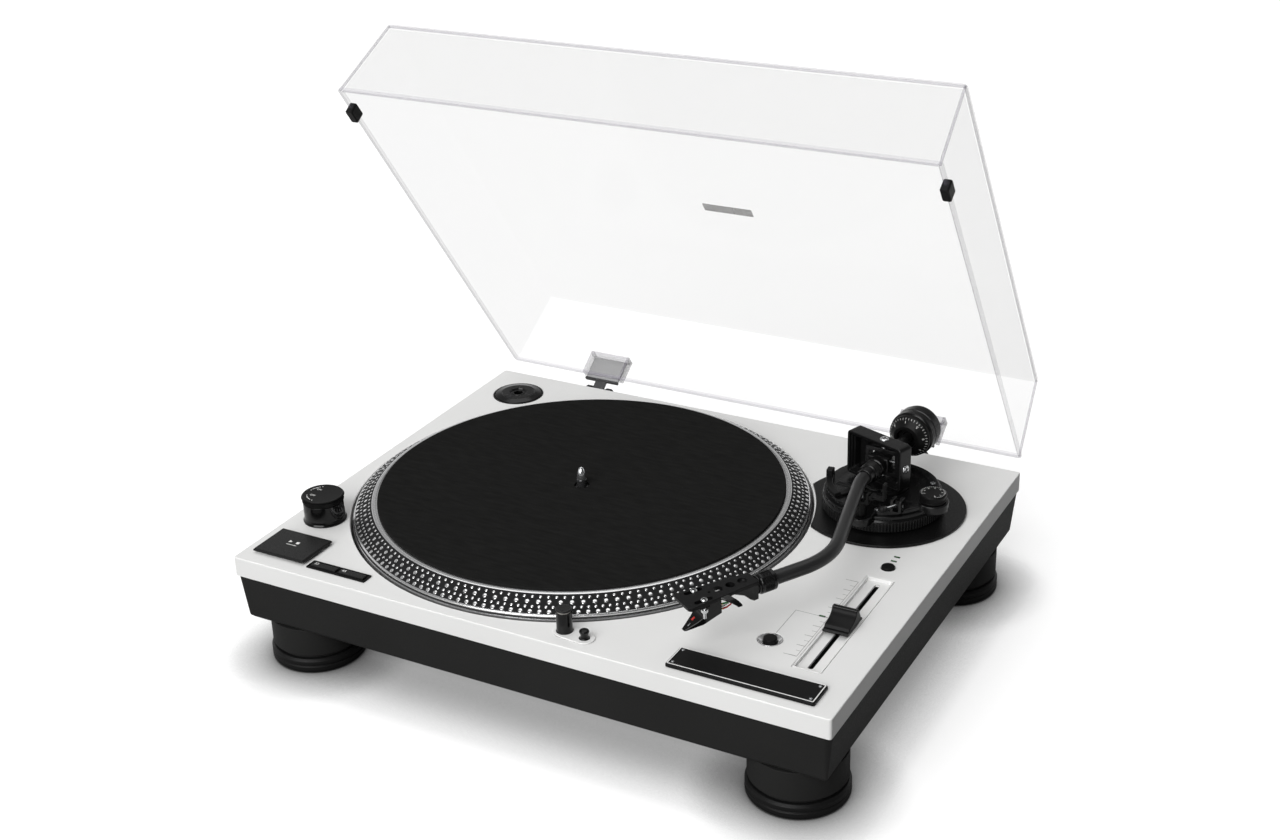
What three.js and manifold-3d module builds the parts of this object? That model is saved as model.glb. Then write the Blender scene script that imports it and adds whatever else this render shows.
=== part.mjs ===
// A direct drive turntable for playing records by hand, on four screw feet, its clear cover open.
// Lengths are millimetres. +X is the right-hand side, +Y the back and +Z up. Heights of what
// stands on the top plate are measured from the plate's face, deck level zero.

import * as THREE from 'three';
import { mergeVertices } from 'three/addons/utils/BufferGeometryUtils.js';
import Module from 'manifold-3d';

const wasm = await Module();
wasm.setup();

// Clearances and facets
const SEAT_GAP = 0.3;        // between two pieces that rest on each other
const RUNNING_GAP = 0.4;     // round a piece that turns or slides in another
const OVERRUN = 4;           // how far a cut runs past the face that it goes through
const JOIN = 0.4;            // how far two shapes run into each other before they are joined
const WELD = 0.0001;         // corners nearer than this are one corner
const FACETS_LARGE = 60;     // round a platter
const FACETS = 24;           // round a dial or a foot
const FACETS_SMALL = 12;     // round a button or a shaft
const CORNER_FACETS = 2;     // round one corner of a casing

// Plinth
const END_MARGIN = 9;        // between the platter's well and the front or back edge
const LEFT_MARGIN = 10.5;    // between the well and the left edge
const ARM_MARGIN = 11.7;     // between the arm's disc and the right edge
const PLATE_EDGE = 14.5;     // height of the silver edge
const PLATE_WALL = 3;
const PLATE_CORNER = 2;
const HOUSING_HEIGHT = 35.8;
const HOUSING_INSET = 0.6;   // step between the silver edge and the black housing
const HOUSING_TAPER = 3.4;
const HOUSING_WALL = 4;
const HOUSING_CORNER = 5;
const HOUSING_FOOT_ROUND = 3;
const FLANGE_WIDTH = 12;     // the ledge inside the housing that carries the bottom cover
const FLANGE_THICKNESS = 3;
const COVER_THICKNESS = 3;
const FOOT_HEIGHT = 34.7;    // from the standing surface to the housing
const DECK = FOOT_HEIGHT + HOUSING_HEIGHT + PLATE_EDGE;

// Screw feet
const FOOT_SIDE_SETBACK = 37.2;          // from the plinth's side edges
const FOOT_END_SETBACK = 36.8;           // from its front and back edges
const FOOT_PAD_RADIUS = 33.8;
const FOOT_PAD_HEIGHT = 11;
const FOOT_LIP = 1.6;
const FOOT_GROOVE_RADIUS = 29.8;
const FOOT_GROOVE = 2.6;
const FOOT_CUP_RADIUS = 32.4;
const FOOT_STUD_RADIUS = 5;
const FOOT_STUD_LENGTH = 15;
const FOOT_BUSH_WALL = 4;
const FOOT_BUSH_HEIGHT = 7;

// Platter and its well
const PLATTER_RADIUS = 166;
const WELL_CLEARANCE = 2;    // round the platter
const WELL_DEPTH = 22;
const WELL_WALL = 2.5;
const PLATTER_LOW = -12;
const PLATTER_STEP = 0.8;
const PLATTER_STEP_TOP = 1.2;
const DOT_RING_INSET = 1.3;
const DOT_RING_LOW = 2.9;
const DOT_BAND = 13.5;       // width of the sloping band, seen from above
const RIM_TOP = 11.6;
const RIM_WIDTH = 2;
const PLATTER_DECK = 11;
const PLATTER_WALL = 4;
const PLATTER_HUB_RADIUS = 22;
const PLATTER_HUB_LOW = -4;
const MAT_CLEARANCE = 1.4;   // inside the platter's rim
const MAT_THICKNESS = 1.7;

// Spindle and motor
const SPINDLE_RADIUS = 3.55;
const SPINDLE_TOP = 27;
const SPINDLE_TIP = 9;
const SPINDLE_COLLAR = 5.2;
const SPINDLE_LOW = -39;
const SLEEVE_WALL = 7;
const SLEEVE_LOW = -42;
const SLEEVE_FLOOR = 2;
const SLEEVE_FLANGE = 6;
const SLEEVE_FLANGE_THICKNESS = 3;
const MAGNET_OUTER = 62;
const MAGNET_WALL = 6;
const MAGNET_HEIGHT = 14;
const STATOR_OUTER = 40;
const STATOR_INNER = 27;
const STATOR_HEIGHT = 10;
const COIL_COUNT = 9;
const COIL_LENGTH = 13;
const COIL_WIDTH = 15;

// Electronics below the plate
const BOARD_WIDTH = 150;
const BOARD_DEPTH = 70;
const BOARD_THICKNESS = 1.6;
const BOARD_SIDE_SETBACK = 115;          // its middle from the right edge
const BOARD_FRONT_SETBACK = 87;
const BOARD_POST = 5;
const BOARD_POST_RADIUS = 3;
const CHIP_SIZE = 18;
const CHIP_HEIGHT = 4;
const CAPACITOR_RADIUS = 8;
const CAPACITOR_HEIGHT = 10.5;
const TRANSFORMER_WIDTH = 56;
const TRANSFORMER_DEPTH = 44;
const TRANSFORMER_HEIGHT = 17;
const TRANSFORMER_CORE = 18;
const TRANSFORMER_CORE_INSET = 4;
const TRANSFORMER_SIDE_SETBACK = 75;
const TRANSFORMER_BACK_SETBACK = 67;

// Rear sockets
const TERMINAL_SETBACK = 40; // its middle from the right edge
const TERMINAL_WIDTH = 52;
const TERMINAL_HEIGHT = 20;
const TERMINAL_THICKNESS = 2.4;
const TERMINAL_RADIUS = 4.2;
const TERMINAL_BORE = 3;
const TERMINAL_LENGTH = 8;
const TERMINAL_SPACING = 16;
const GROUND_RADIUS = 3.2;
const INLET_SETBACK = 47;    // its middle from the left edge
const INLET_WIDTH = 30;
const INLET_HEIGHT = 22;
const INLET_RECESS_WIDTH = 24;
const INLET_RECESS_HEIGHT = 16.4;
const INLET_DEPTH = 16;
const INLET_FLANGE = 2;
const INLET_PIN_WIDTH = 2;
const INLET_PIN_LENGTH = 7;
const INLET_PIN_SPACING = 7;
const REAR_CENTRE_SHARE = 0.5;

// Controls at the front left
const POWER_BEARING_DEG = 213.818;       // round the platter, from its right-hand side
const POWER_WELL_GAP = 2.36;
const POWER_FOOT_RADIUS = 15.6;
const POWER_FOOT_LIP = 1.6;
const POWER_RADIUS = 14.6;
const POWER_BODY_TOP = 15.2;
const POWER_TOP = 20.2;
const POWER_RING_RADIUS = 15;
const POWER_CORE_RADIUS = 9;
const POWER_BEVEL = 0.8;
const WINDOW_WIDTH = 9;
const WINDOW_HEIGHT = 8;
const WINDOW_DEPTH = 3;
const START_SIDE_SETBACK = 30.6;
const START_FRONT_SETBACK = 28;
const START_WIDTH = 44.2;
const START_DEPTH = 34;
const START_HEIGHT = 1.7;
const START_BEVEL = 1.3;
const START_STEM_INSET = 6;
const BUTTON_STEM = 7;       // length of a button's stem below the deck
const SPEED_GAP = 2.8;       // between the start button and the bezel
const SPEED_WELL_GAP = 5.66; // between the bezel's inner corner and the well
const SPEED_WIDTH_SHARE = 0.29167;       // of the well's radius
const SPEED_DEPTH = 9.8;
const SPEED_BEZEL_HEIGHT = 1;
const SPEED_BEZEL_FLOOR = 4;
const SPEED_RIM = 1;
const SPEED_DIVIDER = 1.6;
const SPEED_KEY_HEIGHT = 1.9;

// Target lamp at the front of the platter
const LAMP_BEARING_DEG = -63.506;
const LAMP_WELL_GAP = 3.73;  // between the bezel and the well
const LAMP_RADIUS = 5.4;
const LAMP_HEIGHT = 17.6;
const LAMP_BELOW = 5;
const LAMP_COLLAR = 0.7;
const LAMP_WINDOW = 1.1;
const LAMP_KEY_SIDE = 16;    // the key's place beside the lamp
const LAMP_KEY_FORWARD = 2.5;
const LAMP_KEY_RADIUS = 3.4;
const LAMP_KEY_HEIGHT = 7.5;
const LAMP_BEZEL_RADIUS = 7.6;
const LAMP_BEZEL_HEIGHT = 0.7;
const LAMP_SLEEVE_WALL = 1.2;
const LAMP_SLEEVE_LENGTH = 12;

// Quartz lock and reset buttons
const QUARTZ_SIDE_SETBACK = 69.6;
const QUARTZ_FRONT_SETBACK = 65.1;
const QUARTZ_RADIUS = 4.6;
const QUARTZ_RING_RADIUS = 8;
const QUARTZ_SINK = 1.6;
const RESET_SIDE_SETBACK = 36;
const RESET_TRACK_GAP = 15.25;           // behind the pitch slider
const RESET_RADIUS = 4.6;
const ROUND_KEY_HEIGHT = 1.4;

// Pitch slider
const SLIDER_SIDE_SETBACK = 35;
const TRACK_FRONT_SETBACK = 42.85;
const TRACK_BACK = 11.45;    // its rear end, in front of the platter's middle
const TRACK_WIDTH = 19.4;
const TRACK_DEPTH = 2.4;
const TRACK_FLOOR = 1.6;
const TRACK_WALL = 1.2;
const SLOT_WIDTH = 3.6;
const SLOT_SETBACK = 5.35;   // from each end of the track
const KNOB_WIDTH = 17.5;
const KNOB_FRONT = 17;       // from the middle of its crest
const KNOB_BACK = 7.5;
const KNOB_FOOT = 1.4;
const KNOB_LIP = 2.4;
const KNOB_FACE = 13;        // where the hollow face starts, in front of the crest
const KNOB_HEIGHT = 10.5;
const KNOB_CREST = 2.6;
const KNOB_CURVE_FACETS = 6;
const KNOB_LIFT = 0.5;
const KNOB_STEM_LENGTH = 7;
const KNOB_STEM_WIDTH = 2.6;
const POT_WIDTH = 12;
const POT_HEIGHT = 9;
const POT_WALL = 2;

// Name plate, and the adapter for large-hole records in its dish
const NAME_SIDE_SETBACK = 64.8;
const NAME_FRONT_SETBACK = 19;
const NAME_WIDTH = 100.5;
const NAME_DEPTH = 22;
const NAME_THICKNESS = 2.4;
const NAME_BEVEL = 0.8;
const DISH_BEARING_DEG = 135.507;
const DISH_WELL_GAP = 11.47;
const DISH_RADIUS = 20.3;
const DISH_WALL = 1;
const DISH_DEPTH = 6;
const ADAPTER_RADIUS = 18.9;
const ADAPTER_BORE = 3.75;
const ADAPTER_PROUD = 1.6;
const ADAPTER_STEP = 1;
const ADAPTER_LAND = 13.5;
const ADAPTER_HUB = 7;

// Arm base: pivot place, cover disc, height ring, lock lever and casting
const PIVOT_Y = 81.5;
const ARM_WELL_GAP = 5.031;  // between the height ring and the well
const ARM_DISC_RADIUS = 59.3;
const ARM_DISC_THICKNESS = 1.8;
const ARM_DISC_WELL_GAP = 1.2;
const COLUMN_RADIUS = 19;
const COLUMN_LOW = -18;
const RING_RADIUS = 43.4;
const RING_HEIGHT = 10;
const RING_BEVEL = 1.4;
const CASTING_RADIUS = 40;
const CASTING_STEP_RADIUS = 42;
const CASTING_STEP = 2.4;
const CASTING_HEIGHT = 6;
const WING_RADIUS = 11.2;
const LOBE_RADIUS = 7.5;
const LEVER_OUTER = 40.5;
const LEVER_WIDTH = 5;
const LEVER_THICKNESS = 3;
const LEVER_START_DEG = 186;
const LEVER_END_DEG = 236;
const LEVER_STEPS = 10;
const LEVER_TIP_HEIGHT = 5;
const LEVER_TIP_LENGTH = 6;
const LEVER_HUB_RADIUS = 18;
const LEVER_HUB_WALL = 3.4;
const LEVER_SPOKE_WIDTH = 6;
const LEVER_HUB_THICKNESS = 1.4;
const DIAL_OUTWARD = 40;     // places round the arm's pivot
const DIAL_FORWARD = 7.5;
const DIAL_RADIUS = 9.7;
const DIAL_HEIGHT = 6.6;
const DIAL_BEVEL = 0.8;

// Arm rest, its clip, the cue lever and its lift
const REST_OUTWARD = 3;
const REST_FORWARD = 48.5;
const REST_POST_RADIUS = 3;
const REST_CRADLE_WIDTH = 12;
const REST_CRADLE_LENGTH = 5;
const REST_CRADLE_FLOOR = 2;
const REST_WALL = 2;
const REST_WALL_RISE = 6;
const REST_DROP = 1.6;       // free height between the cradle and the arm tube
const CLIP_THICKNESS = 1.6;
const CLIP_BARREL = 1.9;
const CLIP_CLEARANCE = 0.8;  // over the arm tube when closed
const CLIP_REACH = 12;       // over the arm tube from the hinge
const CUE_OUTWARD = 23;
const CUE_FORWARD = 31.5;
const CUE_BLOCK = 8;
const CUE_BLOCK_HEIGHT = 9;
const CUE_SLOT = 3;
const CUE_ROD_RADIUS = 1.2;
const CUE_ROD_REACH = 24;
const CUE_ROD_RISE = 9;
const CUE_KNOB_RADIUS = 2.4;
const CUE_KNOB_LENGTH = 8;
const CUE_HUB_RADIUS = 3;
const LIFT_DISTANCE = 34;    // from the pivot to the lift bar
const LIFT_BAR_LENGTH = 26;
const LIFT_BAR_WIDTH = 3.4;
const LIFT_BAR_THICKNESS = 2;
const LIFT_STEM_RADIUS = 2;
const LIFT_DROP = 0.9;       // free height between the bar and the arm tube
const LIFT_GUIDE_RADIUS = 4.5;
const LIFT_GUIDE_HEIGHT = 4;

// Gimbal: the fixed square frame, the ring that swings and the block that tips
const ARM_HEIGHT = 38.6;     // of the two bearing axes above the deck
const FRAME_TURN_DEG = -19.5;
const FRAME_WIDTH = 49.5;
const FRAME_RING_ROOM = 2;   // between its right-hand bar and the swinging ring
const FRAME_LOW = 21;
const FRAME_TOP = 54.6;
const FRAME_BAR = 5;
const FRAME_DEPTH = 11.8;
const FRAME_CORNER = 3;
const FRAME_FLANGE_RADIUS = 14;
const FRAME_SHOULDER = 1.6;
const FRAME_SCREW_RADIUS = 3.2;
const FRAME_SCREW_PROUD = 1.1;
const GIMBAL_WIDTH = 26;
const GIMBAL_HALF_HEIGHT = 10;
const GIMBAL_BAR = 3;
const GIMBAL_DEPTH = 7;
const GIMBAL_PIN_RADIUS = 2;
const BLOCK_WIDTH = 15;
const BLOCK_HALF_HEIGHT = 5.6;
const BLOCK_HALF_LENGTH = 9;
const BLOCK_PIN_RADIUS = 1.5;
const BOSS_RADIUS = 6.9;
const BOSS_REACH = 24;
const NECK_RADIUS = 5.9;
const NECK_REACH = 30;
const HUB_RADIUS = 7;
const HUB_REACH = 16;

// Arm: its straight lines meet in two round bends, seen from above
const ARM_TURN_DEG = -5;     // of the parked arm from straight ahead
const ARM_TILT_DEG = 2;      // nose down
const TUBE_RADIUS = 4.75;
const TUBE_FIRST_BEND = [0, 36];         // sideways, and forward of the pivot
const TUBE_SECOND_BEND = [30.8, 133.8];
const TUBE_END = [4.3, 185];
const FIRST_BEND_TANGENT = 9;
const SECOND_BEND_TANGENT = 23;
const TUBE_STEPS = 30;
const COLLAR_LENGTH = 12;
const COLLAR_RADIUS = 7;
const COLLAR_LIP = 0.8;
const HEADSHELL_REACH = 55.3;            // its front edge, ahead of the joint
const HEADSHELL_SETBACK = 2.5;           // its rear edge, ahead of the joint
const HEADSHELL_RISE = 6.4;  // of its top face above the arm's line
const HEADSHELL_FRONT = 21.4;
const HEADSHELL_REAR = 12.8;
const HEADSHELL_THICKNESS = 2.6;
const HEADSHELL_CHAMFER = 2;
const HEADSHELL_NECK = 5.5;
const HEADSHELL_SLOT_WIDTH = 3.4;
const HEADSHELL_SLOT_LENGTH = 13;
const HEADSHELL_SLOT_SPACING = 12.7;
const HEADSHELL_SLOT_SETBACK = 12.4;
const HEADSHELL_HOLE = 3.1;
const HEADSHELL_HOLE_SPACING = 8.8;
const HEADSHELL_HOLE_SETBACK = 26.8;
const TAIL_SIDE = [          // forward of the joint, and above the arm's line
  [2.5, -7], [5.8, -7.3], [8.7, -5.3], [13, -1], [20, 2.2], [25, 4.2],
];
const FINGER_TOP = [         // sideways from the shell's middle, and above the arm's line
  [6, 6.2], [9.5, 6], [12.5, 5], [15, 2.8], [16.6, 0],
];
const FINGER_SOLE = [[15.3, -0.6], [13.7, 1.9], [11.6, 3.5], [9, 4.2], [6, 4.3]];
const FINGER_PLAN = [        // sideways, and forward of the joint
  [6, 32.5], [9, 32.5], [17.5, 23.5], [17.5, 20.5], [9, 25.5], [6, 26.5],
];
const CARTRIDGE_SIDE = [     // forward of the joint, and above the arm's line
  [30, -7.7], [46, -12.7], [53.3, -14.9], [54.8, -14.1], [46.5, -9.2], [43.5, -6.5], [41.5, 3.5],
];
const CARTRIDGE_HALF = 6.2;
const CARTRIDGE_SHOULDER = 43;           // where it starts to narrow, ahead of the joint
const CARTRIDGE_NOSE = 1.6;
const CARTRIDGE_EAR_WIDTH = 18;
const CARTRIDGE_EAR_LENGTH = 8;
const CARTRIDGE_EAR_THICKNESS = 1.6;
const STYLUS_REACH = 52.6;
const STYLUS_LENGTH = 1.6;
const STYLUS_RADIUS = 0.7;

// Counterweight on the rear shaft
const SHAFT_RADIUS = 4.2;
const SHAFT_REACH = 68;
const WEIGHT_SLEEVE_WALL = 2.6;
const WEIGHT_SLEEVE_FRONT = 38;
const WEIGHT_SLEEVE_REACH = 64.5;
const WEIGHT_SLEEVE_LIP = 2;
const WEIGHT_FRONT = 43.4;
const WEIGHT_LENGTH = 18.6;
const WEIGHT_RADIUS = 16.8;
const WEIGHT_BAND = 1;
const WEIGHT_BAND_LENGTH = 5;
const WEIGHT_DIAL_FRONT = 35;
const WEIGHT_DIAL_SMALL = 10;
const WEIGHT_DIAL_LARGE = 15.7;
const WEIGHT_DIAL_BAND = 3;

// Dust cover, seen closed in its own frame whose origin is the hinge axis
const COVER_OPEN_DEG = 54.66;
const HINGE_BEHIND = 5.7;    // the axis, behind the plinth
const HINGE_Z = -8;
const COVER_SIDE_INSET = 3.15;
const COVER_END_INSET = 1.65;
const COVER_HEIGHT = 66.6;
const COVER_LIFT = 4;        // of the closed rim above the deck
const COVER_WALL = 3;
const COVER_SIDE_TAPER = 5.73;
const COVER_FRONT_TAPER = 5.48;
const COVER_BACK_TAPER = 3.16;
const BUMPER_SETBACK = 20;
const BUMPER_LENGTH = 12;
const BUMPER_WALL = 1;
const BUMPER_RISE = 5;

// Cover hinges
const HINGE_SETBACK = 87.2;  // from the plinth's side edges
const HINGE_BASE_WIDTH = 23;
const HINGE_BASE_DROP = 26;
const HINGE_BASE_DEPTH = 12;
const HINGE_EAR = 5;
const HINGE_ROUND = 7.4;
const HINGE_PIN_RADIUS = 1.8;
const HINGE_BARREL_RADIUS = 4.6;
const BLADE_WIDTH = 30;
const BLADE_THICKNESS = 1.8;
const BLADE_NECK_WIDTH = 10;
const BLADE_LOW = 10;        // above the hinge axis, with the cover closed
const BLADE_TOP = 31;
const POCKET_WIDTH = 36;
const POCKET_LOW = 13.5;
const POCKET_TOP = 34;
const POCKET_DEPTH = 7;
const POCKET_WALL = 1.6;

// Layout: the platter sets the size of the plinth, and everything keeps to the platter, to an edge
// or to the arm's pivot.
const radians = THREE.MathUtils.degToRad;
const WELL_RADIUS = PLATTER_RADIUS + WELL_CLEARANCE;
const DOT_RING_RADIUS = PLATTER_RADIUS - DOT_RING_INSET;
const RIM_RADIUS = DOT_RING_RADIUS - DOT_BAND;
const MAT_RADIUS = RIM_RADIUS - RIM_WIDTH - MAT_CLEARANCE;
const pivotReach = WELL_RADIUS + ARM_WELL_GAP + RING_RADIUS;
const pivotSide = Math.sqrt(pivotReach * pivotReach - PIVOT_Y * PIVOT_Y);
const PLINTH_DEPTH = (WELL_RADIUS + END_MARGIN) * 2;
const PLINTH_WIDTH = LEFT_MARGIN + WELL_RADIUS + pivotSide + ARM_DISC_RADIUS + ARM_MARGIN;
const RIGHT_EDGE = PLINTH_WIDTH / 2;
const LEFT_EDGE = -RIGHT_EDGE;
const BACK_EDGE = PLINTH_DEPTH / 2;
const FRONT_EDGE = -BACK_EDGE;
const PLATTER_X = LEFT_EDGE + LEFT_MARGIN + WELL_RADIUS;
const roundPlatter = (degrees, reach) => [
  PLATTER_X + Math.cos(radians(degrees)) * reach, Math.sin(radians(degrees)) * reach,
];
const FOOT_X = RIGHT_EDGE - FOOT_SIDE_SETBACK;
const FOOT_Y = BACK_EDGE - FOOT_END_SETBACK;
const PIVOT_X = PLATTER_X + pivotSide;
const DIAL_X = PIVOT_X + DIAL_OUTWARD;
const DIAL_Y = PIVOT_Y - DIAL_FORWARD;
const REST_X = PIVOT_X + REST_OUTWARD;
const REST_Y = PIVOT_Y - REST_FORWARD;
const CUE_X = PIVOT_X + CUE_OUTWARD;
const CUE_Y = PIVOT_Y - CUE_FORWARD;
const [POWER_X, POWER_Y] = roundPlatter(POWER_BEARING_DEG, WELL_RADIUS + POWER_WELL_GAP + POWER_FOOT_RADIUS);
const [LAMP_X, LAMP_Y] = roundPlatter(LAMP_BEARING_DEG, WELL_RADIUS + LAMP_WELL_GAP + LAMP_BEZEL_RADIUS);
const [DISH_X, DISH_Y] = roundPlatter(DISH_BEARING_DEG, WELL_RADIUS + DISH_WELL_GAP + DISH_RADIUS);
const LAMP_KEY_X = LAMP_X + LAMP_KEY_SIDE;
const LAMP_KEY_Y = LAMP_Y - LAMP_KEY_FORWARD;
const START_X = LEFT_EDGE + START_SIDE_SETBACK;
const START_Y = FRONT_EDGE + START_FRONT_SETBACK;
const SPEED_WIDTH = WELL_RADIUS * SPEED_WIDTH_SHARE;
const SPEED_X = START_X + START_WIDTH / 2 + SPEED_GAP + SPEED_WIDTH / 2;
const speedReach = WELL_RADIUS + SPEED_WELL_GAP;
const speedSide = PLATTER_X - SPEED_X - SPEED_WIDTH / 2;
const SPEED_Y = -Math.sqrt(speedReach * speedReach - speedSide * speedSide) - SPEED_DEPTH / 2;
const QUARTZ_X = RIGHT_EDGE - QUARTZ_SIDE_SETBACK;
const QUARTZ_Y = FRONT_EDGE + QUARTZ_FRONT_SETBACK;
const SLIDER_X = RIGHT_EDGE - SLIDER_SIDE_SETBACK;
const trackFront = FRONT_EDGE + TRACK_FRONT_SETBACK;
const TRACK_LENGTH = -TRACK_BACK - trackFront;
const SLIDER_Y = (trackFront - TRACK_BACK) / 2;
const SLOT_LENGTH = TRACK_LENGTH - SLOT_SETBACK * 2;
const RESET_X = RIGHT_EDGE - RESET_SIDE_SETBACK;
const RESET_Y = RESET_TRACK_GAP - TRACK_BACK;
const NAME_X = RIGHT_EDGE - NAME_SIDE_SETBACK;
const NAME_Y = FRONT_EDGE + NAME_FRONT_SETBACK;
const BOARD_X = RIGHT_EDGE - BOARD_SIDE_SETBACK;
const BOARD_Y = FRONT_EDGE + BOARD_FRONT_SETBACK;
const TRANSFORMER_X = LEFT_EDGE + TRANSFORMER_SIDE_SETBACK;
const TRANSFORMER_Y = BACK_EDGE - TRANSFORMER_BACK_SETBACK;
const TERMINAL_X = RIGHT_EDGE - TERMINAL_SETBACK;
const INLET_X = LEFT_EDGE + INLET_SETBACK;
const HINGE_Y = BACK_EDGE + HINGE_BEHIND;
const COVER_WIDTH = PLINTH_WIDTH - COVER_SIDE_INSET * 2;
const COVER_DEPTH = PLINTH_DEPTH - COVER_END_INSET * 2;
const HINGE_SPACING = PLINTH_WIDTH - HINGE_SETBACK * 2;

// Finishes
const finish = (colour, roughness, metalness, opacity = 1) => new THREE.MeshStandardMaterial({
  color: colour, roughness, metalness, opacity, transparent: opacity < 1,
});
const SILVER = finish(0xdcdcdb, 0.42, 0.6);
const BLACK_PLASTIC = finish(0x242424, 0.5, 0);
const BLACK_GLOSS = finish(0x101010, 0.15, 0);
const BLACK_METAL = finish(0x1c1c1d, 0.38, 0.4);
const FELT = finish(0x222222, 0.95, 0);
const RUBBER = finish(0x181818, 0.85, 0);
const ALLOY = finish(0xc6c7c8, 0.28, 0.9);
const STEEL = finish(0x8d8f92, 0.35, 0.9);
const COPPER = finish(0xb07040, 0.4, 0.8);
const BOARD_GREEN = finish(0x1f5a38, 0.6, 0);
const CLEAR = finish(0xf0f0ee, 0.05, 0, 0.25);

// A mesh of named corners becomes a solid: corners are welded, empty faces are dropped, and faces
// that point inwards are turned round.
function solid(geometry) {
  const bare = new THREE.BufferGeometry();
  bare.setAttribute('position', geometry.getAttribute('position'));
  if (geometry.index) bare.setIndex(geometry.index);
  const welded = mergeVertices(bare, WELD);
  const corners = welded.getAttribute('position').array;
  const order = [];
  let volume = 0;
  const [a, b, c] = [new THREE.Vector3(), new THREE.Vector3(), new THREE.Vector3()];
  for (let i = 0; i < welded.index.count; i += 3) {
    const face = [welded.index.getX(i), welded.index.getX(i + 1), welded.index.getX(i + 2)];
    if (new Set(face).size < face.length) continue;
    order.push(...face);
    a.fromArray(corners, face[0] * 3);
    b.fromArray(corners, face[1] * 3);
    c.fromArray(corners, face[2] * 3);
    volume += a.dot(b.cross(c));
  }
  if (volume < 0) order.reverse();
  return new wasm.Manifold(new wasm.Mesh({
    numProp: 3, vertProperties: new Float32Array(corners), triVerts: new Uint32Array(order),
  }));
}

const joined = (first, ...others) => others.reduce((whole, piece) => whole.add(piece), first);
const cut = (first, ...others) => others.reduce((whole, piece) => whole.subtract(piece), first);

function piece(name, material, body) {
  const { numProp, vertProperties, triVerts } = body.getMesh();
  const geometry = new THREE.BufferGeometry();
  geometry.setAttribute('position', new THREE.BufferAttribute(vertProperties, numProp));
  geometry.setIndex(new THREE.BufferAttribute(triVerts, 1));
  geometry.computeVertexNormals();
  const mesh = new THREE.Mesh(geometry, material);
  mesh.name = name;
  return mesh;
}

// Shapes of revolution: a profile is a list of [radius, height], and ends on the axis or closes.
function turned(profile, facets = FACETS) {
  const points = profile.map(([radius, height]) => new THREE.Vector2(radius, height));
  return new THREE.LatheGeometry(points, facets).rotateX(Math.PI / 2);
}

function ringProfile(inner, outer, low, high) {
  return [[inner, low], [outer, low], [outer, high], [inner, high], [inner, low]];
}

const plug = (radius, low, high, facets = FACETS) => (
  turned([[0, low], [radius, low], [radius, high], [0, high]], facets)
);

// Flat outlines, drawn from above and raised from one height to another.
function roundedOutline(width, depth, radius) {
  const [x, y] = [width / 2 - radius, depth / 2 - radius];
  const outline = new THREE.Shape();
  outline.absarc(x, y, radius, 0, Math.PI / 2);
  outline.absarc(-x, y, radius, Math.PI / 2, Math.PI);
  outline.absarc(-x, -y, radius, Math.PI, Math.PI * 3 / 2);
  outline.absarc(x, -y, radius, Math.PI * 3 / 2, Math.PI * 2);
  outline.closePath();
  return outline;
}

function polygon(points) {
  return new THREE.Shape(points.map(([x, y]) => new THREE.Vector2(x, y)));
}

function raised(outline, low, high, curveSegments = CORNER_FACETS) {
  const options = { depth: high - low, bevelEnabled: false, curveSegments };
  return new THREE.ExtrudeGeometry(outline, options).translate(0, 0, low);
}

const box = (width, depth, low, high) => (
  new THREE.BoxGeometry(width, depth, high - low).translate(0, 0, (low + high) / 2)
);

const slab = (width, depth, radius, low, high) => raised(roundedOutline(width, depth, radius), low, high);

// A closed skin over loops of equally many corners, with a flat cap at each end.
function loft(loops) {
  const corners = loops.flat(2);
  const count = loops[0].length;
  const faces = [];
  for (let loop = 0; loop + 1 < loops.length; loop += 1) {
    for (let i = 0; i < count; i += 1) {
      const [low, high] = [loop * count, (loop + 1) * count];
      const next = (i + 1) % count;
      faces.push(low + i, low + next, high + next, low + i, high + next, high + i);
    }
  }
  const cap = (loop, first, flip) => {
    const flat = loop.map(([x, y]) => new THREE.Vector2(x, y));
    for (const face of THREE.ShapeUtils.triangulateShape(flat, [])) {
      faces.push(...(flip ? face.slice().reverse() : face).map((corner) => first + corner));
    }
  };
  cap(loops[0], 0, true);
  cap(loops.at(-1), (loops.length - 1) * count, false);
  const geometry = new THREE.BufferGeometry();
  geometry.setAttribute('position', new THREE.Float32BufferAttribute(corners, 3));
  geometry.setIndex(faces);
  return geometry;
}

// One loop of a casing: a rectangle with round corners at a height.
function casingLoop(width, depth, radius, height, shift = 0) {
  return roundedOutline(width, depth, radius).getPoints(CORNER_FACETS)
    .filter((point, i, all) => i === 0 || point.distanceTo(all[0]) > WELD)
    .filter((point, i, all) => i === 0 || point.distanceTo(all[i - 1]) > WELD)
    .map((point) => [point.x, point.y + shift, height]);
}

// A slab whose top edge is bevelled all round.
function bevelledSlab(width, depth, radius, low, high, bevel) {
  return loft([
    casingLoop(width, depth, radius, low),
    casingLoop(width, depth, radius, high - bevel),
    casingLoop(width - bevel * 2, depth - bevel * 2, radius, high),
  ]);
}

// Top plate: a silver casting with a turned-down edge and the well for the platter
const wellFloor = -WELL_DEPTH;
const keyholeWidth = START_WIDTH - START_STEM_INSET * 2;
const keyholeDepth = START_DEPTH - START_STEM_INSET * 2;
const speedHoleWidth = SPEED_WIDTH - SPEED_RIM * 2;
const speedHoleDepth = SPEED_DEPTH - SPEED_RIM * 2;
const lampSleeveRadius = LAMP_RADIUS + RUNNING_GAP + LAMP_SLEEVE_WALL;
const sleeveRadius = SPINDLE_RADIUS + RUNNING_GAP / 2 + SLEEVE_WALL;

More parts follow.
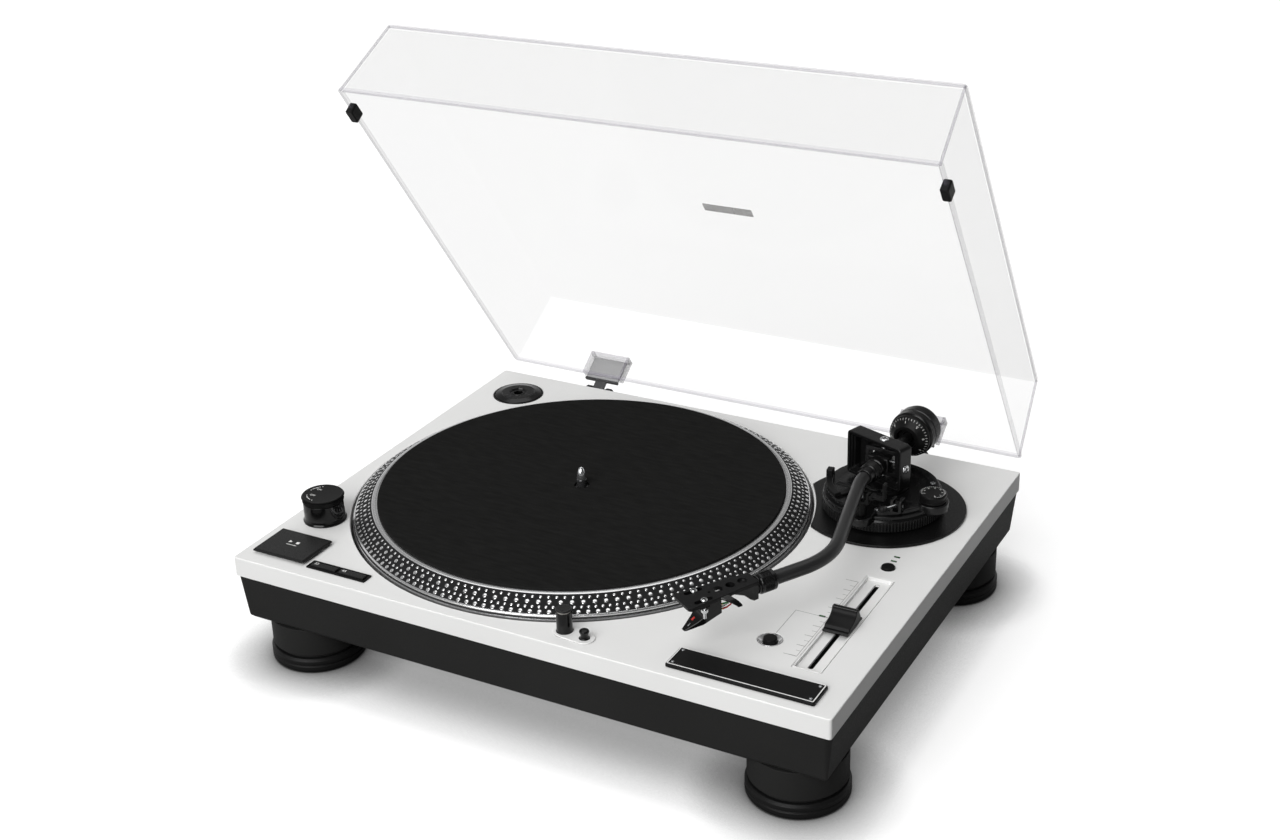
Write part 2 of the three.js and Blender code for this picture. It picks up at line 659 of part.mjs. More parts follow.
function topPlate() {
  const face = solid(slab(PLINTH_WIDTH, PLINTH_DEPTH, PLATE_CORNER, -PLATE_WALL, 0));
  const edge = solid(loft([
    casingLoop(PLINTH_WIDTH - PLATE_WALL * 2, PLINTH_DEPTH - PLATE_WALL * 2, PLATE_CORNER, -PLATE_WALL + JOIN),
    casingLoop(PLINTH_WIDTH - PLATE_WALL * 2, PLINTH_DEPTH - PLATE_WALL * 2, PLATE_CORNER, -PLATE_EDGE),
    casingLoop(PLINTH_WIDTH, PLINTH_DEPTH, PLATE_CORNER, -PLATE_EDGE),
    casingLoop(PLINTH_WIDTH, PLINTH_DEPTH, PLATE_CORNER, -PLATE_WALL + JOIN),
    casingLoop(PLINTH_WIDTH - PLATE_WALL * 2, PLINTH_DEPTH - PLATE_WALL * 2, PLATE_CORNER, -PLATE_WALL + JOIN),
  ].slice(0, 4)));
  const well = solid(turned([
    [sleeveRadius + SEAT_GAP, wellFloor], [WELL_RADIUS, wellFloor], [WELL_RADIUS, 0],
    [WELL_RADIUS + WELL_WALL, 0], [WELL_RADIUS + WELL_WALL, wellFloor - WELL_WALL],
    [sleeveRadius + SEAT_GAP, wellFloor - WELL_WALL], [sleeveRadius + SEAT_GAP, wellFloor],
  ], FACETS_LARGE).translate(PLATTER_X, 0, 0));
  const hole = (x, y, radius, facets = FACETS) => solid(
    plug(radius, -PLATE_WALL - OVERRUN, OVERRUN, facets).translate(x, y, 0),
  );
  const slot = (x, y, width, depth) => solid(
    box(width, depth, -PLATE_WALL - OVERRUN, OVERRUN).translate(x, y, 0),
  );
  const opening = solid(plug(WELL_RADIUS + JOIN, -PLATE_WALL - OVERRUN, OVERRUN, FACETS_LARGE)
    .translate(PLATTER_X, 0, 0));
  const plate = cut(
    joined(face, edge),
    opening,
    hole(DISH_X, DISH_Y, DISH_RADIUS + SEAT_GAP),
    hole(POWER_X, POWER_Y, POWER_CORE_RADIUS + SEAT_GAP),
    slot(START_X, START_Y, keyholeWidth + RUNNING_GAP * 2, keyholeDepth + RUNNING_GAP * 2),
    slot(SPEED_X, SPEED_Y, speedHoleWidth + SEAT_GAP * 2, speedHoleDepth + SEAT_GAP * 2),
    hole(LAMP_X, LAMP_Y, lampSleeveRadius + SEAT_GAP),
    hole(LAMP_KEY_X, LAMP_KEY_Y, LAMP_KEY_RADIUS + RUNNING_GAP, FACETS_SMALL),
    hole(QUARTZ_X, QUARTZ_Y, QUARTZ_RING_RADIUS + SEAT_GAP),
    hole(RESET_X, RESET_Y, RESET_RADIUS + RUNNING_GAP, FACETS_SMALL),
    slot(SLIDER_X, SLIDER_Y, TRACK_WIDTH + SEAT_GAP * 2, TRACK_LENGTH + SEAT_GAP * 2),
    hole(PIVOT_X, PIVOT_Y, COLUMN_RADIUS + RUNNING_GAP),
  );
  return joined(plate, well);
}

// Black lower housing, open above and with a ledge inside for the bottom cover
const housingTop = -PLATE_EDGE - SEAT_GAP;
const housingLow = -PLATE_EDGE - HOUSING_HEIGHT;

function housing() {
  const width = PLINTH_WIDTH - HOUSING_INSET * 2;
  const depth = PLINTH_DEPTH - HOUSING_INSET * 2;
  const loop = (inset, height) => casingLoop(width - inset * 2, depth - inset * 2, HOUSING_CORNER, height);
  const foot = HOUSING_TAPER + HOUSING_FOOT_ROUND;
  const ledge = HOUSING_TAPER + FLANGE_WIDTH;
  const outside = solid(loft([
    loop(foot, housingLow),
    loop(HOUSING_TAPER, housingLow + HOUSING_FOOT_ROUND),
    loop(0, housingTop),
  ]));
  const room = solid(loft([
    loop(HOUSING_TAPER + HOUSING_WALL, housingLow + FLANGE_THICKNESS),
    loop(HOUSING_WALL, housingTop + OVERRUN),
  ]));
  const mouth = solid(loft([loop(ledge, housingLow - OVERRUN), loop(ledge, housingLow + OVERRUN)]));
  const footHoles = footPlaces.map(({ x, y }) => solid(
    plug(footBushRadius + SEAT_GAP, housingLow - OVERRUN, housingLow + OVERRUN, FACETS_SMALL).translate(x, y, 0),
  ));
  const rearHole = (x, wide, high) => solid(
    new THREE.BoxGeometry(wide, HOUSING_WALL * 3 + OVERRUN, high)
      .translate(x, PLINTH_DEPTH / 2 - HOUSING_WALL, rearCentre),
  );
  return cut(
    outside, room, mouth, ...footHoles,
    rearHole(INLET_X, inletBodyWidth + SEAT_GAP * 2, inletBodyHeight + SEAT_GAP * 2),
  );
}

// Feet and the bottom cover that they screw into
const footBushRadius = FOOT_STUD_RADIUS + RUNNING_GAP + FOOT_BUSH_WALL;
const footPlaces = [
  { name: 'foot_front_left', x: -FOOT_X, y: -FOOT_Y },
  { name: 'foot_front_right', x: FOOT_X, y: -FOOT_Y },
  { name: 'foot_rear_left', x: -FOOT_X, y: FOOT_Y },
  { name: 'foot_rear_right', x: FOOT_X, y: FOOT_Y },
];
const floorLow = housingLow + FLANGE_THICKNESS + SEAT_GAP;
const floorTop = floorLow + COVER_THICKNESS;

function bottomCover() {
  const inset = HOUSING_INSET + HOUSING_TAPER + HOUSING_WALL + SEAT_GAP;
  const sheet = solid(slab(
    PLINTH_WIDTH - inset * 2, PLINTH_DEPTH - inset * 2, HOUSING_CORNER, floorLow, floorTop,
  ));
  const bushes = footPlaces.map(({ x, y }) => solid(
    plug(footBushRadius, floorTop - JOIN, floorTop + FOOT_BUSH_HEIGHT, FACETS_SMALL).translate(x, y, 0),
  ));
  const bores = footPlaces.map(({ x, y }) => solid(
    plug(FOOT_STUD_RADIUS + RUNNING_GAP, floorLow - OVERRUN, floorTop + FOOT_BUSH_HEIGHT + OVERRUN)
      .translate(x, y, 0),
  ));
  const posts = [-1, 1].flatMap((side) => [-1, 1].map((end) => solid(
    plug(BOARD_POST_RADIUS, floorTop - JOIN, floorTop + BOARD_POST, FACETS_SMALL).translate(
      BOARD_X + side * (BOARD_WIDTH / 2 - BOARD_POST_RADIUS),
      BOARD_Y + end * (BOARD_DEPTH / 2 - BOARD_POST_RADIUS),
      0,
    ),
  )));
  return cut(joined(sheet, ...bushes, ...posts), ...bores);
}

function foot() {
  const grooveTop = FOOT_PAD_HEIGHT + FOOT_GROOVE;
  const cupTop = FOOT_HEIGHT - SEAT_GAP;
  return solid(turned([
    [0, 0], [FOOT_PAD_RADIUS - FOOT_LIP, 0], [FOOT_PAD_RADIUS, FOOT_LIP],
    [FOOT_PAD_RADIUS, FOOT_PAD_HEIGHT - FOOT_LIP], [FOOT_PAD_RADIUS - FOOT_LIP, FOOT_PAD_HEIGHT],
    [FOOT_GROOVE_RADIUS, FOOT_PAD_HEIGHT], [FOOT_GROOVE_RADIUS, grooveTop], [FOOT_CUP_RADIUS, grooveTop],
    [FOOT_CUP_RADIUS, cupTop], [FOOT_STUD_RADIUS, cupTop],
    [FOOT_STUD_RADIUS, cupTop + FOOT_STUD_LENGTH], [0, cupTop + FOOT_STUD_LENGTH],
  ]));
}

// Platter: a cast dish that carries the strobe dots on its sloping rim
const platterBore = SPINDLE_COLLAR + SEAT_GAP;
const platterUnder = PLATTER_DECK - PLATTER_WALL;

function platter() {
  const rimInner = RIM_RADIUS - RIM_WIDTH;
  const skirt = PLATTER_RADIUS - PLATTER_WALL;
  const dotFoot = DOT_RING_RADIUS + PLATTER_STEP / 2;
  return solid(turned([
    [platterBore, PLATTER_HUB_LOW], [PLATTER_HUB_RADIUS, PLATTER_HUB_LOW],
    [PLATTER_HUB_RADIUS, platterUnder], [rimInner, platterUnder], [skirt, DOT_RING_LOW - PLATTER_WALL],
    [skirt, PLATTER_LOW], [PLATTER_RADIUS, PLATTER_LOW], [PLATTER_RADIUS, PLATTER_STEP_TOP],
    [dotFoot, PLATTER_STEP_TOP], [dotFoot, DOT_RING_LOW - PLATTER_STEP / 2],
    [DOT_RING_RADIUS, DOT_RING_LOW], [RIM_RADIUS, RIM_TOP], [rimInner, RIM_TOP],
    [rimInner, PLATTER_DECK], [platterBore, PLATTER_DECK], [platterBore, PLATTER_HUB_LOW],
  ], FACETS_LARGE));
}

function slipmat() {
  const low = PLATTER_DECK + SEAT_GAP;
  return solid(turned(
    ringProfile(SPINDLE_COLLAR + SEAT_GAP, MAT_RADIUS, low, low + MAT_THICKNESS), FACETS_LARGE,
  ));
}

function spindle() {
  const collarTop = PLATTER_DECK + SEAT_GAP;
  const shoulder = SPINDLE_TOP - SPINDLE_TIP;
  const tipShares = [[0.96, 0.25], [0.8, 0.55], [0.5, 0.85], [0.25, 0.97]];
  return solid(turned([
    [0, SPINDLE_LOW], [SPINDLE_RADIUS, SPINDLE_LOW], [SPINDLE_RADIUS, PLATTER_HUB_LOW],
    [SPINDLE_COLLAR, PLATTER_HUB_LOW], [SPINDLE_COLLAR, collarTop], [SPINDLE_RADIUS, collarTop],
    [SPINDLE_RADIUS, shoulder],
    ...tipShares.map(([across, up]) => [SPINDLE_RADIUS * across, shoulder + SPINDLE_TIP * up]),
    [0, SPINDLE_TOP],
  ], FACETS_SMALL));
}

// Motor: the magnet ring turns with the platter, the coils and the bearing stay in the well
const magnetTop = platterUnder - SEAT_GAP;
const statorLow = wellFloor + SLEEVE_FLANGE_THICKNESS + SEAT_GAP * 2;

const rotorMagnet = () => solid(turned(
  ringProfile(MAGNET_OUTER - MAGNET_WALL, MAGNET_OUTER, magnetTop - MAGNET_HEIGHT, magnetTop),
));

function stator() {
  const high = statorLow + STATOR_HEIGHT;
  const core = solid(turned(ringProfile(STATOR_INNER, STATOR_OUTER, statorLow, high)));
  const coils = Array.from({ length: COIL_COUNT }, (_, i) => solid(
    box(COIL_LENGTH, COIL_WIDTH, statorLow + JOIN, high - JOIN)
      .translate(STATOR_OUTER + COIL_LENGTH / 2 - JOIN, 0, 0)
      .rotateZ(i * Math.PI * 2 / COIL_COUNT),
  ));
  return joined(core, ...coils);
}

function spindleBearing() {
  const bore = SPINDLE_RADIUS + RUNNING_GAP / 2;
  const flangeLow = wellFloor + SEAT_GAP;
  const flangeTop = flangeLow + SLEEVE_FLANGE_THICKNESS;
  const top = PLATTER_HUB_LOW - RUNNING_GAP;
  const floor = SLEEVE_LOW + SLEEVE_FLOOR;
  return solid(turned([
    [0, SLEEVE_LOW], [sleeveRadius, SLEEVE_LOW], [sleeveRadius, flangeLow],
    [STATOR_INNER + SLEEVE_FLANGE, flangeLow], [STATOR_INNER + SLEEVE_FLANGE, flangeTop],
    [sleeveRadius, flangeTop], [sleeveRadius, top], [bore, top], [bore, floor], [0, floor],
  ], FACETS_SMALL));
}

// Electronics
function driveBoard() {
  const low = floorTop + BOARD_POST + SEAT_GAP;
  const top = low + BOARD_THICKNESS;
  const sheet = solid(box(BOARD_WIDTH, BOARD_DEPTH, low, top));
  const chips = [-1, 0, 1].map((place) => solid(
    box(CHIP_SIZE, CHIP_SIZE, top - JOIN, top + CHIP_HEIGHT)
      .translate(place * CHIP_SIZE * 2, -CHIP_SIZE, 0),
  ));
  const cans = [-1, 0, 1].map((place) => solid(
    plug(CAPACITOR_RADIUS, top - JOIN, top + CAPACITOR_HEIGHT, FACETS_SMALL)
      .translate(place * CAPACITOR_RADIUS * 3, CAPACITOR_RADIUS * 2, 0),
  ));
  return joined(sheet, ...chips, ...cans).translate([BOARD_X, BOARD_Y, 0]);
}

function transformer() {
  const low = floorTop + SEAT_GAP;
  const high = low + TRANSFORMER_HEIGHT;
  const core = solid(box(TRANSFORMER_WIDTH, TRANSFORMER_CORE, low, high));
  const winding = solid(box(
    TRANSFORMER_WIDTH - TRANSFORMER_CORE, TRANSFORMER_DEPTH,
    low + TRANSFORMER_CORE_INSET, high - TRANSFORMER_CORE_INSET,
  ));
  return joined(core, winding).translate([TRANSFORMER_X, TRANSFORMER_Y, 0]);
}

// Rear: two phono sockets with a ground screw, and the mains inlet
const rearCentre = housingLow + HOUSING_HEIGHT * REAR_CENTRE_SHARE;

// The housing's back leans in, so a flat plate touches it along its top edge
function rearSeat(height) {
  const wall = housingTop - housingLow - HOUSING_FOOT_ROUND;
  const share = (housingTop - rearCentre - height / 2) / wall;
  return PLINTH_DEPTH / 2 - HOUSING_INSET - HOUSING_TAPER * share + SEAT_GAP;
}
const inletBodyWidth = INLET_RECESS_WIDTH + INLET_FLANGE;
const inletBodyHeight = INLET_RECESS_HEIGHT + INLET_FLANGE;

function audioTerminals() {
  const facingBack = (geometry) => geometry.rotateX(-Math.PI / 2);
  const sheet = solid(facingBack(slab(TERMINAL_WIDTH, TERMINAL_HEIGHT, TERMINAL_THICKNESS, 0, TERMINAL_THICKNESS)));
  const sockets = [-1, 0].map((place) => solid(facingBack(turned([
    [0, TERMINAL_THICKNESS - JOIN], [TERMINAL_RADIUS, TERMINAL_THICKNESS - JOIN],
    [TERMINAL_RADIUS, TERMINAL_LENGTH], [TERMINAL_BORE / 2, TERMINAL_LENGTH],
    [TERMINAL_BORE / 2, TERMINAL_THICKNESS], [0, TERMINAL_THICKNESS],
  ], FACETS_SMALL)).translate(place * TERMINAL_SPACING, 0, 0)));
  const ground = solid(facingBack(plug(
    GROUND_RADIUS, TERMINAL_THICKNESS - JOIN, TERMINAL_LENGTH - GROUND_RADIUS / 2, FACETS_SMALL,
  )).translate(TERMINAL_SPACING, 0, 0));
  return joined(sheet, ...sockets, ground).translate([TERMINAL_X, rearSeat(TERMINAL_HEIGHT), rearCentre]);
}

function powerInlet() {
  const flange = solid(new THREE.BoxGeometry(INLET_WIDTH, INLET_FLANGE, INLET_HEIGHT)
    .translate(0, INLET_FLANGE / 2, 0));
  const body = solid(new THREE.BoxGeometry(inletBodyWidth, INLET_DEPTH + JOIN, inletBodyHeight)
    .translate(0, (JOIN - INLET_DEPTH) / 2, 0));
  const recessDepth = INLET_DEPTH - INLET_FLANGE;
  const recess = solid(new THREE.BoxGeometry(INLET_RECESS_WIDTH, recessDepth + OVERRUN, INLET_RECESS_HEIGHT)
    .translate(0, (OVERRUN - recessDepth) / 2, 0));
  const pins = [-1, 0, 1].map((place) => solid(
    new THREE.BoxGeometry(INLET_PIN_WIDTH, INLET_PIN_LENGTH + JOIN, INLET_PIN_WIDTH * 2)
      .translate(place * INLET_PIN_SPACING, (INLET_PIN_LENGTH - JOIN) / 2 - recessDepth, 0),
  ));
  return joined(cut(joined(flange, body), recess), ...pins).translate([INLET_X, rearSeat(INLET_HEIGHT), rearCentre]);
}

// Power tower: a fixed body with the strobe window, and the switch ring that turns on its top
const toWell = Math.atan2(-POWER_Y, PLATTER_X - POWER_X);

function powerTower() {
  const low = SEAT_GAP;
  const body = solid(turned([
    [0, -PLATE_WALL * 2], [POWER_CORE_RADIUS, -PLATE_WALL * 2], [POWER_CORE_RADIUS, low],
    [POWER_FOOT_RADIUS, low], [POWER_FOOT_RADIUS, low + POWER_FOOT_LIP],
    [POWER_RADIUS, low + POWER_FOOT_LIP * 2], [POWER_RADIUS, POWER_BODY_TOP],
    [POWER_CORE_RADIUS, POWER_BODY_TOP], [POWER_CORE_RADIUS, POWER_TOP - POWER_BEVEL], [0, POWER_TOP - POWER_BEVEL],
  ]));
  const window = solid(
    box(WINDOW_DEPTH * 2, WINDOW_WIDTH, POWER_BODY_TOP - WINDOW_HEIGHT, POWER_BODY_TOP + OVERRUN)
      .translate(POWER_RADIUS, 0, 0).rotateZ(toWell),
  );
  return cut(body, window).translate([POWER_X, POWER_Y, 0]);
}

function powerRing() {
  const low = POWER_BODY_TOP + RUNNING_GAP;
  const inner = POWER_CORE_RADIUS + RUNNING_GAP;
  return solid(turned([
    [inner, low], [POWER_RING_RADIUS, low], [POWER_RING_RADIUS, POWER_TOP - POWER_BEVEL],
    [POWER_RING_RADIUS - POWER_BEVEL, POWER_TOP], [inner, POWER_TOP], [inner, low],
  ])).translate([POWER_X, POWER_Y, 0]);
}

// Push buttons
function startStopButton() {
  const low = RUNNING_GAP + START_BEVEL;
  const cap = solid(bevelledSlab(START_WIDTH, START_DEPTH, START_BEVEL, low, low + START_HEIGHT, START_BEVEL));
  const stem = solid(box(keyholeWidth, keyholeDepth, -BUTTON_STEM, low + JOIN));
  return joined(cap, stem).translate([START_X, START_Y, 0]);
}

const speedKeyWidth = (SPEED_WIDTH - SPEED_RIM * 4 - SPEED_DIVIDER) / 2 - RUNNING_GAP * 2;
const speedKeyDepth = SPEED_DEPTH - SPEED_RIM * 4 - RUNNING_GAP * 2;
const speedKeyShift = (speedKeyWidth + SPEED_DIVIDER) / 2 + RUNNING_GAP;

function speedBezel() {
  const frame = solid(slab(SPEED_WIDTH, SPEED_DEPTH, SPEED_RIM, SEAT_GAP, SPEED_BEZEL_HEIGHT));
  const sleeve = solid(box(speedHoleWidth, speedHoleDepth, -SPEED_BEZEL_FLOOR, SEAT_GAP + JOIN));
  const windows = [-1, 1].map((side) => solid(box(
    speedKeyWidth + RUNNING_GAP * 2, speedKeyDepth + RUNNING_GAP * 2, -SPEED_BEZEL_FLOOR - OVERRUN, OVERRUN,
  ).translate(side * speedKeyShift, 0, 0)));
  return cut(joined(frame, sleeve), ...windows).translate([SPEED_X, SPEED_Y, 0]);
}

const speedButton = (side) => solid(bevelledSlab(
  speedKeyWidth, speedKeyDepth, SPEED_RIM / 2, -BUTTON_STEM, SPEED_KEY_HEIGHT, SPEED_RIM / 2,
)).translate([SPEED_X + side * speedKeyShift, SPEED_Y, 0]);

function roundButton(radius, height, facets = FACETS_SMALL) {
  const bevel = radius / 6;
  return solid(turned([
    [0, -BUTTON_STEM], [radius, -BUTTON_STEM], [radius, height - bevel], [radius - bevel, height], [0, height],
  ], facets));
}

function quartzRing() {
  const inner = QUARTZ_RADIUS + RUNNING_GAP;
  return solid(turned([
    [inner, -PLATE_WALL], [QUARTZ_RING_RADIUS, -PLATE_WALL], [QUARTZ_RING_RADIUS, 0],
    [QUARTZ_RING_RADIUS - QUARTZ_SINK / 2, 0], [inner + QUARTZ_SINK / 2, -QUARTZ_SINK], [inner, -QUARTZ_SINK],
    [inner, -PLATE_WALL],
  ])).translate([QUARTZ_X, QUARTZ_Y, 0]);
}

// Target lamp, its key and the sleeve that guides both
function lampBezel() {
  const bore = LAMP_RADIUS + RUNNING_GAP;
  const end = LAMP_KEY_RADIUS * 2;
  const outline = new THREE.Shape();
  outline.absarc(0, 0, LAMP_BEZEL_RADIUS, Math.PI / 2, Math.PI * 3 / 2);
  outline.absarc(LAMP_KEY_X - LAMP_X, LAMP_KEY_Y - LAMP_Y, end, -Math.PI / 2, Math.PI / 2);
  outline.closePath();
  const sheet = solid(raised(outline, SEAT_GAP, LAMP_BEZEL_HEIGHT + SEAT_GAP, FACETS_SMALL / 2));
  const sleeve = solid(plug(lampSleeveRadius, -LAMP_SLEEVE_LENGTH, SEAT_GAP + JOIN));
  const lampHole = solid(plug(bore, -LAMP_SLEEVE_LENGTH - OVERRUN, OVERRUN));
  const keyHole = solid(plug(LAMP_KEY_RADIUS + RUNNING_GAP, -OVERRUN, OVERRUN, FACETS_SMALL)
    .translate(LAMP_KEY_X - LAMP_X, LAMP_KEY_Y - LAMP_Y, 0));
  return cut(joined(sheet, sleeve), lampHole, keyHole).translate([LAMP_X, LAMP_Y, 0]);
}

function targetLamp() {
  const windowHigh = LAMP_HEIGHT - LAMP_WINDOW;
  return solid(turned([
    [0, -LAMP_BELOW], [LAMP_RADIUS, -LAMP_BELOW], [LAMP_RADIUS, windowHigh - LAMP_WINDOW],
    [LAMP_RADIUS - LAMP_COLLAR, windowHigh - LAMP_WINDOW], [LAMP_RADIUS - LAMP_COLLAR, windowHigh],
    [LAMP_RADIUS, windowHigh], [LAMP_RADIUS, LAMP_HEIGHT - LAMP_COLLAR],
    [LAMP_RADIUS - LAMP_COLLAR, LAMP_HEIGHT], [0, LAMP_HEIGHT],
  ])).translate([LAMP_X, LAMP_Y, 0]);
}

// Pitch slider: a sunk track with a slot, and a knob with a crest and a hollow front face
function sliderTrack() {
  const floor = -TRACK_DEPTH;
  const tray = solid(box(TRACK_WIDTH, TRACK_LENGTH, floor - TRACK_FLOOR, 0));
  const hollow = solid(box(TRACK_WIDTH - TRACK_WALL * 2, TRACK_LENGTH - TRACK_WALL * 2, floor, OVERRUN));
  const slot = solid(slab(SLOT_WIDTH, SLOT_LENGTH, SLOT_WIDTH / 3, floor - TRACK_FLOOR - OVERRUN, 0));
  const potLow = floor - TRACK_FLOOR - POT_HEIGHT;
  const pot = solid(box(POT_WIDTH, SLOT_LENGTH + POT_WALL * 2, potLow, floor - TRACK_FLOOR + JOIN));
  const potRoom = solid(box(SLOT_WIDTH * 2, SLOT_LENGTH, potLow + POT_WALL, floor - TRACK_FLOOR + JOIN));
  return cut(joined(cut(tray, hollow), cut(pot, potRoom)), slot).translate([SLIDER_X, SLIDER_Y, 0]);
}

function sliderKnob() {
  const low = KNOB_LIFT;
  const edge = low + KNOB_FOOT;
  const lip = edge + KNOB_LIP;
  const face = KNOB_FACE - KNOB_CREST / 2;
  const outline = [[-KNOB_FRONT, low], [-KNOB_FRONT, edge], [-KNOB_FACE - KNOB_LIP / 2, edge], [-KNOB_FACE, lip]];
  for (let i = 1; i < KNOB_CURVE_FACETS; i += 1) {
    const angle = i / KNOB_CURVE_FACETS * Math.PI / 2;
    const rise = (low + KNOB_HEIGHT - lip) * (1 - Math.cos(angle));
    outline.push([-KNOB_FACE + face * Math.sin(angle), lip + rise]);
  }
  outline.push(
    [-KNOB_CREST / 2, low + KNOB_HEIGHT], [KNOB_CREST / 2, low + KNOB_HEIGHT],
    [KNOB_BACK - KNOB_LIP / 2, edge], [KNOB_BACK, edge], [KNOB_BACK, low],
  );
  const cap = solid(raised(polygon(outline), -KNOB_WIDTH / 2, KNOB_WIDTH / 2)
    .rotateX(Math.PI / 2).rotateZ(Math.PI / 2));
  const stem = solid(box(
    KNOB_STEM_WIDTH, KNOB_STEM_LENGTH, -TRACK_DEPTH - TRACK_FLOOR - POT_HEIGHT / 2, low + JOIN,
  ));
  return joined(cap, stem).translate([SLIDER_X, SLIDER_Y, 0]);
}

// Name plate, adapter dish and adapter
const namePlate = () => solid(bevelledSlab(
  NAME_WIDTH, NAME_DEPTH, NAME_BEVEL * 2, SEAT_GAP, SEAT_GAP + NAME_THICKNESS, NAME_BEVEL,
)).translate([NAME_X, NAME_Y, 0]);

const dishFloor = -DISH_DEPTH;

const adapterDish = () => solid(turned([
  [0, dishFloor - DISH_WALL], [DISH_RADIUS, dishFloor - DISH_WALL], [DISH_RADIUS, SEAT_GAP],
  [DISH_RADIUS - DISH_WALL, SEAT_GAP], [DISH_RADIUS - DISH_WALL, dishFloor], [0, dishFloor],
])).translate([DISH_X, DISH_Y, 0]);

function adapter() {
  const low = dishFloor + SEAT_GAP;
  return solid(turned([
    [ADAPTER_BORE, low], [ADAPTER_RADIUS, low], [ADAPTER_RADIUS, ADAPTER_PROUD - ADAPTER_STEP],
    [ADAPTER_LAND, ADAPTER_PROUD], [ADAPTER_HUB, ADAPTER_PROUD],
    [ADAPTER_HUB, ADAPTER_PROUD - ADAPTER_STEP], [ADAPTER_BORE, ADAPTER_PROUD - ADAPTER_STEP],
    [ADAPTER_BORE, low],
  ])).translate([DISH_X, DISH_Y, 0]);
}

// Arm base. What turns or rises about the arm's upright axis is drawn round zero and set there.
const discTop = SEAT_GAP + ARM_DISC_THICKNESS;
const ringLow = discTop + SEAT_GAP;
const ringTop = ringLow + RING_HEIGHT;
const castingLow = ringTop + SEAT_GAP;
const castingTop = castingLow + CASTING_HEIGHT;
const leverLow = castingTop + RUNNING_GAP;

function armDisc() {
  const disc = solid(plug(ARM_DISC_RADIUS, SEAT_GAP, discTop, FACETS_LARGE));
  const hole = solid(plug(COLUMN_RADIUS + RUNNING_GAP, -OVERRUN, discTop + OVERRUN));
  const well = solid(plug(WELL_RADIUS + ARM_DISC_WELL_GAP, -OVERRUN, discTop + OVERRUN, FACETS_LARGE)
    .translate(PLATTER_X - PIVOT_X, -PIVOT_Y, 0));
  return cut(disc, hole, well);
}

const heightRing = () => solid(turned([
  [COLUMN_RADIUS + RUNNING_GAP, ringLow], [RING_RADIUS - RING_BEVEL, ringLow],
  [RING_RADIUS, ringLow + RING_BEVEL], [RING_RADIUS, ringTop - RING_BEVEL],
  [RING_RADIUS - RING_BEVEL, ringTop], [COLUMN_RADIUS + RUNNING_GAP, ringTop],
  [COLUMN_RADIUS + RUNNING_GAP, ringLow],
], FACETS_LARGE));

// The web that joins a round lobe to the casting's disc
function lobe(x, y, radius, low, high) {
  const reach = Math.hypot(x, y);
  const web = box(reach, radius * 2, low, high).translate(reach / 2, 0, 0).rotateZ(Math.atan2(y, x));
  return [solid(web), solid(plug(radius, low, high).translate(x, y, 0))];
}

const dialPlace = [DIAL_X - PIVOT_X, DIAL_Y - PIVOT_Y];
const restPlace = [REST_X - PIVOT_X, REST_Y - PIVOT_Y];
const cuePlace = [CUE_X - PIVOT_X, CUE_Y - PIVOT_Y];
const tubeUnder = (distance) => (
  ARM_HEIGHT - TUBE_RADIUS - distance * Math.sin(THREE.MathUtils.degToRad(ARM_TILT_DEG))
);
const armTurn = THREE.MathUtils.degToRad(ARM_TURN_DEG);
const liftPlace = [LIFT_DISTANCE * Math.sin(armTurn), -LIFT_DISTANCE * Math.cos(armTurn)];

function armBase() {
  const disc = solid(turned([
    [0, castingLow], [CASTING_STEP_RADIUS, castingLow], [CASTING_STEP_RADIUS, castingLow + CASTING_STEP],
    [CASTING_RADIUS, castingLow + CASTING_STEP], [CASTING_RADIUS, castingTop], [0, castingTop],
  ], FACETS_LARGE));
  const column = solid(plug(COLUMN_RADIUS, COLUMN_LOW, castingLow + JOIN));
  const guideTop = castingTop + LIFT_GUIDE_HEIGHT;
  const guide = solid(plug(LIFT_GUIDE_RADIUS, castingTop - JOIN, guideTop, FACETS_SMALL).translate(...liftPlace, 0));
  const guideBore = solid(plug(LIFT_STEM_RADIUS + RUNNING_GAP, castingLow - OVERRUN, guideTop + OVERRUN, FACETS_SMALL)
    .translate(...liftPlace, 0));
  const cheekTop = castingTop + CUE_BLOCK_HEIGHT;
  const block = solid(box(CUE_BLOCK, CUE_BLOCK, castingTop - JOIN, cheekTop).translate(...cuePlace, 0));
  const groove = solid(box(CUE_SLOT + RUNNING_GAP * 2, CUE_BLOCK + OVERRUN, castingTop + JOIN, cheekTop + OVERRUN)
    .translate(...cuePlace, 0));
  return cut(
    joined(
      disc, column, guide, block,
      ...lobe(...dialPlace, WING_RADIUS, castingLow, castingTop),
      ...lobe(...restPlace, LOBE_RADIUS, castingLow, castingTop),
    ),
    guideBore, groove,
  );
}

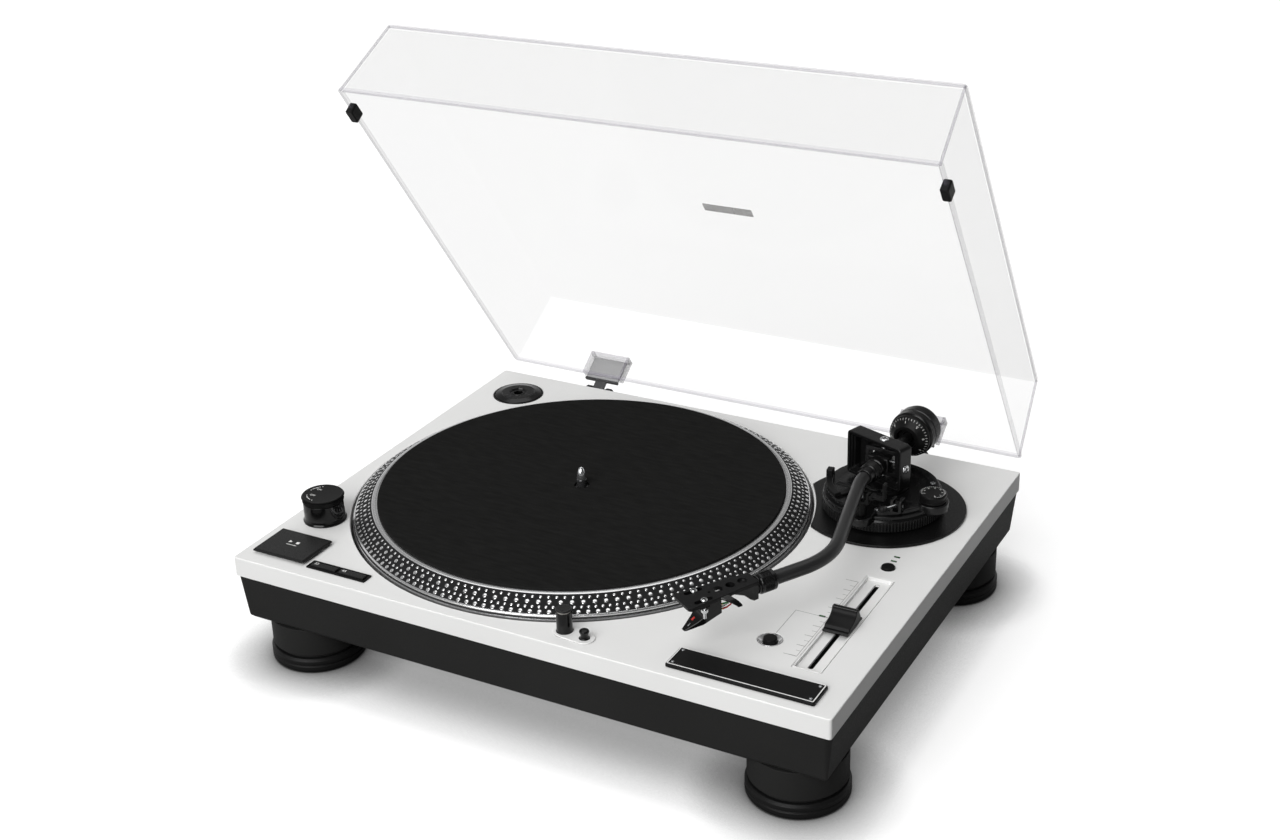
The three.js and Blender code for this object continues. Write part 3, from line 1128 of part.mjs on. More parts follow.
// A curved lever along the ring, on a hub round the frame's flange
function lockLever() {
  const high = leverLow + LEVER_THICKNESS;
  const [start, end] = [LEVER_START_DEG, LEVER_END_DEG].map(THREE.MathUtils.degToRad);
  const arc = new THREE.Shape();
  arc.absarc(0, 0, LEVER_OUTER, start, end);
  arc.absarc(0, 0, LEVER_OUTER - LEVER_WIDTH, end, start, true);
  arc.closePath();
  const bar = solid(raised(arc, leverLow, high, LEVER_STEPS));
  const tip = solid(box(LEVER_WIDTH, LEVER_TIP_LENGTH, high - JOIN, high + LEVER_TIP_HEIGHT)
    .translate(LEVER_OUTER - LEVER_WIDTH / 2, LEVER_TIP_LENGTH / 2, 0).rotateZ(start));
  const hubTop = leverLow + LEVER_HUB_THICKNESS;
  const hub = solid(turned(ringProfile(LEVER_HUB_RADIUS - LEVER_HUB_WALL, LEVER_HUB_RADIUS, leverLow, hubTop)));
  const reach = LEVER_OUTER - LEVER_HUB_RADIUS - LEVER_WIDTH / 2 + LEVER_HUB_WALL;
  const spoke = solid(box(reach, LEVER_SPOKE_WIDTH, leverLow, hubTop)
    .translate(LEVER_OUTER - LEVER_WIDTH / 2 - reach / 2, -LEVER_SPOKE_WIDTH / 2, 0).rotateZ(end));
  return joined(bar, tip, hub, spoke);
}

function antiSkateDial() {
  const low = castingTop + SEAT_GAP;
  const high = castingTop + DIAL_HEIGHT;
  return solid(turned([
    [0, low], [DIAL_RADIUS, low], [DIAL_RADIUS, high - DIAL_BEVEL], [DIAL_RADIUS - DIAL_BEVEL, high], [0, high],
  ])).translate([...dialPlace, 0]);
}

// Arm rest: a cradle below the tube with a wall outside it, on whose top the clip is hinged
const cradleTop = tubeUnder(Math.hypot(...restPlace)) - REST_DROP;
const cradleLow = cradleTop - REST_CRADLE_FLOOR;
const restWallTop = cradleTop + REST_WALL_RISE;
const restWallX = REST_CRADLE_WIDTH / 2;

function armRest() {
  const post = solid(plug(REST_POST_RADIUS, castingTop + SEAT_GAP, cradleLow + JOIN, FACETS_SMALL));
  const cradle = solid(box(REST_CRADLE_WIDTH, REST_CRADLE_LENGTH, cradleLow, cradleTop));
  const wall = solid(box(REST_WALL, REST_CRADLE_LENGTH, cradleLow, restWallTop)
    .translate(restWallX - REST_WALL / 2, 0, 0));
  return joined(post, cradle, wall).translate([...restPlace, 0]);
}

// The clip is a hook hinged on the wall's outer face. Closed, it rises beside the arm tube and
// reaches over it; here it is open, a quarter turn outwards.
const clipAxis = [restWallX + SEAT_GAP + CLIP_BARREL, restWallTop - CLIP_BARREL];

function armRestClip() {
  const barrel = solid(plug(CLIP_BARREL, -REST_CRADLE_LENGTH / 2, REST_CRADLE_LENGTH / 2, FACETS_SMALL)
    .rotateX(Math.PI / 2));
  const side = CLIP_THICKNESS / 2;
  const under = cradleTop + REST_DROP + TUBE_RADIUS * 2 + CLIP_CLEARANCE - clipAxis[1];
  const high = under + CLIP_THICKNESS;
  const hook = solid(raised(polygon([
    [-side, 0], [side, 0], [side, high], [-CLIP_REACH, high], [-CLIP_REACH, under], [-side, under],
  ]), -REST_CRADLE_LENGTH / 2, REST_CRADLE_LENGTH / 2).rotateX(Math.PI / 2).rotateY(Math.PI / 2));
  return joined(barrel, hook).translate([restPlace[0] + clipAxis[0], restPlace[1], clipAxis[1]]);
}

// Cue lever: a hub between the casting's cheeks and a rod with a grip; the lift bar rises with it
const cueAxis = castingTop + CUE_HUB_RADIUS + JOIN + RUNNING_GAP;

function cueLever() {
  const across = (radius, width) => plug(radius, -width / 2, width / 2, FACETS_SMALL).rotateY(Math.PI / 2);
  const hub = solid(across(CUE_HUB_RADIUS, CUE_SLOT));
  const slope = Math.atan2(CUE_ROD_RISE, CUE_ROD_REACH);
  const rodLength = Math.hypot(CUE_ROD_RISE, CUE_ROD_REACH);
  const aim = (geometry) => geometry.rotateX(Math.PI / 2 - slope);
  const rod = solid(aim(plug(CUE_ROD_RADIUS, 0, rodLength, FACETS_SMALL)));
  const grip = solid(aim(plug(CUE_KNOB_RADIUS, rodLength - JOIN, rodLength + CUE_KNOB_LENGTH, FACETS_SMALL)));
  return joined(hub, rod, grip).translate([...cuePlace, cueAxis]);
}

function cuePlatform() {
  const top = tubeUnder(LIFT_DISTANCE) - LIFT_DROP;
  const bar = solid(slab(LIFT_BAR_LENGTH, LIFT_BAR_WIDTH, LIFT_BAR_WIDTH / 3, top - LIFT_BAR_THICKNESS, top)
    .translate(-LIFT_BAR_LENGTH / 4, 0, 0).rotateZ(armTurn));
  const stem = solid(plug(LIFT_STEM_RADIUS, castingTop, top - JOIN, FACETS_SMALL));
  return joined(bar, stem).translate([...liftPlace, 0]);
}

// Fixed gimbal frame: a square ring that faces the middle of the arm's swing
const frameMiddle = (FRAME_LOW + FRAME_TOP) / 2;
const frameHeight = FRAME_TOP - FRAME_LOW;
const frameSideways = GIMBAL_WIDTH / 2 + FRAME_RING_ROOM + FRAME_BAR - FRAME_WIDTH / 2;
const upright = (geometry) => geometry.rotateX(Math.PI / 2);   // an outline's second axis becomes the height

function gimbalFrame() {
  const outer = solid(upright(slab(FRAME_WIDTH, frameHeight, FRAME_CORNER, -FRAME_DEPTH / 2, FRAME_DEPTH / 2))
    .translate(frameSideways, 0, frameMiddle));
  const inner = solid(upright(slab(
    FRAME_WIDTH - FRAME_BAR * 2, frameHeight - FRAME_BAR * 2, FRAME_CORNER / 2, -FRAME_DEPTH, FRAME_DEPTH,
  )).translate(frameSideways, 0, frameMiddle));
  const rebate = solid(upright(slab(
    FRAME_WIDTH - FRAME_BAR, frameHeight - FRAME_BAR, FRAME_CORNER / 2, FRAME_DEPTH / 2 - FRAME_SHOULDER, FRAME_DEPTH,
  )).translate(frameSideways, 0, frameMiddle));
  const flange = solid(plug(FRAME_FLANGE_RADIUS, castingTop + SEAT_GAP, FRAME_LOW + JOIN));
  const topScrew = solid(plug(FRAME_SCREW_RADIUS, FRAME_TOP - JOIN, FRAME_TOP + FRAME_SCREW_PROUD, FACETS_SMALL));
  const sideScrew = solid(plug(FRAME_SCREW_RADIUS, -JOIN, FRAME_SCREW_PROUD, FACETS_SMALL)
    .rotateY(Math.PI / 2).translate(frameSideways + FRAME_WIDTH / 2, 0, frameMiddle));
  return joined(cut(outer, inner, rebate), flange, topScrew, sideScrew);
}

// The swinging ring and the tipping block are drawn round the crossing of the two bearing axes
const frameInside = frameHeight / 2 - FRAME_BAR - SEAT_GAP;
const frameShift = frameMiddle - ARM_HEIGHT;

function gimbalRing() {
  const outer = solid(upright(slab(
    GIMBAL_WIDTH, GIMBAL_HALF_HEIGHT * 2, GIMBAL_BAR / 2, -GIMBAL_DEPTH / 2, GIMBAL_DEPTH / 2,
  )));
  const inner = solid(upright(slab(
    GIMBAL_WIDTH - GIMBAL_BAR * 2, (GIMBAL_HALF_HEIGHT - GIMBAL_BAR) * 2, GIMBAL_BAR / 2, -GIMBAL_DEPTH, GIMBAL_DEPTH,
  )));
  const upperPin = solid(plug(
    GIMBAL_PIN_RADIUS, GIMBAL_HALF_HEIGHT - JOIN, frameShift + frameInside, FACETS_SMALL,
  ));
  const lowerPin = solid(plug(
    GIMBAL_PIN_RADIUS, frameShift - frameInside, -GIMBAL_HALF_HEIGHT + JOIN, FACETS_SMALL,
  ));
  return joined(cut(outer, inner), upperPin, lowerPin);
}

// Pieces along the arm are turned about it: a profile here is a list of [radius, forward distance]
function alongArm(profile, facets = FACETS) {
  const points = profile.map(([radius, forward]) => new THREE.Vector2(radius, -forward));
  return new THREE.LatheGeometry(points, facets);
}

function pivotBlock() {
  const block = solid(new THREE.BoxGeometry(BLOCK_WIDTH, BLOCK_HALF_LENGTH * 2, BLOCK_HALF_HEIGHT * 2));
  const core = solid(alongArm([
    [0, NECK_REACH], [NECK_RADIUS, NECK_REACH], [NECK_RADIUS, BOSS_REACH], [BOSS_RADIUS, BOSS_REACH],
    [BOSS_RADIUS, BLOCK_HALF_LENGTH - JOIN], [BLOCK_HALF_HEIGHT - JOIN, BLOCK_HALF_LENGTH - JOIN],
    [BLOCK_HALF_HEIGHT - JOIN, -BLOCK_HALF_LENGTH + JOIN], [HUB_RADIUS, -BLOCK_HALF_LENGTH + JOIN],
    [HUB_RADIUS, -HUB_REACH], [SHAFT_RADIUS, -HUB_REACH - SHAFT_RADIUS / 2], [SHAFT_RADIUS, -SHAFT_REACH],
    [0, -SHAFT_REACH],
  ], FACETS_SMALL));
  const pinReach = GIMBAL_WIDTH / 2 - GIMBAL_BAR - SEAT_GAP;
  const pins = solid(plug(BLOCK_PIN_RADIUS, -pinReach, pinReach, FACETS_SMALL).rotateY(Math.PI / 2));
  return joined(block, core, pins);
}

// Arm tube: straight runs joined by round bends
const onArm = ([sideways, forward]) => new THREE.Vector3(sideways, -forward, 0);
const tubeStart = onArm([0, NECK_REACH + SEAT_GAP]);
const tubeFirst = onArm(TUBE_FIRST_BEND);
const tubeSecond = onArm(TUBE_SECOND_BEND);
const tubeJoint = onArm(TUBE_END);
const headTurn = Math.atan2(tubeJoint.x - tubeSecond.x, tubeSecond.y - tubeJoint.y);

function armTube() {
  const toward = (from, to, distance) => from.clone().lerp(to, distance / from.distanceTo(to));
  const end = toward(tubeJoint, tubeSecond, COLLAR_LENGTH + SEAT_GAP * 2);
  const firstIn = toward(tubeFirst, tubeStart, Math.min(
    FIRST_BEND_TANGENT, tubeFirst.distanceTo(tubeStart) * 0.9,
  ));
  const firstOut = toward(tubeFirst, tubeSecond, FIRST_BEND_TANGENT);
  const secondIn = toward(tubeSecond, tubeFirst, SECOND_BEND_TANGENT);
  const secondOut = toward(tubeSecond, tubeJoint, SECOND_BEND_TANGENT);
  const path = new THREE.CurvePath();
  path.add(new THREE.LineCurve3(tubeStart, firstIn));
  path.add(new THREE.QuadraticBezierCurve3(firstIn, tubeFirst, firstOut));
  path.add(new THREE.LineCurve3(firstOut, secondIn));
  path.add(new THREE.QuadraticBezierCurve3(secondIn, tubeSecond, secondOut));
  path.add(new THREE.LineCurve3(secondOut, end));
  const section = new THREE.Shape().absarc(0, 0, TUBE_RADIUS, 0, Math.PI * 2);
  return solid(new THREE.ExtrudeGeometry(section, {
    steps: TUBE_STEPS, extrudePath: path, curveSegments: FACETS_SMALL / 3,
  }));
}

// Headshell and what it carries are drawn pointing straight ahead from the joint
function lockCollar() {
  return solid(alongArm([
    [0, -SEAT_GAP], [COLLAR_RADIUS - COLLAR_LIP, -SEAT_GAP], [COLLAR_RADIUS, -SEAT_GAP - COLLAR_LIP],
    [COLLAR_RADIUS, -COLLAR_LENGTH + COLLAR_LIP], [COLLAR_RADIUS - COLLAR_LIP, -COLLAR_LENGTH], [0, -COLLAR_LENGTH],
  ]));
}

const shellTop = HEADSHELL_RISE;
const shellLow = HEADSHELL_RISE - HEADSHELL_THICKNESS;
const common = (first, second) => first.intersect(second);

// A side view is drawn as [forward, height] and pushed out to both sides
function fromTheSide(points, half) {
  const outline = polygon(points.map(([forward, height]) => [-forward, height]));
  return solid(raised(outline, -half, half).rotateX(Math.PI / 2).rotateZ(Math.PI / 2));
}

const fromAbove = (points) => polygon(points.map(([sideways, forward]) => [sideways, -forward]));

function headshell() {
  const [front, rear] = [HEADSHELL_FRONT / 2, HEADSHELL_REAR / 2];
  const shoulder = HEADSHELL_REACH - HEADSHELL_CHAMFER;
  const plate = solid(raised(fromAbove([
    [-rear, HEADSHELL_SETBACK], [-front, shoulder], [-front + HEADSHELL_CHAMFER, HEADSHELL_REACH],
    [front - HEADSHELL_CHAMFER, HEADSHELL_REACH], [front, shoulder], [rear, HEADSHELL_SETBACK],
  ]), shellLow, shellTop));
  const tail = fromTheSide([
    [HEADSHELL_SETBACK, shellTop - JOIN], ...TAIL_SIDE, [TAIL_SIDE.at(-1)[0], shellTop - JOIN],
  ], rear - SEAT_GAP);
  const neck = solid(alongArm([
    [0, 0], [HEADSHELL_NECK, 0], [HEADSHELL_NECK, HEADSHELL_SETBACK + JOIN], [0, HEADSHELL_SETBACK + JOIN],
  ]));
  const slots = [-1, 1].map((side) => solid(
    slab(HEADSHELL_SLOT_WIDTH, HEADSHELL_SLOT_LENGTH, HEADSHELL_SLOT_WIDTH / 3, shellLow - OVERRUN, shellTop + OVERRUN)
      .translate(side * HEADSHELL_SLOT_SPACING / 2, HEADSHELL_SLOT_SETBACK - HEADSHELL_REACH, 0),
  ));
  const blind = shellLow + JOIN;
  const holes = [shellLow - OVERRUN, shellLow - OVERRUN, blind].map((low, place) => solid(
    plug(HEADSHELL_HOLE, low, shellTop + OVERRUN, FACETS_SMALL)
      .translate(0, HEADSHELL_HOLE_SETBACK - HEADSHELL_REACH + place * HEADSHELL_HOLE_SPACING, 0),
  ));
  const reach = FINGER_PLAN[0][1];
  const bow = solid(raised(polygon([...FINGER_TOP, ...FINGER_SOLE]), -reach, reach).rotateX(Math.PI / 2));
  const finger = common(bow, solid(raised(fromAbove(FINGER_PLAN), -reach, reach)));
  return joined(cut(joined(plate, tail, neck), ...slots, ...holes), finger);
}

function cartridge() {
  const top = shellLow - SEAT_GAP;
  const rear = CARTRIDGE_SIDE[0][0];
  const nose = CARTRIDGE_SIDE[3][0];
  const side = fromTheSide([[rear, top], ...CARTRIDGE_SIDE.slice(0, -1), [CARTRIDGE_SIDE.at(-1)[0], top]], CARTRIDGE_HALF);
  const plan = solid(raised(fromAbove([
    [-CARTRIDGE_HALF, 0], [-CARTRIDGE_HALF, CARTRIDGE_SHOULDER], [-CARTRIDGE_NOSE, nose],
    [CARTRIDGE_NOSE, nose], [CARTRIDGE_HALF, CARTRIDGE_SHOULDER], [CARTRIDGE_HALF, 0],
  ]), -HEADSHELL_REACH, HEADSHELL_REACH));
  const ears = solid(box(CARTRIDGE_EAR_WIDTH, CARTRIDGE_EAR_LENGTH, top - CARTRIDGE_EAR_THICKNESS, top)
    .translate(0, HEADSHELL_SLOT_SETBACK - HEADSHELL_REACH, 0));
  const stylus = solid(turned([
    [0, -STYLUS_LENGTH], [STYLUS_RADIUS, 0], [STYLUS_RADIUS, STYLUS_LENGTH], [0, STYLUS_LENGTH],
  ], FACETS_SMALL / 2).translate(0, -STYLUS_REACH, CARTRIDGE_SIDE[2][1] + STYLUS_RADIUS / 2));
  return joined(common(side, plan), ears, stylus);
}

// Counterweight: a threaded sleeve on the shaft, with the weight and its dial turning on it
const sleeveBore = SHAFT_RADIUS + RUNNING_GAP;
const sleeveOuter = sleeveBore + WEIGHT_SLEEVE_WALL;
const weightBore = sleeveOuter + RUNNING_GAP;

const weightSleeve = () => solid(alongArm([
  [sleeveBore, -WEIGHT_SLEEVE_FRONT], [sleeveOuter, -WEIGHT_SLEEVE_FRONT],
  [sleeveOuter, -WEIGHT_FRONT - WEIGHT_LENGTH - RUNNING_GAP],
  [sleeveOuter + WEIGHT_SLEEVE_LIP, -WEIGHT_FRONT - WEIGHT_LENGTH - RUNNING_GAP],
  [sleeveOuter + WEIGHT_SLEEVE_LIP, -WEIGHT_SLEEVE_REACH], [sleeveBore, -WEIGHT_SLEEVE_REACH],
  [sleeveBore, -WEIGHT_SLEEVE_FRONT],
]));

function counterweight() {
  const back = WEIGHT_FRONT + WEIGHT_LENGTH;
  const band = back - WEIGHT_BAND_LENGTH;
  return solid(alongArm([
    [weightBore, -WEIGHT_FRONT], [WEIGHT_RADIUS - WEIGHT_BAND, -WEIGHT_FRONT],
    [WEIGHT_RADIUS, -WEIGHT_FRONT - WEIGHT_BAND], [WEIGHT_RADIUS, -band], [WEIGHT_RADIUS - WEIGHT_BAND, -band],
    [WEIGHT_RADIUS - WEIGHT_BAND, -back + WEIGHT_BAND * 2], [WEIGHT_RADIUS - WEIGHT_BAND * 3, -back],
    [weightBore, -back], [weightBore, -WEIGHT_FRONT],
  ]));
}

function weightDial() {
  const back = WEIGHT_FRONT - SEAT_GAP;
  return solid(alongArm([
    [weightBore, -WEIGHT_DIAL_FRONT], [WEIGHT_DIAL_SMALL, -WEIGHT_DIAL_FRONT],
    [WEIGHT_DIAL_LARGE, -back + WEIGHT_DIAL_BAND], [WEIGHT_DIAL_LARGE, -back], [weightBore, -back],
    [weightBore, -WEIGHT_DIAL_FRONT],
  ]));
}

// Dust cover: five thin walls that lean inwards
const rimLow = COVER_LIFT - HINGE_Z;
const rimBack = (COVER_DEPTH - 2 * HINGE_Y) / 2;
const rimMiddle = rimBack - COVER_DEPTH / 2;

function coverLoop(inset, height) {
  const share = (height - rimLow) / COVER_HEIGHT;
  const front = rimMiddle - COVER_DEPTH / 2 + COVER_FRONT_TAPER * share + inset;
  const back = rimBack - COVER_BACK_TAPER * share - inset;
  const half = COVER_WIDTH / 2 - COVER_SIDE_TAPER * share - inset;
  return [[-half, front, height], [half, front, height], [half, back, height], [-half, back, height]];
}

// On its back wall the cover has a clear pocket for each hinge blade
const bladeY = rimBack + POCKET_DEPTH / 2;

function hingePocket(x) {
  const block = solid(box(POCKET_WIDTH, POCKET_DEPTH + POCKET_WALL, POCKET_LOW, POCKET_TOP)
    .translate(x, rimBack + (POCKET_DEPTH - POCKET_WALL) / 2, 0));
  const room = solid(box(
    BLADE_WIDTH + SEAT_GAP * 2, BLADE_THICKNESS + SEAT_GAP * 2, POCKET_LOW - OVERRUN, BLADE_TOP + SEAT_GAP,
  ).translate(x, bladeY, 0));
  return [block, room];
}

function dustCover() {
  const top = rimLow + COVER_HEIGHT;
  const shell = solid(loft([
    coverLoop(COVER_WALL, top - COVER_WALL), coverLoop(COVER_WALL, rimLow), coverLoop(0, rimLow), coverLoop(0, top),
  ]));
  const pockets = hingeSides.map(({ x }) => hingePocket(x));
  return cut(joined(shell, ...pockets.map(([block]) => block)), ...pockets.map(([, room]) => room));
}

function hingeBlade() {
  const barrelLength = HINGE_BASE_WIDTH - HINGE_EAR * 2 - RUNNING_GAP * 2;
  const barrel = solid(turned(ringProfile(
    HINGE_PIN_RADIUS + RUNNING_GAP, HINGE_BARREL_RADIUS, -barrelLength / 2, barrelLength / 2,
  ), FACETS_SMALL).rotateY(Math.PI / 2));
  const neck = solid(box(BLADE_NECK_WIDTH, BLADE_THICKNESS, 0, BLADE_LOW + JOIN)
    .translate(0, bladeY, 0));
  const blade = solid(box(BLADE_WIDTH, BLADE_THICKNESS, BLADE_LOW, BLADE_TOP).translate(0, bladeY, 0));
  return joined(barrel, neck, blade);
}

// The base is screwed to the housing's back: two ears with a pin between them
function hingeBase() {
  const front = PLINTH_DEPTH / 2 - HINGE_Y + SEAT_GAP;
  const low = -HINGE_BASE_DROP;
  const web = solid(box(HINGE_BASE_WIDTH, HINGE_BASE_DEPTH, low, -HINGE_ROUND)
    .translate(0, front + HINGE_BASE_DEPTH / 2, 0));
  const gap = HINGE_BASE_WIDTH - HINGE_EAR * 2;
  const ears = [-1, 1].map((side) => {
    const place = side * (gap + HINGE_EAR) / 2;
    const stand = solid(box(HINGE_EAR, HINGE_BASE_DEPTH, -HINGE_ROUND - JOIN, 0)
      .translate(place, front + HINGE_BASE_DEPTH / 2, 0));
    const crown = solid(plug(HINGE_BASE_DEPTH / 2, -HINGE_EAR / 2, HINGE_EAR / 2, FACETS_SMALL)
      .rotateY(Math.PI / 2).translate(place, front + HINGE_BASE_DEPTH / 2, 0));
    return joined(stand, crown);
  });
  const pin = solid(plug(HINGE_PIN_RADIUS, -gap / 2 - JOIN, gap / 2 + JOIN, FACETS_SMALL).rotateY(Math.PI / 2));
  return joined(web, ...ears, pin);
}

// A rubber bumper hugs the side rim and keeps the closed cover off the plate
function bumper(side) {
  const wall = COVER_WIDTH / 2 - COVER_WALL / 2;
  const low = -HINGE_Z + SEAT_GAP;
  const lean = COVER_SIDE_TAPER * BUMPER_RISE / COVER_HEIGHT;
  const outer = COVER_WALL / 2 + SEAT_GAP + BUMPER_WALL;
  const block = solid(box(outer * 2 + lean, BUMPER_LENGTH, low, rimLow + BUMPER_RISE)
    .translate(-lean / 2, 0, 0));
  const room = solid(box(
    COVER_WALL + SEAT_GAP * 2 + lean, BUMPER_LENGTH + OVERRUN, rimLow - SEAT_GAP, rimLow + BUMPER_RISE + OVERRUN,
  ).translate(-lean / 2, 0, 0));
  const clip = cut(block, room);
  const turnedRound = side > 0 ? clip : clip.mirror([1, 0, 0]);
  const y = rimMiddle - COVER_DEPTH / 2 + BUMPER_SETBACK + BUMPER_LENGTH / 2;
  return turnedRound.translate([side * wall, y, 0]);
}

// Assembly
function group(position, children, turn = [0, 0, 0]) {
  const holder = new THREE.Group();
  holder.position.set(...position);
  holder.rotation.set(...turn.map(THREE.MathUtils.degToRad));
  holder.add(...children);
  return holder;
}

const head = group(tubeJoint.toArray(), [
  piece('lock_collar', BLACK_METAL, lockCollar()),
  piece('headshell', BLACK_METAL, headshell()),
  piece('cartridge', BLACK_PLASTIC, cartridge()),
]);
head.rotation.z = headTurn;

const armTip = group([0, 0, 0], [
  piece('pivot_block', BLACK_METAL, pivotBlock()),
  piece('arm_tube', BLACK_METAL, armTube()),
  head,
  piece('weight_sleeve', BLACK_METAL, weightSleeve()),
  piece('counterweight', BLACK_METAL, counterweight()),
  piece('weight_dial', BLACK_PLASTIC, weightDial()),
], [ARM_TILT_DEG, 0, 0]);

const arm = group([PIVOT_X, PIVOT_Y, ARM_HEIGHT], [
  piece('gimbal_ring', BLACK_METAL, gimbalRing()), armTip,
], [0, 0, ARM_TURN_DEG]);

const frameHolder = group([PIVOT_X, PIVOT_Y, 0], [
  piece('gimbal_frame', BLACK_METAL, gimbalFrame()),
], [0, 0, FRAME_TURN_DEG]);

const armFittings = group([PIVOT_X, PIVOT_Y, 0], [
  piece('arm_disc', BLACK_METAL, armDisc()),
  piece('height_ring', BLACK_METAL, heightRing()),
  piece('height_lock_lever', BLACK_PLASTIC, lockLever()),
  piece('arm_base', BLACK_METAL, armBase()),
  piece('anti_skate_dial', BLACK_PLASTIC, antiSkateDial()),
  piece('arm_rest', BLACK_PLASTIC, armRest()),
  piece('arm_rest_clip', BLACK_PLASTIC, armRestClip()),
  piece('cue_lever', BLACK_PLASTIC, cueLever()),
  piece('cue_platform', BLACK_PLASTIC, cuePlatform()),
]);

const platterGroup = group([PLATTER_X, 0, 0], [
  piece('platter', ALLOY, platter()),
  piece('slipmat', FELT, slipmat()),
  piece('spindle', STEEL, spindle()),
  piece('rotor_magnet', BLACK_METAL, rotorMagnet()),
  piece('stator', COPPER, stator()),
  piece('spindle_bearing', STEEL, spindleBearing()),
]);

const hingeSides = [
  { name: 'left', x: -HINGE_SPACING / 2 },
  { name: 'right', x: HINGE_SPACING / 2 },
];

const hingeBases = hingeSides.map(({ name, x }) => group([x, HINGE_Y, HINGE_Z], [
  piece(`hinge_base_${name}`, BLACK_PLASTIC, hingeBase()),
]));

const cover = group([0, HINGE_Y, HINGE_Z], [
  piece('dust_cover', CLEAR, dustCover()),
  ...hingeSides.map(({ name, x }) => group([x, 0, 0], [
    piece(`hinge_blade_${name}`, STEEL, hingeBlade()),
  ])),
  piece('bumper_left', RUBBER, bumper(-1)),
  piece('bumper_right', RUBBER, bumper(1)),
], [-COVER_OPEN_DEG, 0, 0]);

const deckPieces = [
  piece('top_plate', SILVER, topPlate()),
  piece('base_housing', BLACK_PLASTIC, housing()),
  piece('bottom_cover', BLACK_METAL, bottomCover()),
  piece('drive_board', BOARD_GREEN, driveBoard()),
  piece('transformer', STEEL, transformer()),
  piece('audio_terminals', STEEL, audioTerminals()),
  piece('power_inlet', BLACK_PLASTIC, powerInlet()),
  piece('power_tower', BLACK_GLOSS, powerTower()),
  piece('power_ring', BLACK_GLOSS, powerRing()),
  piece('start_stop_button', BLACK_PLASTIC, startStopButton()),
  piece('speed_bezel', BLACK_PLASTIC, speedBezel()),
  piece('button_33', BLACK_PLASTIC, speedButton(-1)),
  piece('button_45', BLACK_PLASTIC, speedButton(1)),
  piece('lamp_bezel', SILVER, lampBezel()),
  piece('target_lamp', BLACK_GLOSS, targetLamp()),
  piece('lamp_button', BLACK_GLOSS, roundButton(LAMP_KEY_RADIUS, LAMP_KEY_HEIGHT)
    .translate([LAMP_KEY_X, LAMP_KEY_Y, 0])),
  piece('quartz_ring', SILVER, quartzRing()),
  piece('quartz_button', BLACK_PLASTIC, roundButton(QUARTZ_RADIUS, ROUND_KEY_HEIGHT)
    .translate([QUARTZ_X, QUARTZ_Y, 0])),
  piece('reset_button', BLACK_PLASTIC, roundButton(RESET_RADIUS, ROUND_KEY_HEIGHT)
    .translate([RESET_X, RESET_Y, 0])),
  piece('slider_track', SILVER, sliderTrack()),
  piece('slider_knob', BLACK_GLOSS, sliderKnob()),
  piece('name_plate', BLACK_METAL, namePlate()),
  piece('adapter_dish', BLACK_PLASTIC, adapterDish()),
  piece('adapter', BLACK_METAL, adapter()),
];

const feet = footPlaces.map(({ name, x, y }) => group([x, y, 0], [piece(name, RUBBER, foot())]));
const deck = group([0, 0, DECK], [
  ...deckPieces, platterGroup, ...hingeBases, cover, armFittings, frameHolder, arm,
]);

// The origin is the middle of the whole object's box, on the surface that it stands on
const turntable = group([0, 0, 0], [...feet, deck]);
turntable.updateMatrixWorld(true);
const reach = new THREE.Box3().setFromObject(turntable, true);
turntable.position.set(-(reach.min.x + reach.max.x) / 2, -(reach.min.y + reach.max.y) / 2, -reach.min.z);

export default turntable;
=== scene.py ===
"""Looks of the direct drive turntable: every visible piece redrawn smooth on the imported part."""
import math
import bmesh
import bpy
from mathutils import Matrix, Vector


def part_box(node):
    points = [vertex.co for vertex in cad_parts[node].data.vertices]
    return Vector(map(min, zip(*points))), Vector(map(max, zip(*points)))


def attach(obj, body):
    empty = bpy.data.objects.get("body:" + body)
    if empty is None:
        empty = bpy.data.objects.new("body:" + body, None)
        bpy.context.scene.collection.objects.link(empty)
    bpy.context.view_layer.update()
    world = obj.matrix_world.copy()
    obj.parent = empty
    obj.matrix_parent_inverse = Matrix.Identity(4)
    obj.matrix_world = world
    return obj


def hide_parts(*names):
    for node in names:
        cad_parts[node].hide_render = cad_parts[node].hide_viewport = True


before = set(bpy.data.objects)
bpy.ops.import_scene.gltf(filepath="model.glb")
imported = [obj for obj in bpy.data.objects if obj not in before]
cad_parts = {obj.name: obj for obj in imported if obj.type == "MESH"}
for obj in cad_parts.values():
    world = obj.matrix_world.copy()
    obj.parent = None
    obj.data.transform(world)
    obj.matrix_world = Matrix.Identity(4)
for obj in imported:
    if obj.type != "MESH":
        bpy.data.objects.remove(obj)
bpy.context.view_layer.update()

# Everything is drawn in millimetres from the middle of the deck, with the deck's face at zero.
plate_low, plate_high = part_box("top_plate")
platter_low, platter_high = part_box("platter")
DECK_MIDDLE = Vector(((plate_low.x + plate_high.x) / 2, (platter_low.y + platter_high.y) / 2, plate_high.z))
DECK_TO_ROW = Matrix.Translation(DECK_MIDDLE) @ Matrix.Scale(0.001, 4)
FLOOR_Z = -85

# Places on the deck that more than one shape is drawn at.
PLATTER_AT = (-46.5, 0)
PIVOT_AT = (154, 81.5)
START_KEY_AT = (-194.4, -149)
SPEED_KEYS_AT = (-145, -162)
LAMP_AT = (33.5, -160.5)
LAMP_KEY_AT = (49.5, -163)
QUARTZ_AT = (155.4, -111.9)
RESET_AT = (189, 3.8)
SLIDER_AT = (190, -72.8)
ADAPTER_AT = (-189, 140)
POWER_AT = (-201, -103.5)
FOOT_AT = (187.8, 140.2)
HINGE_AT = (137.8, 182.7, -8)

# Places on the arm base, from the arm's pivot.
ANTI_SKATE_AT = (40, -7.5)
REST_AT = (3, -48.5)
CUE_AT = (23, -31.5)
LIFT_AT = (-2.963, -33.871)


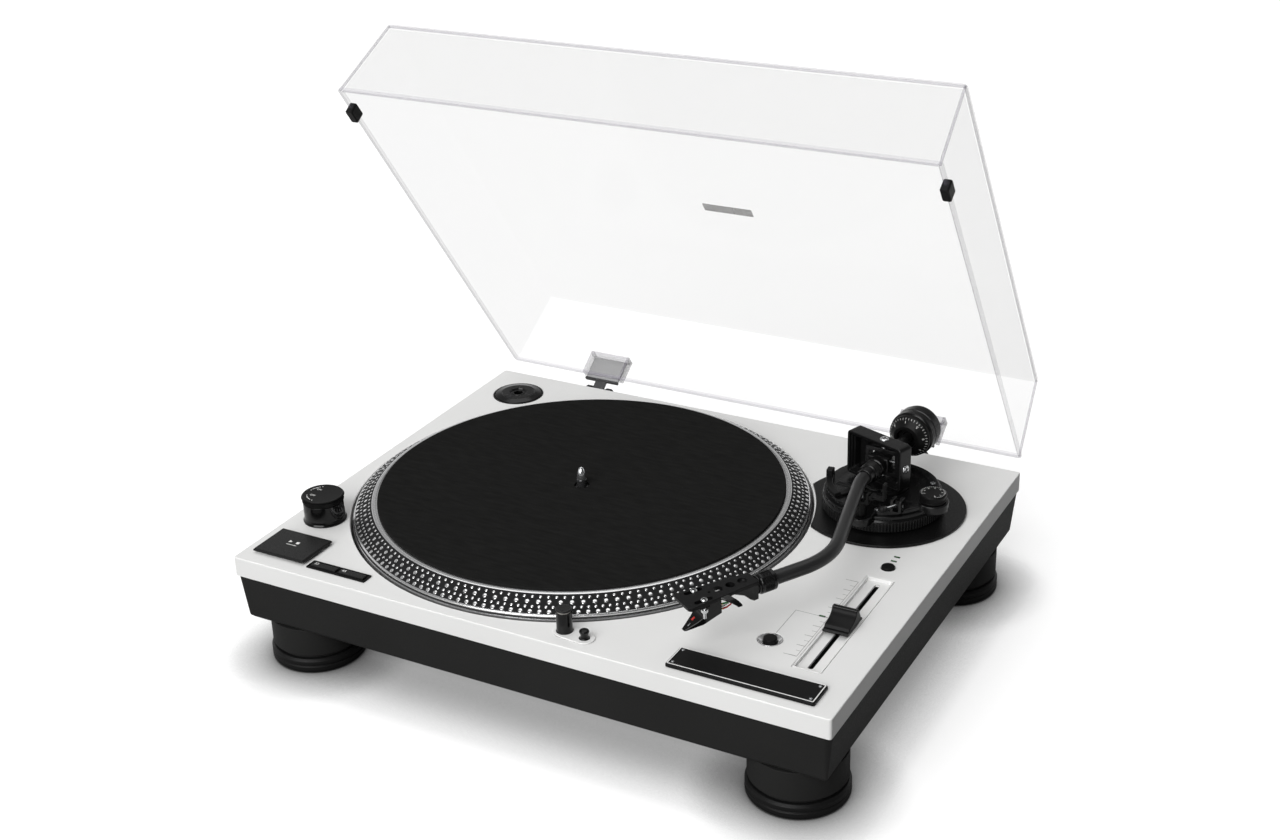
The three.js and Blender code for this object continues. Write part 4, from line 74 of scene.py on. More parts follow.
def at(x=0, y=0, z=0, turn=0):
    return Matrix.Translation((x, y, z)) @ Matrix.Rotation(math.radians(turn), 4, "Z")


def tipped(degrees, axis):
    return Matrix.Rotation(math.radians(degrees), 4, axis)


def polar(radius, degrees, x=0, y=0):
    return x + radius * math.cos(math.radians(degrees)), y + radius * math.sin(math.radians(degrees))


def put(name, data):
    """A new object in the scene, made of the given data."""
    thing = bpy.data.objects.new(name, data)
    bpy.context.scene.collection.objects.link(thing)
    return thing


def evaluated(thing):
    """The mesh that an object has once its modifiers have run."""
    return bpy.data.meshes.new_from_object(thing.evaluated_get(bpy.context.evaluated_depsgraph_get()))


def wired(tree, kind, inputs=None, **fields):
    """A new node with its fields set; each input gets a value or another node's output."""
    node = tree.nodes.new(kind)
    for field, value in fields.items():
        setattr(node, field, value)
    for key, value in (inputs or {}).items():
        if isinstance(value, bpy.types.NodeSocket):
            tree.links.new(value, node.inputs[key])
        elif value is not None:
            node.inputs[key].default_value = value
    return node


def calculated(tree, operation, *values):
    return wired(tree, "ShaderNodeMath", dict(enumerate(values)), operation=operation).outputs[0]


STILL = Matrix.Identity(4)
FORWARD = tipped(90, "X")              # a profile's height runs toward the front
SIDEWAYS = tipped(90, "Y")             # a profile's height runs to the right
SIDE_ON = tipped(90, "Z") @ tipped(90, "X")     # an outline stands upright, seen from the right
ARM_HEIGHT = 38.6
HEAD_AT = (4.3, -185, 0)               # where the shell joins the tube, along the arm
PLATTER = at(*PLATTER_AT)
PIVOT = at(*PIVOT_AT)
GIMBAL_FRAME = PIVOT @ tipped(-19.5, "Z")
ARM_YAW = at(*PIVOT_AT, ARM_HEIGHT) @ tipped(-5, "Z")
ARM = ARM_YAW @ tipped(2, "X")
HEAD = ARM @ at(*HEAD_AT) @ tipped(-27.37, "Z")
LID = at(0, *HINGE_AT[1:]) @ tipped(-54.66, "X")


# ---------------------------------------------------------------- camera

CAMERA_LENS = 51.565
CAMERA_SENSOR = 36
CAMERA_REACH = 20
CAMERA_AT = (571.043, -1009.065, 622.435)
CAMERA_TURN = (64.66600846624175, 1.749897112197506, 28.522912360163236)


def photo_camera():
    """The camera that the photograph was taken with, as far as its picture tells."""
    camera = bpy.data.cameras.new("photo_camera")
    camera.lens = CAMERA_LENS
    camera.sensor_width = CAMERA_SENSOR
    camera.clip_end = CAMERA_REACH
    stand = put("photo_camera", camera)
    stand.location = DECK_TO_ROW @ Vector(CAMERA_AT)
    stand.rotation_euler = [math.radians(a) for a in CAMERA_TURN]
    bpy.context.scene.camera = stand


photo_camera()


# ---------------------------------------------------------------- finishes

class Finish:
    """A material in the making: its nodes read the piece's own Object coordinates."""

    def __init__(self, name, colour, roughness, metallic=0.0, coat=0.0, specular=0.5):
        self.material = bpy.data.materials.new(name)
        self.material.use_nodes = True
        self.tree = self.material.node_tree
        self.shader = self.tree.nodes["Principled BSDF"]
        for socket, value in (("Base Color", (*colour, 1)), ("Roughness", roughness), ("Metallic", metallic),
                              ("Coat Weight", coat), ("Specular IOR Level", specular)):
            self.shader.inputs[socket].default_value = value
        self.place = self.tree.nodes.new("ShaderNodeTexCoord").outputs["Object"]
        self.colour = colour
        self.roughness = roughness

    def node(self, kind, inputs, output, **fields):
        return wired(self.tree, kind, inputs, **fields).outputs[output]

    def feed(self, output, socket):
        self.tree.links.new(output, self.shader.inputs[socket])

    def mapped(self, scale, middle=(0, 0, 0)):
        """The piece's coordinates, moved so that middle is zero, then scaled."""
        moved = self.node("ShaderNodeVectorMath", {0: self.place, 1: middle}, "Vector", operation="SUBTRACT")
        return self.node("ShaderNodeMapping", {"Vector": moved, "Scale": scale}, "Vector")

    def noise(self, scale, stretch=(1, 1, 1), detail=3.0):
        inputs = {"Vector": self.mapped(stretch), "Scale": scale, "Detail": detail}
        return self.node("ShaderNodeTexNoise", inputs, "Fac")

    def rings(self, middle, spacing):
        """Fine rings round an upright axis, spacing in millimetres."""
        inputs = {"Vector": self.mapped((1, 1, 1), middle), "Scale": 1000 / spacing / 20, "Distortion": 0.6,
                  "Detail": 2, "Detail Scale": 3}
        return self.node("ShaderNodeTexWave", inputs, "Fac", wave_type="RINGS", rings_direction="Z")

    def tinted(self, source, darker, lighter):
        """Base colour that wanders between a darker and a lighter tone of its own."""
        ramp = wired(self.tree, "ShaderNodeValToRGB", {"Fac": source})
        for element, position, tone in zip(ramp.color_ramp.elements, (0.3, 0.7), (darker, lighter)):
            element.position = position
            element.color = (*[min(1, c * tone) for c in self.colour], 1)
        self.feed(ramp.outputs["Color"], "Base Color")

    def rough(self, source, wander):
        inputs = {"Value": source, "From Min": 0.25, "From Max": 0.75,
                  "To Min": max(0, self.roughness - wander), "To Max": self.roughness + wander}
        self.feed(self.node("ShaderNodeMapRange", inputs, "Result"), "Roughness")

    def bumped(self, source, depth, strength=0.4):
        inputs = {"Height": source, "Distance": depth / 1000, "Strength": strength}
        self.feed(self.node("ShaderNodeBump", inputs, "Normal"), "Normal")


def grained(name, colour, roughness, grain=900, depth=0.03, tone=0.06, **more):
    """A moulded or coated surface: fine grain in its bump, slow drift in its tone and gloss."""
    finish = Finish(name, colour, roughness, **more)
    finish.tinted(finish.noise(14, detail=4), 1 - tone, 1 + tone)
    fine = finish.noise(grain, detail=2)
    finish.rough(fine, roughness * 0.18)
    finish.bumped(fine, depth)
    return finish.material


def turned_metal(name, colour, roughness, middle, spacing, **more):
    """Metal with the fine rings that a lathe leaves round its axis."""
    finish = Finish(name, colour, roughness, **more)
    grooves = finish.rings(middle, spacing)
    finish.tinted(finish.noise(20, detail=4), 0.93, 1.05)
    finish.rough(grooves, roughness * 0.22)
    finish.bumped(grooves, 0.01, 0.3)
    return finish.material


def brushed(name, colour, roughness, along=(1, 30, 30), **more):
    """Metal with fine strokes along one axis."""
    finish = Finish(name, colour, roughness, **more)
    strokes = finish.noise(60, along, detail=5)
    finish.tinted(strokes, 0.92, 1.06)
    finish.rough(strokes, roughness * 0.25)
    finish.bumped(strokes, 0.01, 0.3)
    return finish.material


def woven_felt(name, colour):
    """Matt felt: faint streaks and a fine nap."""
    finish = Finish(name, colour, 0.95, specular=0.01)
    streaks = finish.noise(70, (1, 5, 1), detail=6)
    finish.tinted(streaks, 0.84, 1.18)
    finish.bumped(finish.noise(1100, detail=5), 0.25, 0.7)
    return finish.material


def clear_acrylic(name, colour, alpha, roughness=0.04):
    """A thin clear wall: alpha is how much it hides of what is behind it."""
    finish = Finish(name, colour, roughness, specular=0.4)
    finish.shader.inputs["Alpha"].default_value = alpha
    haze = finish.noise(9, detail=3)
    finish.tinted(haze, 0.97, 1.02)
    finish.rough(haze, 0.015)
    return finish.material


def printed(name, colour):
    return grained(name, colour, 0.55, grain=600, depth=0.004, tone=0.03)


def glowing_window(name, colour, strength):
    finish = Finish(name, colour, 0.2, coat=0.5)
    finish.tinted(finish.noise(200), 0.85, 1.1)
    finish.shader.inputs["Emission Color"].default_value = (*colour, 1)
    finish.shader.inputs["Emission Strength"].default_value = strength
    return finish.material


PLATTER_MIDDLE = tuple(DECK_TO_ROW @ Vector((*PLATTER_AT, 0)))

SILVER = grained(
    "silver_coat", (0.745, 0.745, 0.737), 0.36, grain=1600, depth=0.012, tone=0.02, metallic=0.03,
    specular=0.3,
)
HOUSING = grained(
    "black_housing", (0.015, 0.015, 0.0147), 0.55, grain=1300, depth=0.05, tone=0.08, specular=0.08,
)
MOULDED = grained(
    "fine_grained_black", (0.005, 0.005, 0.005), 0.36, grain=1500, depth=0.03, tone=0.08, specular=0.12,
)
POLISHED = grained(
    "polished_black", (0.003, 0.003, 0.003), 0.14, grain=500, depth=0.003, tone=0.05, specular=0.3,
)
GUNMETAL = grained(
    "black_satin_alloy", (0.004, 0.004, 0.0041), 0.22, grain=1400, depth=0.006, tone=0.06, specular=0.32,
)
DISC_BLACK = grained(
    "black_disc", (0.004, 0.004, 0.004), 0.3, grain=1400, depth=0.004, tone=0.06, specular=0.2,
)
FELT = woven_felt("black_felt", (0.0125, 0.0125, 0.0122))
SHELL_BLACK = grained(
    "black_shell", (0.006, 0.006, 0.0062), 0.36, grain=1400, depth=0.015, tone=0.06, specular=0.12,
)
RUBBER = grained("matt_rubber", (0.006, 0.006, 0.006), 0.45, grain=1100, depth=0.04, tone=0.1, specular=0.16)
STROBE_BAND = turned_metal("strobe_band", (0.016, 0.016, 0.0164), 0.5, PLATTER_MIDDLE, 0.4, specular=0.03)
# Painted shade: near black, drawn where shade falls in hollows, slits and gaps: screw recesses, the platter's
# rim groove, round each strobe dot's foot, the gap round the lamp, the slider's pot under its slot and the
# adapter's slits.
RECESS_SHADE = grained("dot_well", (0.008, 0.008, 0.008), 0.4, grain=900, depth=0.01)
ALLOY = turned_metal("machined_alloy", (0.78, 0.78, 0.785), 0.2, PLATTER_MIDDLE, 0.3, metallic=0.9)
DOT_METAL = grained("machined_dot", (0.86, 0.86, 0.865), 0.2, grain=700, depth=0.01, tone=0.05, metallic=0.9)
PLATTER_SIDE = turned_metal("platter_side", (0.35, 0.35, 0.352), 0.3, PLATTER_MIDDLE, 0.5, metallic=0.8)
STEEL = brushed("ground_steel", (0.42, 0.43, 0.44), 0.26, metallic=0.95)
BRIGHT_STEEL = brushed("bright_steel", (0.75, 0.76, 0.77), 0.14, metallic=0.95)
DARK_STEEL = brushed("dark_steel", (0.09, 0.09, 0.092), 0.22, metallic=0.8)
SATIN_PLATE = grained(
    "satin_plate", (0.40, 0.40, 0.405), 0.42, grain=1500, depth=0.006, tone=0.03, metallic=0.55,
)
TUBE_METAL = brushed("arm_tube_alloy", (0.018, 0.018, 0.0183), 0.34, (1, 1, 8), specular=0.3)
WHITE_PRINT = printed("white_print", (0.75, 0.75, 0.74))
# Grey print for the height ring's ticks, also used for painted highlights on the pitch knob's crest.
GREY_PRINT_AND_HIGHLIGHT = printed("grey_print", (0.12, 0.12, 0.12))
DARK_PRINT = printed("dark_print", (0.30, 0.30, 0.295))
KEY_GREY = grained("key_grey", (0.012, 0.012, 0.012), 0.3, grain=1200, depth=0.01, specular=0.25)
ACRYLIC = clear_acrylic("clear_acrylic", (0.26, 0.255, 0.24), 0.11)
# Painted light and shade: a copy of the acrylic for the left wall, darker than the other walls, and for the
# left and rear top edges, lighter than the other edges.
ACRYLIC_LEFT_SHADE_REAR_LIGHT = clear_acrylic("acrylic_left", (0.26, 0.255, 0.24), 0.1)
ACRYLIC_EDGE = clear_acrylic("acrylic_edge", (0.30, 0.28, 0.34), 0.26, 0.12)
# Painted reflection: the walls get a lighter, clearer copy of the acrylic than the top.
ACRYLIC_WALL_REFLECTION = clear_acrylic("acrylic_side", (0.34, 0.335, 0.33), 0.045)
FROSTED = clear_acrylic("frosted_patch", (0.30, 0.298, 0.29), 0.5, 0.5)
# Painted highlight: a much lighter copy of the acrylic for the hinge pockets' front walls.
POCKET_HIGHLIGHT = clear_acrylic("pocket_acrylic", (0.72, 0.72, 0.72), 0.22)
RED_PRINT = printed("red_dot", (0.45, 0.02, 0.015))
RED_LEAD = grained("red_lead", (0.42, 0.02, 0.015), 0.45, grain=900, depth=0.01)
GREEN_LEAD = grained("green_lead", (0.02, 0.2, 0.05), 0.45, grain=900, depth=0.01)
WHITE_LEAD = grained("white_lead", (0.7, 0.7, 0.68), 0.45, grain=900, depth=0.01)
BLUE_LEAD = grained("blue_lead", (0.02, 0.05, 0.3), 0.45, grain=900, depth=0.01)
GOLD_PIN = brushed("gold_pin", (0.75, 0.5, 0.2), 0.25, metallic=0.95)
COPPER = brushed("enamelled_copper", (0.45, 0.18, 0.06), 0.35, (1, 1, 40), metallic=0.8)
FERRITE = grained("bare_ferrite", (0.045, 0.043, 0.043), 0.6, grain=500, depth=0.08, tone=0.15)
BOARD = grained("green_board", (0.02, 0.10, 0.045), 0.4, grain=400, depth=0.02, tone=0.2)
LAMINATION = brushed("core_laminations", (0.26, 0.26, 0.27), 0.45, (2, 2, 60), metallic=0.8)
RED_GLASS = glowing_window("strobe_window", (0.22, 0.012, 0.01), 0.05)
LAMP_GLASS = glowing_window("lamp_window", (0.30, 0.29, 0.27), 0.05)
GREEN_LAMP = glowing_window("green_indicator", (0.05, 0.16, 0.05), 0.1)


# ---------------------------------------------------------------- outlines and profiles

def eased(points, closed=False, steps=4):
    """Rounds a profile's corners: a corner's third value is the radius that it gets."""
    drawn = []
    count = len(points)
    for i, point in enumerate(points):
        corner = Vector(point[:2])
        radius = point[2] if len(point) > 2 else 0
        if not radius or (not closed and i in (0, count - 1)):
            drawn.append(corner)
            continue
        before = Vector(points[i - 1][:2]) - corner
        after = Vector(points[(i + 1) % count][:2]) - corner
        half = before.angle(after) / 2
        reach = min(radius / math.tan(half), before.length * 0.48, after.length * 0.48)
        start = corner + before.normalized() * reach
        end = corner + after.normalized() * reach
        for step in range(steps + 1):
            t = step / steps
            drawn.append(start * (1 - t) ** 2 + corner * 2 * t * (1 - t) + end * t ** 2)
    return drawn


def quarter_rounds(corners, radius, steps):
    """A quarter round at each corner, given as its middle and the angle that it starts at."""
    return [polar(radius, start + 90 * i / steps, x, y) for x, y, start in corners for i in range(steps + 1)]


def rounded(width, depth, radius, steps=6, sharpest=0.05):
    """A rectangle with round corners; grow moves its outline outward."""
    def outline(grow=0):
        r = max(radius + grow, sharpest)
        x, y = width / 2 + grow - r, depth / 2 + grow - r
        return quarter_rounds([(x, y, 0), (-x, y, 90), (-x, -y, 180), (x, -y, 270)], r, steps)
    return outline


def round_outline(radius, steps=48):
    return lambda grow=0: [
        ((radius + grow) * math.cos(math.tau * i / steps), (radius + grow) * math.sin(math.tau * i / steps))
        for i in range(steps)
    ]


def cornered(points, ease=0.0, steps=4):
    """A straight-sided outline, its corners eased; grow moves each side outward."""
    area = sum(a[0] * b[1] - b[0] * a[1] for a, b in zip(points, points[1:] + points[:1]))
    ring = points if area > 0 else points[::-1]

    def outline(grow=0):
        moved = []
        for i, point in enumerate(ring):
            here = Vector(point[:2])
            come = (here - Vector(ring[i - 1][:2])).normalized()
            go = (Vector(ring[(i + 1) % len(ring)][:2]) - here).normalized()
            out_a, out_b = Vector((come.y, -come.x)), Vector((go.y, -go.x))
            shift = (out_a + out_b) / max(0.35, 1 + out_a.dot(out_b))
            own = point[2] if len(point) > 2 else ease
            moved.append((*(here + shift * grow), own))
        return [tuple(p) for p in eased(moved, True, steps)]
    return outline


def tongue(end_x, end_y, radius, width, steps=20):
    """From the middle to a round end at another place: a strip of the given width and a half circle."""
    reach = math.hypot(end_x, end_y)
    aim = math.atan2(end_y, end_x)

    def outline(grow=0):
        r = radius + grow
        ring = [polar(r, -90 + 180 * i / steps, reach) for i in range(steps + 1)]
        ring = [(0, -width / 2 - grow)] + ring + [(0, width / 2 + grow)]
        c, s = math.cos(aim), math.sin(aim)
        return [(x * c - y * s, x * s + y * c) for x, y in ring]
    return outline


def arc_band(outer, inner, start, end, steps=20):
    """A strip of a ring, between two radii and two angles."""
    def outline(grow=0):
        lap = math.degrees(grow / outer)
        turn = [start - lap + (end - start + 2 * lap) * i / steps for i in range(steps + 1)]
        return [polar(outer + grow, a) for a in turn] + [polar(inner - grow, a) for a in turn[::-1]]
    return outline


# ---------------------------------------------------------------- one piece and its mesh

SHARP_FROM = 38                        # edges steeper than this, in degrees, stay sharp


class Piece:
    """One piece in the making: a mesh in millimetres and the finishes that it is painted with."""

    def __init__(self, name):
        self.name = name
        self.mesh = bmesh.new()
        self.finishes = []
        self.holes = []
        self.overlapping = False           # set where the shapes run into each other and a hole is cut

    def paint(self, finish):
        if finish not in self.finishes:
            self.finishes.append(finish)
        return self.finishes.index(finish)

    def face(self, corners, paint):
        try:
            self.mesh.faces.new(corners).material_index = paint
        except ValueError:
            pass

    def skin(self, loops, finish, place=STILL, closed=False, ends=True):
        """A skin over loops of equally many points, capped at both ends or joined into a ring."""
        paint = self.paint(finish)
        rows = [[self.mesh.verts.new(place @ Vector(point)) for point in loop] for loop in loops]
        for low, high in list(zip(rows, rows[1:])) + ([(rows[-1], rows[0])] if closed else []):
            for i in range(len(low)):
                j = (i + 1) % len(low)
                self.face((low[i], low[j], high[j], high[i]), paint)
        if ends and not closed:
            self.face(rows[0][::-1], paint)
            self.face(rows[-1], paint)

    def turned(self, profile, finish, place=STILL, closed=False, steps=64):
        """A profile of (radius, height) turned round the upright axis."""
        turns = [math.tau * i / steps for i in range(steps)]
        loops = [[(r * math.cos(t), r * math.sin(t), z) for t in turns] for r, z in eased(profile, closed)]
        self.skin(loops, finish, place, closed, ends=False)

    def pressed(self, outline, levels, finish, place=STILL, closed=False):
        """An outline carried through levels of (grow, height)."""
        loops = [[(x, y, z) for x, y in outline(grow)] for grow, z in eased(levels, closed)]
        self.skin(loops, finish, place, closed)

    def slab(self, outline, low, high, finish, place=STILL, ease=0.3, foot=0.0):
        """A flat piece with its upper edge eased, and its lower edge where foot is given."""
        levels = [(-foot, low), (0, low + foot), (0, high - ease)] if foot else [(0, low), (0, high - ease)]
        arc = [(-ease * (1 - math.cos(math.radians(a))), high - ease + ease * math.sin(math.radians(a)))
               for a in (22.5, 45, 67.5, 90)]
        self.pressed(outline, levels + arc, finish, place)

    def rod(self, points, radius, finish, place=STILL, steps=12):
        """A round rod along a path; radius is one size or a size for each point."""
        path = [Vector(point) for point in points]
        sizes = radius if isinstance(radius, (list, tuple)) else [radius] * len(path)
        along = (path[1] - path[0]).normalized()
        side = along.orthogonal().normalized()
        loops = []
        for i, point in enumerate(path):
            before = (point - path[i - 1]).normalized() if i else along
            after = (path[i + 1] - point).normalized() if i + 1 < len(path) else before
            aim = (before + after).normalized()
            side = (side - aim * side.dot(aim)).normalized()
            other = aim.cross(side)
            turns = [math.tau * k / steps for k in range(steps)]
            loops.append([point + (side * math.cos(t) + other * math.sin(t)) * sizes[i] for t in turns])
        self.skin(loops, finish, place)

    def lofted(self, stations, finish, place=STILL, ease=0.8, steps=4):
        """A bar drawn from back to front: each station is y, half its width, its low and its high."""
        loops = []
        for y, half, low, high in stations:
            r = min(ease, half * 0.6, (high - low) * 0.45)
            corners = [(half - r, high - r, 0), (r - half, high - r, 90), (r - half, low + r, 180),
                       (half - r, low + r, 270)]
            loops.append([(x, y, z) for x, z in quarter_rounds(corners, r, steps)])
        self.skin(loops, finish, place)

    def add(self, mesh, finish, place=STILL):
        """Takes in a mesh made by other means, painted with one finish."""
        taken = bmesh.new()
        taken.from_mesh(mesh)
        taken.transform(place)
        if place.determinant() < 0:
            bmesh.ops.reverse_faces(taken, faces=taken.faces)
        paint = self.paint(finish)
        for face in taken.faces:
            face.material_index = paint
        taken.to_mesh(mesh)
        taken.free()
        self.mesh.from_mesh(mesh)
        bpy.data.meshes.remove(mesh)

    def plug(self, radius, low, high, finish, place=STILL, steps=64):
        """A plain round plug between two heights."""
        self.turned([(0, low), (radius, low), (radius, high), (0, high)], finish, place, steps=steps)

    def hole(self, cutter):
        """Another piece's closed shape, taken out of this one."""
        self.holes.append(cutter)

    def plain(self):
        """The finished mesh as an object at the origin, in metres."""
        bmesh.ops.remove_doubles(self.mesh, verts=self.mesh.verts, dist=0.002)
        bmesh.ops.dissolve_degenerate(self.mesh, edges=self.mesh.edges, dist=0.0005)
        bmesh.ops.recalc_face_normals(self.mesh, faces=self.mesh.faces)
        self.mesh.transform(DECK_TO_ROW)
        data = bpy.data.meshes.new(self.name)
        self.mesh.to_mesh(data)
        self.mesh.free()
        for finish in self.finishes:
            data.materials.append(finish)
        thing = put(self.name, data)
        cutters = [cutter.plain() for cutter in self.holes]
        for cutter in cutters:
            taken = thing.modifiers.new("hole", "BOOLEAN")
            taken.operation = "DIFFERENCE"
            taken.solver = "EXACT"
            taken.use_self = self.overlapping
            taken.object = cutter
        if cutters:
            settle(thing)
        for cutter in cutters:
            bpy.data.objects.remove(cutter)
        thing.data.polygons.foreach_set("use_smooth", [True] * len(thing.data.polygons))
        thing.data.set_sharp_from_angle(angle=math.radians(SHARP_FROM))
        even = thing.modifiers.new("even_shading", "WEIGHTED_NORMAL")
        even.keep_sharp = True
        even.weight = 60
        settle(thing)
        return thing

    def made(self, body, slot, *stands_for):
        thing = self.plain()
        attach(thing, body)
        if stands_for:
            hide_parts(*stands_for)
        return thing


def settle(thing):
    """Makes a piece's modifiers part of its mesh."""
    finished = evaluated(thing)
    thing.modifiers.clear()
    worn = thing.data
    thing.data = finished
    finished.name = thing.name
    bpy.data.meshes.remove(worn)


# ---------------------------------------------------------------- rows that repeat

def row_tree(name, round_row):
    """Copies of one small item, round a ring or along a line, each tree with named sizes."""
    tree = bpy.data.node_groups.new(name, "GeometryNodeTree")
    sizes = [("Item", "Object"), ("Count", "Int"), ("Finish", "Material")]
    if round_row:
        sizes += [(size, "Float") for size in ("Radius", "Height", "Start", "Step", "Lean")]
    else:
        sizes += [("First", "Vector"), ("Apart", "Vector")]
    for label, kind in sizes:
        tree.interface.new_socket(label, in_out="INPUT", socket_type="NodeSocket" + kind)
    tree.interface.new_socket("Geometry", in_out="OUTPUT", socket_type="NodeSocketGeometry")
    given = tree.nodes.new("NodeGroupInput").outputs

    def node(kind, inputs=None, output=0, **fields):
        return wired(tree, kind, inputs, **fields).outputs[output]

    def across(turning, angle):
        return calculated(tree, "MULTIPLY", calculated(tree, turning, angle), given["Radius"])

    index = node("GeometryNodeInputIndex")
    shape = node("GeometryNodeObjectInfo", {"Object": given["Item"]}, "Geometry")
    turn = None
    if round_row:
        angle = calculated(tree, "ADD", calculated(tree, "MULTIPLY", index, given["Step"]), given["Start"])
        place = node("ShaderNodeCombineXYZ", {
            0: across("COSINE", angle), 1: across("SINE", angle), 2: given["Height"],
        })
        lean = node("ShaderNodeCombineXYZ", {1: given["Lean"]})
        shape = node("GeometryNodeTransform", {"Geometry": shape, "Rotation": lean}, "Geometry")
        turn = node("ShaderNodeCombineXYZ", {2: angle})
    else:
        step = node("ShaderNodeVectorMath", {0: given["Apart"], "Scale": index}, operation="SCALE")
        place = node("ShaderNodeVectorMath", {0: step, 1: given["First"]})
    points = node("GeometryNodePoints", {"Count": given["Count"], "Position": place})
    copies = node("GeometryNodeInstanceOnPoints", {"Points": points, "Instance": shape, "Rotation": turn})
    real = node("GeometryNodeRealizeInstances", {0: copies})
    painted = node("GeometryNodeSetMaterial", {"Geometry": real, "Material": given["Finish"]})
    wired(tree, "NodeGroupOutput", {0: painted})
    return tree


RING_ROW = row_tree("ring_row", True)
LINE_ROW = row_tree("line_row", False)


def item(draw):
    """A small shape to be repeated, drawn by the given lines in millimetres."""
    small = Piece("item")
    draw(small)
    bmesh.ops.remove_doubles(small.mesh, verts=small.mesh.verts, dist=0.002)
    bmesh.ops.recalc_face_normals(small.mesh, faces=small.mesh.faces)
    data = bpy.data.meshes.new("item")
    small.mesh.to_mesh(data)
    small.mesh.free()
    return put("item", data)


def row(tree, small, finish, **sizes):
    """Runs a row's tree once and gives its plain mesh, still in millimetres."""
    holder = put("row", bpy.data.meshes.new("row"))
    run = holder.modifiers.new("row", "NODES")
    run.node_group = tree
    wanted = {"Item": small, "Finish": finish, **sizes}
    for socket in tree.interface.items_tree:
        if socket.in_out == "INPUT":
            run[socket.identifier] = wanted[socket.name]
    mesh = evaluated(holder)
    holder.modifiers.clear()
    bpy.data.objects.remove(holder)
    return mesh


def ring_row(piece, small, finish, count, radius, height, place=STILL, start=0.0, sweep=360.0, lean=0.0):
    """Copies round a ring, or along an arc of it; the small shape is used up."""
    step = math.radians(sweep) / (count if sweep >= 360 else max(1, count - 1))
    piece.add(row(RING_ROW, small, finish, Count=count, Radius=float(radius), Height=float(height),
                  Start=math.radians(start), Step=step, Lean=math.radians(lean)), finish, place)
    bpy.data.objects.remove(small)


def line_row(piece, small, finish, count, first, apart, place=STILL):
    """Copies along a straight line; the small shape is used up."""
    piece.add(row(LINE_ROW, small, finish, Count=count, First=Vector(first), Apart=Vector(apart)), finish,
              place)
    bpy.data.objects.remove(small)


def block_item(length, width, height, ease=0.0):
    """A small block to be repeated: a rib, a tick or a line."""
    outline = rounded(length, width, ease, 2) if ease else rounded(length, width, 0.02, 1)
    return item(lambda p: p.slab(outline, -0.05, height, WHITE_PRINT, ease=ease or height * 0.3))


def words(piece, text, size, finish, place):
    """Plain digits or words as a thin print."""
    curve = bpy.data.curves.new("print", "FONT")
    curve.body = text
    curve.size = size
    curve.extrude = 0.04
    curve.align_x = "CENTER"
    curve.align_y = "CENTER"
    curve.resolution_u = 3
    holder = put("print", curve)
    mesh = evaluated(holder)
    bpy.data.objects.remove(holder)
    piece.add(mesh, finish, place)


def cross_screw(piece, radius, height, place, finish):
    """A domed screw head with a cross recess."""
    arm = radius * 0.62
    slot = radius * 0.17
    piece.turned([
        (0, 0), (radius, 0), (radius, height * 0.5, radius * 0.25), (radius * 0.75, height), (0, height),
    ], finish, place, steps=28)
    # Painted shade: the cross recess is two dark slabs laid on the head, not cut into it.
    for turn in (0, 90):
        piece.slab(rounded(arm * 2, slot * 2, slot * 0.5, 2), height - 0.02, height + 0.05, RECESS_SHADE,
                   place @ tipped(turn + 20, "Z"), ease=0.02)


# ---------------------------------------------------------------- plinth

WELL_RADIUS = 168
COLUMN_BORE = 19.4                     # round the arm's column, in the plate, the disc and the ring


def top_plate():
    plate = Piece("silver_plate")
    plate.pressed(rounded(450, 354, 2, 8), [
        (-9, -3), (-3, -3, 0.5), (-3, -14.5), (0, -14.5, 0.3), (0, 0, 0.9), (-9, 0),
    ], SILVER)
    openings = Piece("openings")

    def bore(middle, radius, edge=0.3, steps=48):
        openings.turned([
            (0, -6), (radius, -6), (radius, -edge), (radius + edge, 0.01), (radius + edge, 4), (0, 4),
        ], SILVER, at(*middle), steps=steps)

    def slot(middle, width, depth, edge=0.25):
        openings.pressed(rounded(width, depth, 0.6, 3), [
            (0, -6), (0, -edge), (edge, 0.01), (edge, 4),
        ], SILVER, at(*middle))

    bore(PLATTER_AT, WELL_RADIUS, 0.5, 160)
    for middle, radius in ((ADAPTER_AT, 20.6), (POWER_AT, 9.3), (LAMP_AT, 7.3), (LAMP_KEY_AT, 3.8),
                           (QUARTZ_AT, 8.3), (RESET_AT, 5), (PIVOT_AT, COLUMN_BORE)):
        bore(middle, radius)
    slot(START_KEY_AT, 33, 22.8)
    slot(SPEED_KEYS_AT, 47.6, 8.4)
    slot(SLIDER_AT, 20, 123.3)
    plate.hole(openings)
    plate.made("chassis", "silver", "top_plate")
    well = Piece("platter_well")
    well.turned([(10.9, -22), (WELL_RADIUS, -22, 1.2), (WELL_RADIUS, -2.9), (170.5, -2.9), (170.5, -24.5),
                 (10.9, -24.5)], SILVER, PLATTER, closed=True, steps=160)
    well.made("chassis", "silver", "top_plate")


